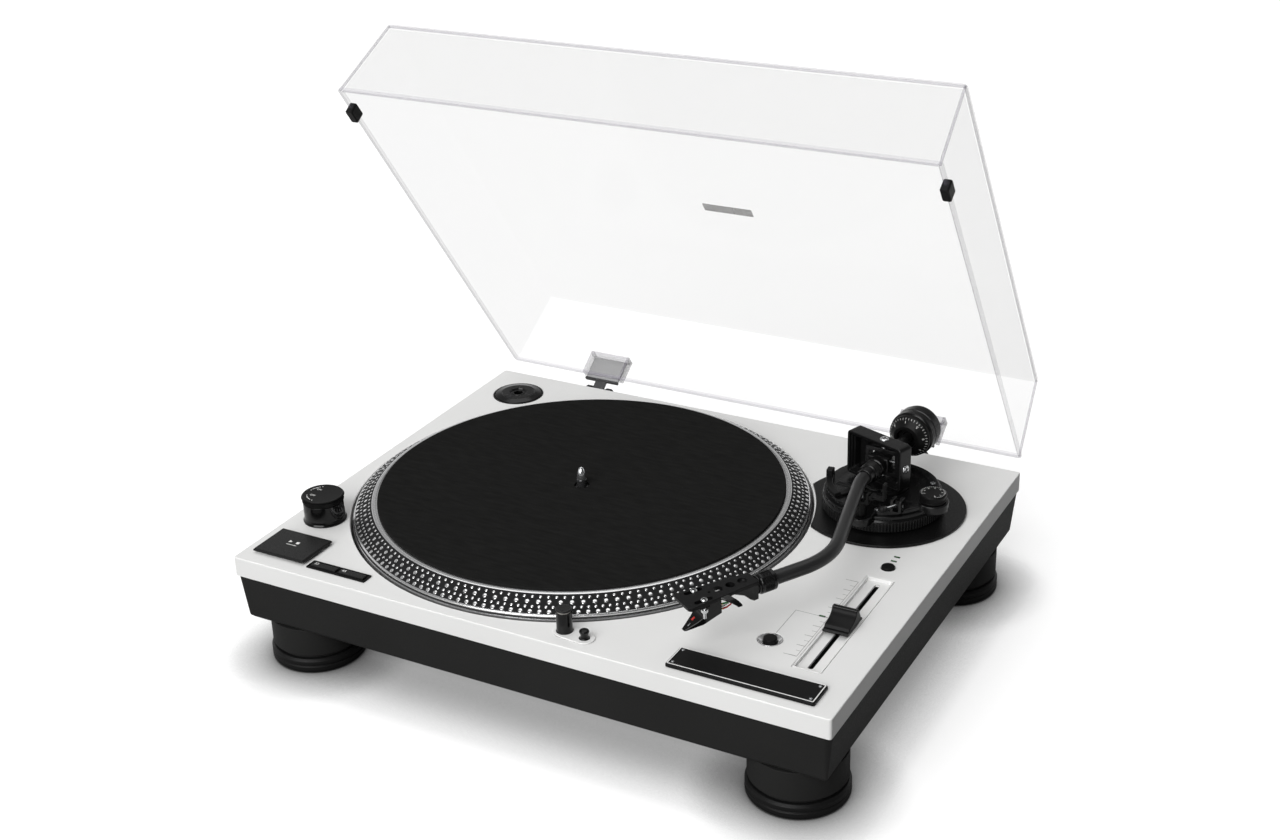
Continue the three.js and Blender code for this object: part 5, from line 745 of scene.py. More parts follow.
def deck_marks():
    """The pitch scale, its zero line and the small indicators, as thin prints on the plate."""
    marks = Piece("deck_marks")
    # Each row of lines: length, width, how many, the first one's middle and the step to the next.
    for length, width, count, first, step in (
        (3.2, 0.36, 17, (176.6, -22.6, 0), (0, -6.25, 0)),      # short ticks of the scale
        (5.4, 0.42, 9, (175.5, -22.6, 0), (0, -12.5, 0)),       # long ticks
        (0.36, 100.2, 1, (178.4, -72.6, 0), (1, 0, 0)),         # the line beside them
        (9.2, 0.4, 2, (173.9, -22.5, 0), (0, -100.3, 0)),       # its ends
        (22.4, 0.42, 1, (166.8, -72.7, 0), (1, 0, 0)),          # the zero line
        (0.42, 30.6, 1, (155.6, -87.9, 0), (1, 0, 0)),          # and its leg toward the round key
    ):
        line_row(marks, block_item(length, width, 0.05), DARK_PRINT, count, first, step)
    marks.made("chassis", "silver")
    lamps = Piece("deck_indicators")
    for x, y in ((173.9, -72.5), (189.3, 13.3), (189.3, 19.4)):
        lamps.slab(rounded(4.2, 1.5, 0.2, 2), 0.02, 0.35, POLISHED, at(x, y), 0.1)
        lamps.slab(rounded(3.4, 0.8, 0.1, 2), 0.3, 0.42, GREEN_LAMP, at(x, y), 0.05)
    lamps.made("chassis", "dark_plastic")


def lower_housing():
    housing = Piece("black_housing")
    housing.pressed(rounded(448.8, 352.8, 5, 8), [
        (-4, -14.8), (0, -14.8, 0.4), (-3.4, -47.3, 3), (-6.4, -50.3, 1), (-15.4, -50.3, 0.4), (-15.4, -47.3),
        (-7.4, -47.3),
    ], HOUSING, closed=True)
    opening = Piece("inlet_opening")
    opening.slab(rounded(26.6, 30, 0.3, 2), -32.4 - 9.5, -32.4 + 9.5, HOUSING, at(-178, 172), ease=0.1)
    housing.hole(opening)
    housing.made("chassis", "black_housing", "base_housing")


def foot(name, body, x, y):
    place = at(x, y, FLOOR_Z)
    foot_piece = Piece("screw_" + name)
    foot_piece.turned([
        (0, 0), (32.2, 0, 0.6), (33.8, 1.7, 1.2), (33.8, 5.0, 0.8), (33.0, 5.6, 0.3), (33.0, 6.2, 0.3),
        (33.8, 6.8, 0.8), (33.8, 9.3, 1.2), (32.2, 11, 0.8), (29.5, 11.05), (0, 11.05),
    ], RUBBER, place, steps=96)
    foot_piece.turned([(0, 10.6), (29.8, 10.6), (29.8, 13.6, 0.3), (32.4, 13.6, 0.6), (32.4, 34.4, 0.6),
                       (5, 34.4), (5, 49.4, 0.6), (0, 49.4)], HOUSING, place, steps=96)
    foot_piece.made(body, "rubber", name)


# ---------------------------------------------------------------- platter

def platter():
    dish = Piece("platter_dish")
    steps = 200
    dish.turned([(5.5, 11), (5.5, -4), (22, -4, 1), (22, 7, 2), (149.2, 7, 4), (162, -1.1, 3),
                 (162, -12, 0.4), (166, -12, 0.5), (166, -0.4)], PLATTER_SIDE, PLATTER, steps=steps)
    dish.turned([(166, -0.4), (166, 0.3), (165.7, 0.6)], ALLOY, PLATTER, steps=steps)
    # Painted shade in the small groove round the rim.
    dish.turned([(165.7, 0.6), (165.3, 0.8), (165.3, 1.5), (165.1, 1.6)], RECESS_SHADE, PLATTER, steps=steps)
    dish.turned([(165.1, 1.6), (165.1, 2.4), (164.7, 2.9), (164.2, 3.22)], ALLOY, PLATTER, steps=steps)
    dish.turned([(164.2, 3.22), (151.8, 11.22)], STROBE_BAND, PLATTER, steps=steps)
    dish.turned([
        (151.8, 11.22), (151.2, 11.6), (149.2, 11.6), (149.2, 11), (5.5, 11),
    ], ALLOY, PLATTER, steps=steps)
    dish.made("rotor", "cast_alloy", "platter")


def strobe_dots():
    """Four rows of raised dots on the sloping rim, each with painted shade in a dark ring round its foot."""
    dots = Piece("strobe_dots")
    lean = math.degrees(math.atan2(8.7, 13.5))

    def dot(size):
        return item(lambda p: p.turned([
            (size / 2, -0.05), (size / 2, 0.1), (size * 0.4, 0.22), (0, 0.26),
        ], WHITE_PRINT, steps=10))

    def rim(size):
        return item(lambda p: p.turned([
            (size / 2, -0.05), (size / 2, 0.035), (0, 0.035),
        ], WHITE_PRINT, steps=10))

    for count, size, slant in ((180, 1.8, 3.0), (133, 2.75, 6.6), (216, 1.8, 10.2), (160, 2.75, 13.7)):
        share = slant / 16.06
        radius = 151.2 + 13.5 * share
        height = 11.6 - 8.7 * share
        head, ring = dot(size), rim(size * 1.4)
        # Painted shade: a thin dark disc under each dot.
        ring_row(dots, ring, RECESS_SHADE, count, radius, height, PLATTER, lean=lean)
        ring_row(dots, head, DOT_METAL, count, radius, height, PLATTER, lean=lean)
    dots.made("rotor", "cast_alloy")


def slipmat():
    mat = Piece("felt_slipmat")
    mat.turned([(5.5, 11.3), (147.8, 11.3, 0.3), (147.8, 13, 0.9), (120, 12.95), (90, 13), (60, 12.95),
                (30, 13), (5.5, 13, 0.4)], FELT, PLATTER, closed=True, steps=200)
    mat.made("rotor", "felt", "slipmat")


def spindle():
    pin = Piece("spindle_pin")
    pin.turned([(0, -39), (3.55, -39, 0.4), (3.55, -4.05), (5.2, -4.05), (5.2, 11.3, 0.3), (3.55, 11.3),
                (3.55, 17.4, 0.3), (3.2, 17.8)], DARK_STEEL, PLATTER, steps=40)
    pin.turned([(3.2, 17.8), (3.5, 18.2, 0.3), (3.46, 19.6), (3.2, 21.6), (2.7, 23.5), (2.0, 25.3),
                (1.1, 26.6), (0.4, 26.95), (0, 27)], BRIGHT_STEEL, PLATTER, steps=40)
    pin.made("rotor", "steel", "spindle")


# ---------------------------------------------------------------- controls on the deck

POWER = at(*POWER_AT)


def power_tower():
    tower = Piece("power_tower_body")
    tower.turned([
        (0, -6), (9, -6), (9, 0.3), (15.6, 0.3, 0.2), (15.6, 1.1, 0.5), (14.9, 2.0, 1.2), (14.6, 3.6, 2),
        (14.6, 15.2, 0.3), (9, 15.2), (9, 19.4, 0.2), (0, 19.4),
    ], POLISHED, POWER, steps=72)
    window = Piece("window_opening")
    facing = math.degrees(math.atan2(103.5, 154.5))
    window.slab(
        rounded(6, 9, 0.5, 3), 7.2, 15.3, POLISHED, POWER @ tipped(facing, "Z") @ at(14.6, 0), ease=0.3,
    )
    tower.hole(window)
    tower.made("chassis", "gloss_black", "power_tower")
    glass = Piece("strobe_window_glass")
    glass.slab(rounded(1, 8.4, 0.2, 3), 7.5, 15, RED_GLASS, POWER @ tipped(facing, "Z") @ at(12.2, 0),
               ease=0.2, foot=0.2)
    glass.made("chassis", "gloss_black")


def power_ring():
    ring = Piece("power_switch_ring")
    ring.turned([
        (9.4, 15.6), (14.7, 15.6, 0.2), (14.7, 19.1, 0.2), (14.9, 19.3, 0.2), (14.9, 19.8, 0.3),
        (14.2, 20.2, 0.1), (13.6, 20.0), (0, 20.0), (0, 19.6), (9.4, 19.6),
    ], MOULDED, POWER, closed=True, steps=72)
    rib = block_item(0.45, 0.55, 3.1)
    ring_row(ring, rib, MOULDED, 72, 14.72, 15.85, POWER)
    for degrees in (150, 240):
        ring.slab(arc_band(11.4, 10.9, degrees - 16, degrees + 16, 12), 19.98, 20.06, WHITE_PRINT, POWER,
                  ease=0.02)
    for degrees in (126, 174, 216, 264):
        ring.slab(round_outline(0.45, 12), 19.98, 20.06, WHITE_PRINT, POWER @ at(*polar(11.1, degrees)),
                  ease=0.02)
    words(ring, "ON", 2.6, WHITE_PRINT, POWER @ at(-6.2, 4.4, 20.03, 0))
    words(ring, "OFF", 2.6, WHITE_PRINT, POWER @ at(-5.2, -4.8, 20.03, 0))
    ring.made("power_switch", "gloss_black", "power_ring")


def start_key():
    key = Piece("start_stop_key")
    place = at(*START_KEY_AT)
    key.slab(rounded(32.2, 22, 0.6, 2), -7, 1.8, MOULDED, place, ease=0.1)
    key.pressed(rounded(44.2, 34, 1.3, 5), [
        (-6, 1.7), (0, 1.7, 0.2), (0, 2.2, 0.2), (-1.3, 3.4, 0.25), (-7, 3.4),
    ], KEY_GREY, place)
    key.slab(cornered([(-1.6, -1.5), (1.2, 0), (-1.6, 1.5)]), 3.38, 3.43, WHITE_PRINT, place @ at(-3.2, 2.6),
             ease=0.02)
    key.slab(rounded(2.6, 2.6, 0.1, 2), 3.38, 3.43, WHITE_PRINT, place @ at(2.6, 2.6), ease=0.02)
    key.slab(rounded(8.6, 0.5, 0.1, 2), 3.38, 3.43, WHITE_PRINT, place @ at(-0.2, -1.2), ease=0.02)
    key.made("start_stop", "dark_plastic", "start_stop_button")


def speed_keys():
    bezel = Piece("speed_key_bezel")
    place = at(*SPEED_KEYS_AT)
    bezel.pressed(rounded(49, 9.8, 0.8, 4), [
        (-1, -4), (-1, 0.3), (0, 0.3, 0.1), (0, 0.95, 0.25), (-0.9, 0.95, 0.1), (-1.1, 0.5, 0.1), (-1.3, 0.5),
    ], MOULDED, place)
    opening = Piece("key_openings")
    for x in (-11.65, 11.65):
        opening.slab(rounded(21.7, 5.8, 0.4, 3), -5, 2, MOULDED, place @ at(x), ease=0.1)
    bezel.hole(opening)
    bezel.made("chassis", "silver", "speed_bezel")
    for x, digits in ((-11.65, "33"), (11.65, "45")):
        key = Piece("button_%s_key" % digits)
        key.slab(rounded(20.9, 5.0, 0.5, 4), -7, 1.9, KEY_GREY, place @ at(x), ease=0.7)
        words(key, digits, 3.6, WHITE_PRINT, place @ at(x - 6.9, 0.2, 1.92))
        key.made("speed_" + digits, "dark_plastic", "button_" + digits)


def target_lamp():
    place = at(*LAMP_AT)
    lamp = Piece("target_lamp_body")
    lamp.turned([
        (0, -5), (5.4, -5), (5.4, 0.6, 0.3), (5.3, 1.6, 0.3), (5.3, 15.4, 0.15), (4.7, 15.4),
    ], POLISHED, place)
    lamp.turned([(4.7, 15.4), (4.7, 16.5)], LAMP_GLASS, place)
    lamp.turned([
        (4.7, 16.5), (5.35, 16.5, 0.15), (5.35, 17.1, 0.3), (4.8, 17.6, 0.2), (4.3, 17.45, 0.2), (0, 17.45),
    ], KEY_GREY, place)
    lamp.made("lamp", "gloss_black", "target_lamp")
    key = Piece("lamp_key_pin")
    key.turned([
        (0, -7), (3.4, -7), (3.4, 0.6, 0.3), (2.9, 1.5, 0.8), (2.5, 2.9, 1.5), (2.9, 4.6, 1),
        (3.35, 5.6, 0.5), (3.1, 6.6, 0.8), (1.8, 7.35, 1.2), (0, 7.5),
    ], POLISHED, at(*LAMP_KEY_AT), steps=36)
    key.made("lamp_key", "gloss_black", "lamp_button")

    def capsule(grow=0):
        ends = [(LAMP_AT, 7.6 + grow, 90), (LAMP_KEY_AT, 6.8 + grow, 270)]
        return [polar(r, start + 7.5 * i, *middle) for middle, r, start in ends for i in range(25)]

    bezel = Piece("lamp_bezel_plate")
    bezel.slab(capsule, 0.3, 1.0, SILVER, ease=0.3)
    # Painted shade: a dark sleeve in the gap round the lamp.
    bezel.turned([(5.8, 0.35), (5.8, -12), (7.0, -12), (7.0, 0.35)], RECESS_SHADE, place, closed=True)
    opening = Piece("lamp_openings")
    opening.plug(5.75, -0.5, 3, SILVER, place)
    opening.plug(3.75, -0.5, 3, SILVER, at(*LAMP_KEY_AT), 36)
    bezel.hole(opening)
    bezel.made("chassis", "silver", "lamp_bezel")


def round_keys():
    place = at(*QUARTZ_AT)
    ring = Piece("quartz_key_ring")
    ring.turned([
        (5, -3), (8, -3), (8, 0.0, 0.2), (7.5, 0.0, 0.3), (5.6, -1.6, 0.3), (5, -1.6, 0.1),
    ], ALLOY, place, closed=True, steps=72)
    ring.made("chassis", "silver", "quartz_ring")
    for name, body, where in (("quartz_button", "quartz_key", place),
                              ("reset_button", "reset_key", at(*RESET_AT))):
        key = Piece(name + "_key")
        key.turned([(0, -7), (4.6, -7), (4.6, 1.0, 0.4), (4.2, 1.4, 0.3), (0, 1.4)], MOULDED, where, steps=48)
        key.made(body, "dark_plastic", name)


def pitch_slider():
    place = at(*SLIDER_AT)
    tray = Piece("slider_tray")
    tray.pressed(rounded(19.4, 122.7, 0.3, 3), [
        (-3, -4), (0, -4), (0, 0, 0.25), (-1.2, 0, 0.3), (-1.2, -2.4, 0.5), (-4, -2.4),
    ], SILVER, place)
    opening = Piece("slider_slot")
    opening.slab(rounded(3.6, 112, 1.2, 5), -5, 0, SILVER, place, ease=0.1)
    tray.hole(opening)
    tray.made("chassis", "silver", "slider_track")
    # The pot under the slot: its own dark colour, and painted shade under the slot in the recess finish.
    pot = Piece("slider_pot")
    pot.pressed(rounded(12, 116, 0.4, 2), [
        (-4.2, -13), (0, -13), (0, -4.05), (-1.6, -4.05), (-1.6, -11), (-4.2, -11),
    ], RECESS_SHADE, place)
    pot.made("chassis", "dark_plastic")

    knob = Piece("slider_knob_cap")
    upright = place @ SIDE_ON
    arc = [(-13 + 11.7 * math.sin(math.radians(a)),
            4.3 + 6.7 * (1 - math.cos(math.radians(a)))) for a in range(6, 90, 7)]
    side = cornered([
        (-15.2, 1.9, 0.2), (-14.2, 1.95, 0.6), (-13, 4.1, 0.5),
    ] + arc + [(-1.3, 11, 0.35), (1.3, 11, 0.35), (5.8, 2.6, 1), (6.6, 1.9, 0.2)], steps=3)
    knob.pressed(side, [(-0.35, -8.7), (0, -8.35), (0, 8.35), (-0.35, 8.7)], MOULDED, upright)
    knob.slab(cornered([(-8.75, -17), (8.75, -17), (8.75, 7.5), (-8.75, 7.5)], 0.4), 0.5, 1.95, POLISHED,
              place, ease=0.4, foot=0.2)
    knob.slab(cornered([(-8.5, -16.4), (8.5, -16.4), (8.5, -12.6), (-8.5, -12.6)], 0.3), 1.8, 2.3, POLISHED,
              place, ease=0.3)
    knob.slab(rounded(2.6, 7, 0.2, 2), -8.5, 0.6, STEEL, place, ease=0.05)
    # Painted highlight: two grey lines along the front and back edges of the crest.
    for y in (-1.5, 1.2):
        knob.slab(rounded(16.8, 0.32, 0.1, 2), 10.94, 11.03, GREY_PRINT_AND_HIGHLIGHT, place @ at(0, y), ease=0.02)
    knob.made("pitch_slider", "gloss_black", "slider_knob")


def name_plate():
    plate = Piece("bare_name_plate")
    place = at(160.2, -158)
    outline = rounded(100.5, 22, 1.6, 5)
    plate.pressed(outline, [
        (-2, 0.3), (0, 0.3, 0.1), (0, 1.9, 0.2), (-0.8, 2.7, 0.2), (-3, 2.7),
    ], MOULDED, place)
    plate.pressed(outline, [
        (-0.9, 2.6), (-0.9, 2.76), (-1.6, 2.76), (-1.6, 2.6),
    ], WHITE_PRINT, place, closed=True)
    for y in (7.2, -7.2):
        rivet = item(lambda p: p.turned([
            (1.15, 0), (1.1, 0.25), (0.7, 0.5), (0, 0.6),
        ], WHITE_PRINT, steps=14))
        line_row(plate, rivet, STEEL, 2, (-46.4, y, 2.6), (92.8, 0, 0), place)
    plate.made("chassis", "black_alloy", "name_plate")


def adapter_and_dish():
    place = at(*ADAPTER_AT)
    dish = Piece("adapter_recess")
    dish.turned([
        (0, -7), (20.3, -7), (20.3, 0.3, 0.2), (19.3, 0.3, 0.3), (19.3, -6, 0.8), (0, -6),
    ], MOULDED, place, steps=72)
    dish.made("chassis", "black_housing", "adapter_dish")
    centre = Piece("record_adapter")
    centre.turned([
        (3.75, -5.7), (18.9, -5.7, 0.3), (18.9, 0.5, 0.4), (13.6, 1.6, 0.5), (13.2, 1.35), (12.9, 1.6, 0.2),
        (7.4, 1.6, 0.3), (7, 0.6, 0.4), (5.2, 0.6, 0.2), (5.0, 1.0, 0.2), (3.75, 1.0, 0.3),
    ], POLISHED, place, closed=True, steps=72)
    # Painted shade: the three slits are dark lines laid on the top, not cut.
    split = item(lambda p: p.slab(rounded(5.6, 0.35, 0.05, 1), 0, 0.06, WHITE_PRINT, ease=0.02))
    ring_row(centre, split, RECESS_SHADE, 3, 10.2, 1.56, place, start=115)
    centre.made("centre_adapter", "black_alloy", "adapter")


# ---------------------------------------------------------------- tonearm base

def arm_disc():
    disc = Piece("arm_base_disc")
    disc.slab(round_outline(59.3, 160), 0.3, 2.1, DISC_BLACK, PIVOT, ease=0.5)
    opening = Piece("disc_openings")
    opening.plug(COLUMN_BORE, -1, 4, DISC_BLACK, PIVOT)
    opening.plug(169.2, -1, 4, DISC_BLACK, PLATTER, 200)
    disc.hole(opening)
    disc.made("chassis", "black_metal", "arm_disc")


def height_ring():
    ring = Piece("height_adjusting_ring")
    ring.turned([(COLUMN_BORE, 2.4), (42, 2.4, 0.4), (43.0, 3.6, 0.4), (43.0, 11.2, 0.4), (42, 12.4, 0.4),
                 (COLUMN_BORE, 12.4)], GUNMETAL, PIVOT, closed=True, steps=128)
    rib = block_item(0.8, 1.0, 6.6, 0.2)
    ring_row(ring, rib, KEY_GREY, 120, 43.0, 4.1, PIVOT)
    tick = block_item(1.6, 0.3, 0.06)
    ring_row(ring, tick, GREY_PRINT_AND_HIGHLIGHT, 61, 41.0, 12.4, PIVOT, start=150, sweep=150)
    ring.made("height_control", "black_alloy", "height_ring")


def arm_casting():
    casting = Piece("arm_base_casting")
    casting.turned([
        (0, -18), (19, -18, 0.5), (19, 12.8), (42, 12.7, 0.2), (42, 15.1, 0.6), (40, 15.1), (40, 18.7, 0.8),
        (33, 18.7), (32.6, 18.4), (28, 18.4), (27.6, 18.7), (0, 18.7),
    ], GUNMETAL, PIVOT, steps=128)
    casting.slab(tongue(*ANTI_SKATE_AT, 11.2, 22.4), 12.72, 18.65, GUNMETAL, PIVOT, ease=0.7, foot=0.3)
    casting.slab(tongue(*REST_AT, 7.5, 15), 12.74, 18.6, GUNMETAL, PIVOT, ease=0.7, foot=0.3)
    lift = PIVOT @ at(*LIFT_AT)
    casting.turned([
        (2.4, 18), (4.5, 18), (4.5, 22.7, 0.4), (2.4, 22.7, 0.2),
    ], GUNMETAL, lift, closed=True, steps=36)
    block = PIVOT @ at(*CUE_AT)
    for side in (-1, 1):
        casting.slab(rounded(2.1, 8, 0.3, 2), 18, 27.7, GUNMETAL, block @ at(side * 2.95), ease=0.5)
    casting.slab(rounded(8, 8, 0.3, 2), 18, 19.1, GUNMETAL, block, ease=0.1)
    casting.rod([(-4.2, 0, 22.5), (4.2, 0, 22.5)], 1.1, STEEL, block, steps=16)
    bore = Piece("lift_bore")
    bore.plug(2.3, 12, 24, GUNMETAL, lift, 36)
    casting.hole(bore)
    casting.overlapping = True
    casting.made("arm_column", "black_alloy", "arm_base")
    screws = Piece("arm_base_screws")
    for x, y in ((10, -36), (31, 17), (-29, 16)):
        cross_screw(screws, 1.8, 0.7, PIVOT @ at(x, y, 18.6), STEEL)
    screws.made("arm_column", "steel")


def lock_lever():
    lever = Piece("height_lock_arm")
    lever.slab(arc_band(40.5, 35.5, 186.5, 235.5, 24), 19.1, 22.1, MOULDED, PIVOT, ease=0.6, foot=0.3)
    lever.slab(rounded(5, 6, 0.8, 3), 21, 27.1, MOULDED, PIVOT @ tipped(186, "Z") @ at(38, 3), ease=0.8)
    lever.turned([
        (14.6, 19.1), (18, 19.1), (18, 20.5, 0.3), (14.6, 20.5, 0.2),
    ], MOULDED, PIVOT, closed=True, steps=64)
    lever.slab(rounded(21, 5.9, 0.4, 2), 19.12, 20.45, MOULDED, PIVOT @ tipped(236, "Z") @ at(27.4, -3),
               ease=0.3)
    lever.made("height_lock", "dark_plastic", "height_lock_lever")


def anti_skate():
    place = PIVOT @ at(*ANTI_SKATE_AT)
    dial = Piece("anti_skate_knob")
    dial.turned([(0, 19), (9.2, 19, 0.3), (9.0, 20.2, 0.5), (9.6, 23.6, 1), (9.6, 24.6, 0.3),
                 (8.9, 25.3, 0.3), (8.6, 25.15), (0, 25.15)], MOULDED, place, steps=72)
    rib = block_item(0.5, 0.45, 3.4, 0.1)
    ring_row(dial, rib, MOULDED, 60, 9.15, 20.4, place)
    tick = block_item(1.0, 0.24, 0.06)
    ring_row(dial, tick, WHITE_PRINT, 29, 8.1, 25.15, place, start=-60, sweep=280)
    for step, digit in enumerate("01234567"):
        angle = -60 + 40 * step
        words(dial, digit, 1.9, WHITE_PRINT, place @ at(*polar(6.3, angle), 25.17, angle - 90))
    dial.made("anti_skate", "dark_plastic", "anti_skate_dial")


def arm_rest():
    place = PIVOT @ at(*REST_AT)
    rest = Piece("arm_rest_cradle")
    rest.turned([
        (0, 19), (3, 19, 0.2), (3, 24, 0.5), (2.6, 25), (2.6, 28.8), (0, 28.8),
    ], MOULDED, place, steps=32)
    upright = place @ FORWARD
    side = cornered([(-6, 28.55, 0.5), (6, 28.55, 0.6), (6, 36.55, 0.6), (4, 36.55, 0.4), (4, 31.6, 1.4),
                     (3, 30.6, 0.8), (-4.4, 30.55, 0.6), (-6, 30.5, 0.4)], steps=4)
    rest.pressed(side, [(-0.3, -2.5), (0, -2.2), (0, 2.2), (-0.3, 2.5)], MOULDED, upright)
    rest.made("arm_column", "dark_plastic", "arm_rest")
    clip = Piece("arm_rest_hook")
    turn = place @ at(8.2, 0, 34.65)
    clip.rod([(0, -2.5, 0), (0, 2.5, 0)], 1.9, MOULDED, turn, steps=24)
    hook = cornered([(0, -0.8, 0.1), (9.4, -0.8, 0.9), (9.4, 12, 0.6), (7.8, 12, 0.5), (7.8, 1.6, 0.9),
                     (7.0, 0.8, 0.6), (0, 0.8, 0.1)], steps=4)
    clip.pressed(hook, [(-0.25, -2.5), (0, -2.25), (0, 2.25), (-0.25, 2.5)], MOULDED, turn @ FORWARD)
    clip.made("rest_clip", "dark_plastic", "arm_rest_clip")


def cue_lift():
    block = PIVOT @ at(*CUE_AT, 22.5)
    lever = Piece("cue_arm")
    lever.turned([(0, -1.5), (3, -1.5, 0.2), (3, 1.5, 0.2), (0, 1.5)], MOULDED, block @ SIDEWAYS, steps=32)
    slope = math.atan2(9, 24)
    ahead = Vector((0, -math.cos(slope), math.sin(slope)))
    lever.rod([ahead * d for d in (0.5, 9, 18, 25.4)], [1.25, 1.2, 1.15, 1.15], BRIGHT_STEEL, block, steps=16)
    grip = [(25.0, 0.9), (25.3, 1.7), (26.0, 2.2), (28, 2.35), (31, 2.4), (33, 2.25), (33.5, 1.5),
            (33.6, 0.3)]
    lever.rod([ahead * d for d, _ in grip], [r for _, r in grip], MOULDED, block, steps=24)
    lever.made("cue", "dark_plastic", "cue_lever")
    lift = Piece("cue_lift_bar")
    place = PIVOT @ at(*LIFT_AT)
    lift.turned([(0, 18.7), (2, 18.7), (2, 31, 0.1), (0, 31)], STEEL, place, steps=32)
    bar = place @ tipped(-5, "Z") @ at(-6.5)
    lift.slab(rounded(26, 3.4, 1.6, 6), 29.76, 31.5, RUBBER, bar, ease=0.5, foot=0.2)
    line = item(lambda p: p.slab(rounded(0.5, 3.0, 0.1, 2), 0, 0.22, WHITE_PRINT, ease=0.1))
    line_row(lift, line, RUBBER, 22, (-11, 0, 31.48), (1.05, 0, 0), bar)
    lift.made("lift", "dark_plastic", "cue_platform")


# ---------------------------------------------------------------- gimbal and arm

FRAME_MIDDLE = 37.8                    # height of the middle of the frame's window


def gimbal():
    frame_piece = Piece("gimbal_frame_casting")
    upright = GIMBAL_FRAME @ at(-4.75, 0, FRAME_MIDDLE) @ FORWARD
    frame_piece.pressed(rounded(49.5, 33.6, 3, 6, 1.5), [
        (0, 5.9, 0.9), (0, -5.9, 0.9), (-5, -5.9, 0.3), (-5, 2.6, 0.2), (-3.6, 2.6, 0.2), (-3.6, 4.3, 0.2),
        (-2.2, 4.3, 0.1), (-2.2, 5.9, 0.4),
    ], GUNMETAL, upright, closed=True)
    for width, depth in ((9.6, 0), (7.4, -1.3)):
        frame_piece.pressed(rounded(width, 24.2 - (9.6 - width), 1, 4), [
            (-0.4, 3.4 + depth), (0, 3.8 + depth), (0, 5.3 + depth), (-0.4, 5.7 + depth),
        ], GUNMETAL, GIMBAL_FRAME @ at(-20.2, 0, FRAME_MIDDLE) @ FORWARD @ tipped(180, "Y"))
    frame_piece.turned([
        (0, 19), (14, 19, 0.3), (14, 20, 0.4), (13.2, 20.5, 0.3), (13.2, 21.4, 0.3), (0, 21.4),
    ], GUNMETAL, GIMBAL_FRAME, steps=64)
    cross_screw(frame_piece, 3.2, 1.1, GIMBAL_FRAME @ at(0, 0, 54.5), BRIGHT_STEEL)
    cross_screw(frame_piece, 3.2, 1.1, GIMBAL_FRAME @ at(19.9, 0, FRAME_MIDDLE) @ SIDEWAYS, BRIGHT_STEEL)
    cross_screw(frame_piece, 1.3, 0.5, GIMBAL_FRAME @ at(-12, -9.5, 18.9), BRIGHT_STEEL)
    frame_piece.made("arm_column", "black_alloy", "gimbal_frame")

    ring = Piece("gimbal_swing_ring")
    ring.pressed(rounded(26, 20, 1.5, 5, 1.2), [
        (0, 3.5, 0.5), (0, -3.5, 0.5), (-3, -3.5, 0.4), (-3, 3.5, 0.4),
    ], GUNMETAL, ARM_YAW @ FORWARD, closed=True)
    ring.turned([(0, 9.9), (2, 9.9), (2, 10.3, 0.1), (1.2, 10.7), (0, 10.7)], BRIGHT_STEEL, ARM_YAW, steps=24)
    ring.turned([
        (0, -12.3), (1.2, -12.3), (2, -11.8, 0.1), (2, -9.9), (0, -9.9),
    ], BRIGHT_STEEL, ARM_YAW, steps=24)
    for side in (-1, 1):
        cross_screw(ring, 1.6, 0.4, ARM_YAW @ at(side * 12.8) @ tipped(90 * side, "Y"), STEEL)
    ring.made("arm_yaw", "black_alloy", "gimbal_ring")

    block = Piece("arm_pivot_block")
    block.slab(rounded(15, 18, 1.6, 5), -5.6, 5.6, GUNMETAL, ARM, ease=0.9, foot=0.8)
    ahead = ARM @ FORWARD
    block.turned([
        (0, 8.6), (6.6, 8.6), (6.9, 9.2, 0.3), (6.9, 14.4, 0.3), (6.2, 14.9), (6.2, 15.6), (6.9, 16.1, 0.3),
        (6.9, 23.4, 0.5), (6.3, 24, 0.2), (5.9, 24.1), (5.9, 30, 0.7), (0, 30),
    ], GUNMETAL, ahead, steps=56)
    block.turned([(6.92, 17.2), (7.0, 17.5), (7.0, 22.2), (6.92, 22.5)], KEY_GREY, ahead, steps=56)
    block.turned([
        (0, -8.6), (6.6, -8.6), (7, -9.1, 0.2), (7, -16, 0.6), (4.2, -18.1, 0.3), (4.2, -68, 0.6), (0, -68),
    ], GUNMETAL, ahead, steps=56)
    block.rod([(-9.7, 0, 0), (9.7, 0, 0)], 1.5, BRIGHT_STEEL, ARM, steps=20)
    block.made("arm_pitch", "black_alloy", "pivot_block")


def arm_tube():
    def onward(a, b, distance):
        return a + (b - a).normalized() * distance

    start, first, second, joint = (Vector(p) for p in (
        (0, -30.3, 0), (0, -36, 0), (30.8, -133.8, 0), HEAD_AT,
    ))
    bends = [(onward(first, start, 5.13), first, onward(first, second, 9)),
             (onward(second, first, 23), second, onward(second, joint, 23))]
    path = [start]
    for enter, corner, leave in bends:
        for step in range(17):
            t = step / 16
            path.append(enter * (1 - t) ** 2 + corner * 2 * t * (1 - t) + leave * t ** 2)
    path.append(onward(joint, second, 12.6))
    tube = Piece("s_shaped_arm_tube")
    tube.rod(path, 4.72, TUBE_METAL, ARM, steps=40)
    tube.made("arm_pitch", "dark_tube", "arm_tube")


def lock_collar():
    collar = Piece("headshell_lock_ring")
    ahead = HEAD @ FORWARD
    collar.turned([(0, -0.3), (6.3, -0.3), (7.0, -1.0, 0.3), (7.0, -2.4, 0.1), (6.6, -2.6), (6.6, -9.0),
                   (7.0, -9.2, 0.1), (7.0, -11.3, 0.3), (6.3, -12), (0, -12)], GUNMETAL, ahead, steps=56)
    rib = item(lambda p: p.slab(rounded(0.5, 0.42, 0.1, 1), 0, 6.2, WHITE_PRINT, ease=0.15))
    ring_row(collar, rib, GUNMETAL, 52, 6.72, -8.9, ahead)
    collar.made("shell_lock", "black_alloy", "lock_collar")


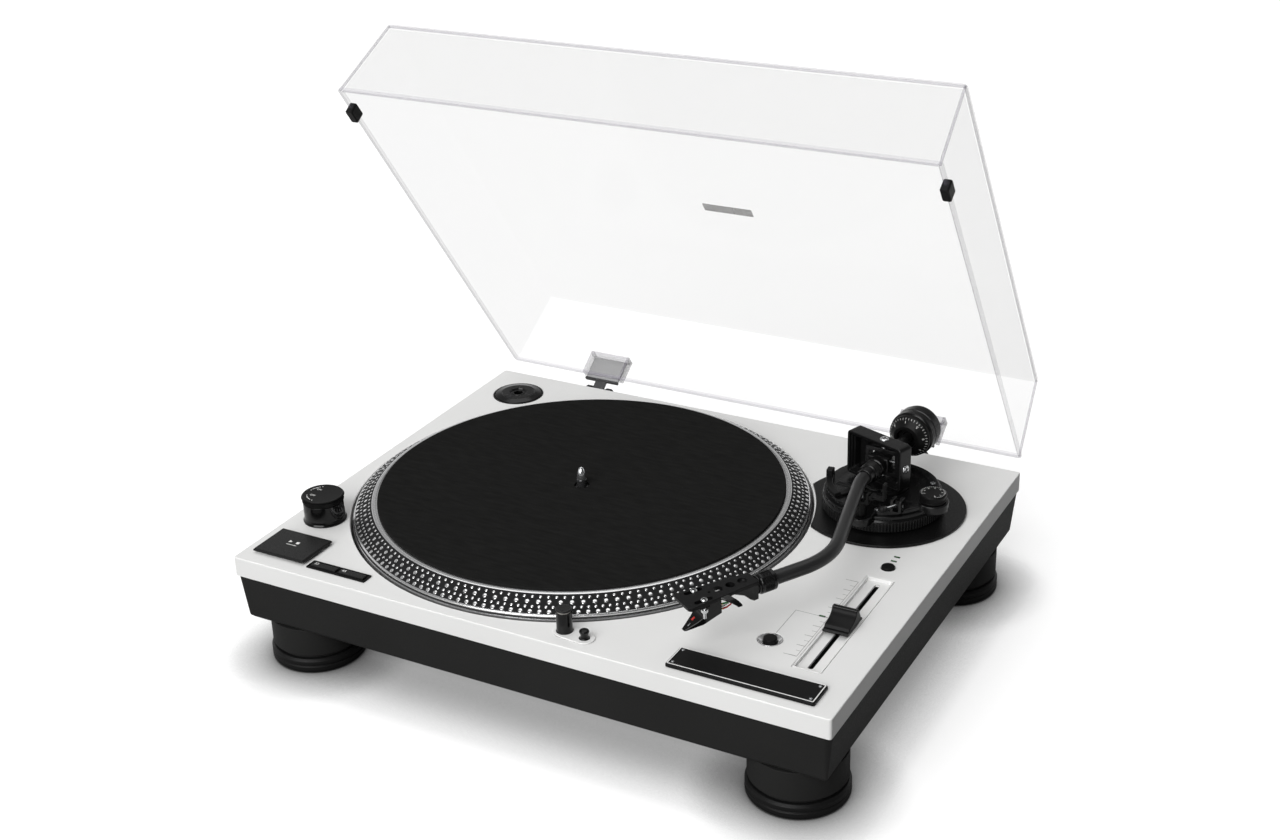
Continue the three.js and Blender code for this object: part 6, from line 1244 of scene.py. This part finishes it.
def finger_lift(shell):
    """A bowed strip from the shell's side: each station is sideways, height, front and back."""
    stations = [(7, 5.3, -32.4, -26.2), (9.5, 5.1, -32.0, -25.6), (12.0, 4.2, -29.6, -24.0),
                (14.0, 2.7, -27.0, -22.2), (15.4, 0.8, -24.6, -20.9), (15.9, -0.2, -23.7, -20.8)]
    loops = []
    for i, (x, z, front, back) in enumerate(stations):
        before, after = stations[max(0, i - 1)], stations[min(len(stations) - 1, i + 1)]
        along = Vector((after[0] - before[0], after[1] - before[1])).normalized()
        out = Vector((-along.y, along.x)) * 0.85
        ease = 0.5
        rim = ((front + ease, 1), (back - ease, 1), (back, 0.45), (back, -0.45), (back - ease, -1),
               (front + ease, -1), (front, -0.45), (front, 0.45))
        loops.append([(x + out.x * t, y, z + out.y * t) for y, t in rim])
    shell.skin(loops, GUNMETAL, HEAD)


def headshell():
    shell = Piece("headshell_plate")
    outline = cornered([
        (-6.4, -2.5, 0.5), (-10.7, -53.3, 1.4), (-8.7, -55.3, 1.4), (8.7, -55.3, 1.4), (10.7, -53.3, 1.4),
        (6.4, -2.5, 0.5),
    ], steps=5)
    shell.slab(outline, 3.8, 6.4, SHELL_BLACK, HEAD, ease=0.35, foot=0.3)
    openings = Piece("shell_openings")
    for side in (-1, 1):
        openings.slab(rounded(3.4, 13, 1.6, 6), 0, 9, GUNMETAL, HEAD @ at(side * 6.35, -42.9), ease=0.1)
    for y, radius, low in ((-35, 0.9, 0), (-28.5, 3.1, 0), (-19.7, 3.1, 0), (-10.9, 3.1, 4.6)):
        openings.plug(radius, low, 9, GUNMETAL, HEAD @ at(0, y), 36)
    shell.hole(openings)
    shell.made("arm_pitch", "black_alloy", "headshell")

    neck = Piece("headshell_neck")
    tail = cornered([(-2.5, 3.9, 0.2), (-25.5, 3.9, 0.2), (-20, 2.2, 3), (-13, -1, 3), (-8.7, -5.3, 2),
                     (-5.8, -7.3, 0.5), (-2.5, -7, 0.3)], steps=5)
    neck.pressed(tail, [(-0.4, -6.1), (0, -5.7), (0, 5.7), (-0.4, 6.1)], GUNMETAL, HEAD @ SIDE_ON)
    neck.turned([
        (0, 0), (6.2, 0, 0.3), (6.2, 1.3, 0.3), (5.4, 1.5), (5.4, 2.8), (0, 2.8),
    ], GUNMETAL, HEAD @ FORWARD, steps=48)
    finger_lift(neck)
    neck.made("arm_pitch", "black_alloy", "headshell")

    screws = Piece("cartridge_screws")
    for side in (-1, 1):
        place = HEAD @ at(side * 6.35, -42.4)
        cross_screw(screws, 2.2, 1.2, place @ at(0, 0, 6.4), BRIGHT_STEEL)
        screws.rod([(0, 0, -6.6), (0, 0, 6.5)], 1.2, BRIGHT_STEEL, place, steps=16)
        screws.turned([(1.2, -2.4), (2.2, -2.4, 0.2), (2.2, -0.2, 0.2), (1.2, -0.2)], BRIGHT_STEEL, place,
                      closed=True, steps=6)
    screws.made("arm_pitch", "steel")


def cartridge():
    body = Piece("cartridge_body")
    body.lofted([
        (-30, 6.2, -7.7, 3.4), (-36, 6.2, -9.5, 3.4), (-41.2, 6.2, -11.2, 3.4), (-41.8, 6.2, -11.4, 1.8),
        (-42.4, 6.1, -11.6, -4.6), (-43.4, 6.0, -11.9, -6.6), (-46.5, 4.8, -12.8, -9.2),
        (-50, 3.5, -13.9, -11.3), (-53.3, 2.2, -14.9, -13.3), (-54.8, 1.5, -14.6, -14.0),
    ], POLISHED, HEAD, ease=0.7)
    body.slab(rounded(18, 8, 1.2, 4), 1.9, 3.5, MOULDED, HEAD @ at(0, -42.9), ease=0.2, foot=0.2)
    front_face = HEAD @ at(0, -49.6, -11.02) @ tipped(31, "X")
    body.slab(rounded(1.6, 2.8, 0.2, 2), -0.2, 0.12, RED_PRINT, front_face @ at(-0.9, 3.4), ease=0.05)
    body.slab(rounded(0.9, 2.6, 0.2, 2), -0.2, 0.12, STEEL, front_face @ at(0.5, -1.2), ease=0.05)
    body.rod([(0, -51.4, -14.2), (0, -52.6, -15.2), (0, -52.7, -16)], [0.35, 0.35, 0.12], BRIGHT_STEEL, HEAD,
             steps=10)
    leads = ((RED_LEAD, 3.6, -6.3), (GREEN_LEAD, 3.6, -2.8), (BLUE_LEAD, -3.6, -2.8), (WHITE_LEAD, 1.2, -6.3))
    for finish, x, z in leads:
        body.rod([(x, -30.5, z), (x, -27, z)], 0.55, GOLD_PIN, HEAD, steps=10)
        low = -5.4 if z < -5 else -3.2
        body.rod([(x, -28, z), (x * 0.98, -25, z - 0.1), (x * 0.92, -21.6, low), (x * 0.8, -20.3, -2.4),
                  (x * 0.66, -21.2, 0.8), (x * 0.6, -23.5, 3.6)], [0.7, 0.55, 0.5, 0.5, 0.5, 0.5], finish,
                 HEAD, steps=10)
    body.made("arm_pitch", "dark_plastic", "cartridge")


def counterweight():
    ahead = ARM @ FORWARD
    sleeve = Piece("weight_thread_sleeve")
    sleeve.turned([
        (4.6, -38), (7.2, -38, 0.3), (7.2, -62.4), (9.2, -62.4, 0.3), (9.2, -64.5, 0.4), (4.6, -64.5, 0.3),
    ], MOULDED, ahead, closed=True)
    sleeve.made("weight_carrier", "dark_plastic", "weight_sleeve")
    weight = Piece("counterweight_drum")
    weight.turned([
        (7.6, -43.4), (15.8, -43.4, 0.3), (16.8, -44.4, 0.8), (16.8, -49.2, 0.1), (16.4, -49.5),
        (16.4, -50.1), (16.8, -50.4, 0.1), (16.8, -56.6, 0.4), (15.9, -57.3, 0.3), (15.8, -59.8, 0.8),
        (13.8, -62, 0.6), (11.4, -62, 0.2), (11, -61.2, 0.2), (7.6, -61.2, 0.3),
    ], GUNMETAL, ahead, closed=True, steps=96)
    weight.made("weight", "black_metal", "counterweight")
    dial = Piece("tracking_force_dial")
    dial.turned([(7.6, -35), (9.6, -35, 0.4), (10.2, -35.4, 0.3), (15.5, -40.0, 0.4), (15.7, -40.4, 0.2),
                 (15.7, -43.1, 0.2), (7.6, -43.1)], MOULDED, ahead, closed=True, steps=96)
    tick = block_item(1.5, 0.22, 0.05)
    lean = 90 - math.degrees(math.atan2(5.3, 4.6)) - 1.2
    ring_row(dial, tick, WHITE_PRINT, 40, 14.4, -39.05, ahead, lean=lean)
    rib = item(lambda p: p.slab(rounded(0.4, 0.7, 0.1, 1), 0, 2.3, WHITE_PRINT, ease=0.1))
    ring_row(dial, rib, MOULDED, 60, 15.6, -42.9, ahead)
    for step, digit in enumerate(("0", ".5", "1", ".5", "2", ".5", "3", ".5")):
        turn = ahead @ tipped(45 * step + 8, "Z") @ at(12.6, 0, -37.46)
        words(dial, digit, 2.5, WHITE_PRINT, turn @ tipped(lean, "Y") @ tipped(90, "Z"))
    dial.made("weight_scale", "dark_plastic", "weight_dial")


# ---------------------------------------------------------------- dust cover

LID_RIM = 12                           # height of the cover's open rim, from its hinge
LID_TOP = 78.6
LID_WALL = 3
LID_EASE = 1.6                         # how round the edges of its top are
LID_BAND = 14.4                        # how far up the rim's deeper tone goes


def lid_loop(inset, height, steps=6):
    """The cover's outline at one height, drawn inward by inset: the walls lean a little."""
    share = (height - LID_RIM) / (LID_TOP - LID_RIM)
    front, back = -358.05 + 5.48 * share + inset, -7.35 - 3.16 * share - inset
    half = 221.85 - 5.73 * share - inset
    r = max(0.1, LID_WALL - inset)
    corners = [(half - r, back - r, 0), (-half + r, back - r, 90), (-half + r, front + r, 180),
               (half - r, front + r, 270)]
    return [(x, y, height) for x, y in quarter_rounds(corners, r, steps)]


def dust_cover():
    """Clear shell: thin walls and top, with the deeper tone that acrylic shows along its edges, painted
    reflection on its walls, painted light and shade on its left and rear, and a painted highlight on its
    hinge pockets.
    """
    lid = Piece("clear_cover_shell")
    inside = LID_TOP - LID_WALL
    ease = [(LID_EASE * (1 - math.cos(math.radians(a))),
             LID_TOP - LID_EASE + LID_EASE * math.sin(math.radians(a))) for a in (0, 22.5, 45, 67.5, 90)]
    for finish, *levels in (
        (ACRYLIC_EDGE, (0.5, LID_RIM), (0, 12.5), (0, LID_BAND)),
        (ACRYLIC_WALL_REFLECTION, (0, LID_BAND), (0, ease[0][1])),
        (ACRYLIC_EDGE, *ease),
        (ACRYLIC, (LID_EASE, LID_TOP), (30, LID_TOP)),
        (ACRYLIC, (30, LID_TOP)),
        (ACRYLIC, (30, inside)),
        (ACRYLIC, (30, inside), (LID_WALL, inside)),
        (ACRYLIC_WALL_REFLECTION, (LID_WALL, inside), (LID_WALL, LID_BAND)),
        (ACRYLIC_EDGE, (LID_WALL, LID_BAND), (LID_WALL, 12.5), (2.5, LID_RIM), (0.5, LID_RIM)),
    ):
        lid.skin([lid_loop(inset, height) for inset, height in levels], finish, LID, ends=len(levels) == 1)
    edge, side, left = lid.paint(ACRYLIC_EDGE), lid.paint(ACRYLIC_WALL_REFLECTION), lid.paint(ACRYLIC_LEFT_SHADE_REAR_LIGHT)
    # Painted light and shade: faces on the left wall, and on the left and rear top edges, take the left and
    # rear copy.
    for face in lid.mesh.faces:
        middle = LID.inverted() @ face.calc_center_median()
        far_side = middle.x < -210
        top_edge = face.material_index == edge and middle.z > 76.9
        if (face.material_index == side and far_side) or (top_edge and (far_side or middle.y > -14)):
            face.material_index = left
    for x in (-HINGE_AT[0], HINGE_AT[0]):
        block = LID @ at(x, -4.65)
        # The pocket's front wall carries the painted highlight.
        lid.slab(rounded(36, 1.2, 0.4, 3), 13.5, 34, POCKET_HIGHLIGHT, block @ at(0, 3.7), ease=0.5)
        for side in (-1, 1):
            lid.slab(rounded(2.4, 8.6, 0.4, 3), 13.5, 34, ACRYLIC_EDGE, block @ at(side * 16.8, 0), ease=0.5)
        lid.slab(rounded(36, 8.6, 0.4, 3), 31.5, 34, ACRYLIC_EDGE, block, ease=0.5)
    lid.slab(rounded(40, 8.5, 0.8, 3), 78.58, 78.72, FROSTED, LID @ at(3, -179), ease=0.05)
    tops = [lid_loop(1.5, 77.1)[i] for i in (3, 17, 24)]
    feet = [lid_loop(1.5, 13)[i] for i in (3, 17, 24)]
    for top, foot_end in zip(tops, feet):
        lid.rod([foot_end, top], 1.0, ACRYLIC_EDGE, LID, steps=10)
    for first, second in ((0, 2), (1, 2)):
        lid.rod([tops[first], tops[second]], 1.0, ACRYLIC_EDGE, LID, steps=10)
    lid.made("cover", "clear", "dust_cover")
    for name, x in (("bumper_left", -220.35), ("bumper_right", 220.35)):
        stop = Piece(name + "_pad")
        stop.slab(rounded(6.0, 12, 1.4, 4), 8.3, 17, RUBBER, LID @ at(x, -332.05), ease=0.9, foot=0.6)
        stop.made("cover", "rubber", name)


def hinges():
    for side, x in (("left", -HINGE_AT[0]), ("right", HINGE_AT[0])):
        blade = Piece("hinge_leaf_" + side)
        place = LID @ at(x)
        blade.slab(rounded(30, 1.8, 0.4, 2), 10, 31, SATIN_PLATE, place @ at(0, -3.85), ease=0.4)
        blade.slab(rounded(30.6, 3.0, 0.4, 2), 9.6, 11.4, DARK_STEEL, place @ at(0, -3.85), ease=0.3,
                   foot=0.2)
        blade.slab(rounded(10, 1.8, 0.2, 2), 0, 10.2, DARK_STEEL, place @ at(0, -3.85), ease=0.1)
        blade.turned([(2.2, -6.1), (4.6, -6.1, 0.3), (4.6, 6.1, 0.3), (2.2, 6.1)], MOULDED, place @ SIDEWAYS,
                     closed=True, steps=36)
        blade.made("cover", "steel", "hinge_blade_" + side)
        base = Piece("hinge_bracket_" + side)
        foot_place = at(x, *HINGE_AT[1:])
        base.slab(rounded(23, 12, 1, 4), -26, -7.4, MOULDED, foot_place @ at(0, 0.6), ease=0.8, foot=0.6)
        ear = cornered([(-5.4, -9, 0.3), (6.6, -9, 0.3), (6.6, -2, 1.5), (5.2, 3, 2.5), (2.4, 5.4, 2),
                        (-2.4, 5.4, 2), (-5.0, 3, 2.2), (-5.4, -2, 1)], steps=4)
        upright = foot_place @ SIDE_ON
        for place_x in (-9, 9):
            base.pressed(ear, [(-0.5, place_x - 2.5), (0, place_x - 2.0), (0, place_x + 2.0),
                               (-0.5, place_x + 2.5)], MOULDED, upright)
        base.rod([(-11.3, 0, 0), (11.3, 0, 0)], 1.8, DARK_STEEL, foot_place, steps=24)
        cross_screw(base, 2.4, 0.7, foot_place @ at(0, 6.5, -19) @ tipped(-90, "X"), STEEL)
        base.made("chassis", "dark_plastic", "hinge_base_" + side)


# ---------------------------------------------------------------- back

SOCKETS_LOW = -32.4                    # height of the sockets' middle below the deck


def rear_wall(height):
    """Where a plate of this height rests on the leaning rear wall."""
    share = (-14.8 - SOCKETS_LOW - height / 2) / 32.5
    return 177 - 0.6 - 3.4 * share + 0.3


def back_sockets():
    place = at(185, rear_wall(20), SOCKETS_LOW) @ tipped(-90, "X")
    plate = Piece("phono_socket_plate")
    plate.slab(rounded(52, 20, 2.4, 5), 0, 2.4, STEEL, place, ease=0.4, foot=0.2)
    for x, collar in ((-16, WHITE_LEAD), (0, RED_LEAD)):
        plate.turned([(0, 2.3), (5.4, 2.3), (5.4, 3.0, 0.2), (4.4, 3.2)], collar, place @ at(x), steps=36)
        plate.turned([(4.4, 3.2), (4.2, 3.4), (4.2, 8, 0.3), (3.4, 8, 0.2), (3.4, 3.3), (0, 3.3)],
                     BRIGHT_STEEL, place @ at(x), steps=36)
        plate.turned([(1.5, 3), (2.9, 3), (2.9, 7.2, 0.3), (1.5, 7.2, 0.2)], WHITE_LEAD, place @ at(x),
                     closed=True, steps=28)
    plate.turned([
        (0, 2.3), (1.6, 2.3), (1.6, 3.2), (3.2, 3.4, 0.3), (3.2, 6.3, 0.5), (0, 6.3),
    ], BRIGHT_STEEL, place @ at(16), steps=28)
    rib = item(lambda p: p.slab(rounded(0.3, 0.4, 0.08, 1), 0, 2.4, WHITE_PRINT, ease=0.1))
    ring_row(plate, rib, BRIGHT_STEEL, 24, 3.2, 3.6, place @ at(16))
    for x in (-23, 23):
        cross_screw(plate, 1.7, 0.7, place @ at(x, -6.5, 2.3), STEEL)
    plate.made("chassis", "steel", "audio_terminals")

    inlet = Piece("mains_inlet")
    place = at(-178, rear_wall(22), SOCKETS_LOW) @ tipped(-90, "X")
    inlet.pressed(rounded(30, 22, 2, 5, 0.8), [
        (-2.1, -16), (-2.1, 0.1, 0.1), (0, 0.1, 0.2), (0, 2, 0.5), (-2.95, 2, 0.4), (-2.95, -12, 0.4),
        (-6, -12),
    ], MOULDED, place)
    for x in (-7, 0, 7):
        inlet.slab(rounded(2, 4, 0.3, 2), -13, -5, BRIGHT_STEEL, place @ at(x), ease=0.4)
    inlet.made("chassis", "dark_plastic", "power_inlet")


def inner_parts():
    """Solids that stay as they are get a finish of their own."""
    for node, finish in (
        ("bottom_cover", HOUSING), ("drive_board", BOARD), ("transformer", LAMINATION),
        ("rotor_magnet", FERRITE), ("stator", COPPER), ("spindle_bearing", STEEL),
    ):
        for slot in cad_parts[node].material_slots:
            slot.link = "OBJECT"
            slot.material = finish


# ---------------------------------------------------------------- floor, light and sky

def rays_that_see_white(tree):
    """One for the rays that show the backdrop itself: from the camera, through glass and off gloss."""
    rays = tree.nodes.new("ShaderNodeLightPath").outputs
    direct = calculated(tree, "MAXIMUM", rays["Is Camera Ray"], rays["Is Transmission Ray"])
    return direct, calculated(tree, "MAXIMUM", direct, rays["Is Glossy Ray"])


FLOOR_REACH = 4000
FLOOR_DEEP = 20
SHADE_REACH = 0.045                    # how near something has to be to darken the floor, in metres
SHADE_DEPTH = 2.3


def floor():
    """A pale floor that shows as white, with shade painted into its colour close to what stands on it, and
    darker in its shadow.
    """
    ground = Piece("floor")
    square = [(-FLOOR_REACH, -FLOOR_REACH), (FLOOR_REACH, -FLOOR_REACH), (FLOOR_REACH, FLOOR_REACH),
              (-FLOOR_REACH, FLOOR_REACH)]
    ground.skin([[(x, y, z) for x, y in square] for z in (0, -FLOOR_DEEP)], FELT, at(0, 0, FLOOR_Z - 0.05))
    thing = ground.plain()
    material = bpy.data.materials.new("pale_floor")
    material.use_nodes = True
    tree = material.node_tree
    tree.nodes.clear()
    direct, seen = rays_that_see_white(tree)
    # Painted shade: an occlusion node darkens the floor's colour and glow close to what stands on it.
    openness = wired(tree, "ShaderNodeAmbientOcclusion", {"Distance": SHADE_REACH}, samples=8)
    contact_shade = calculated(tree, "POWER", openness.outputs["AO"], SHADE_DEPTH)
    tone = calculated(tree, "MULTIPLY_ADD", direct, 0.07, calculated(tree, "MULTIPLY_ADD", seen, 0.4, 0.08))
    level = calculated(tree, "MULTIPLY_ADD", direct, 0.46, calculated(tree, "MULTIPLY", seen, 0.1))
    cover = wired(tree, "ShaderNodeBsdfDiffuse", {"Color": calculated(tree, "MULTIPLY", tone, contact_shade)})
    glow = wired(tree, "ShaderNodeEmission", {"Strength": calculated(tree, "MULTIPLY", level, contact_shade)})
    both = wired(tree, "ShaderNodeAddShader", {0: cover.outputs[0], 1: glow.outputs[0]})
    wired(tree, "ShaderNodeOutputMaterial", {"Surface": both.outputs[0]})
    thing.data.materials.clear()
    thing.data.materials.append(material)


def sky():
    """White where it is seen; as a light it comes from the left and the front, and its right is dark."""
    world = bpy.data.worlds.new("studio")
    bpy.context.scene.world = world
    world.use_nodes = True
    tree = world.node_tree
    tree.nodes.clear()
    direct, seen = rays_that_see_white(tree)
    facing = tree.nodes.new("ShaderNodeTexCoord").outputs["Generated"]

    def ramp(aim, low, high, dark, light):
        along = wired(tree, "ShaderNodeVectorMath", {0: facing, 1: aim}, operation="DOT_PRODUCT")
        inputs = {"Value": along.outputs["Value"], "From Min": low, "From Max": high, "To Min": dark,
                  "To Max": light}
        return wired(tree, "ShaderNodeMapRange", inputs).outputs["Result"]

    def background(colour, strength=1.0):
        return wired(tree, "ShaderNodeBackground", {"Color": colour, "Strength": strength}).outputs[0]

    def blend(factor, first, second):
        return wired(tree, "ShaderNodeMixShader", {"Fac": factor, 1: first, 2: second}).outputs[0]

    fill = background(ramp((-0.8, -0.6, 0), -0.3, 0.5, 0.0, 1.0), 0.75)
    shine = background(calculated(
        tree, "MULTIPLY", ramp((-0.65, 0.76, 0), -0.5, 0.4, 0.1, 1.0), ramp((0, 0, 1), 0.1, 0.45, 1.0, 0.25),
    ))
    shown = blend(direct, blend(seen, fill, shine), background((1, 1, 1, 1)))
    wired(tree, "ShaderNodeOutputWorld", {"Surface": shown})


def lamp(name, aim, softness, power):
    """An even light from far off; aim points at it from the object, softness is its spread in degrees."""
    light = bpy.data.lights.new(name, "SUN")
    light.angle = math.radians(softness)
    light.energy = power
    put(name, light).rotation_euler = Vector(aim).to_track_quat("Z", "Y").to_euler()


floor()
sky()
lamp("front_light", (-0.04, -0.8, 0.5), 50, 2.75)
lamp("top_light", (-0.15, 0.25, 0.95), 60, 0.9)
bpy.context.scene.view_settings.view_transform = "Standard"


# ---------------------------------------------------------------- the whole turntable

top_plate()
lower_housing()
for end, y in (("front", -FOOT_AT[1]), ("rear", FOOT_AT[1])):
    for side, x in (("left", -FOOT_AT[0]), ("right", FOOT_AT[0])):
        foot("foot_%s_%s" % (end, side), "%s_%s_foot" % (end, side), x, y)
for piece in (
    platter, strobe_dots, slipmat, spindle, deck_marks, power_tower, power_ring, start_key,
    speed_keys, target_lamp, round_keys, pitch_slider, name_plate, adapter_and_dish, arm_disc,
    height_ring, arm_casting, lock_lever, anti_skate, arm_rest, cue_lift, gimbal, arm_tube,
    lock_collar, headshell, cartridge, counterweight, dust_cover, hinges, back_sockets, inner_parts,
):
    piece()
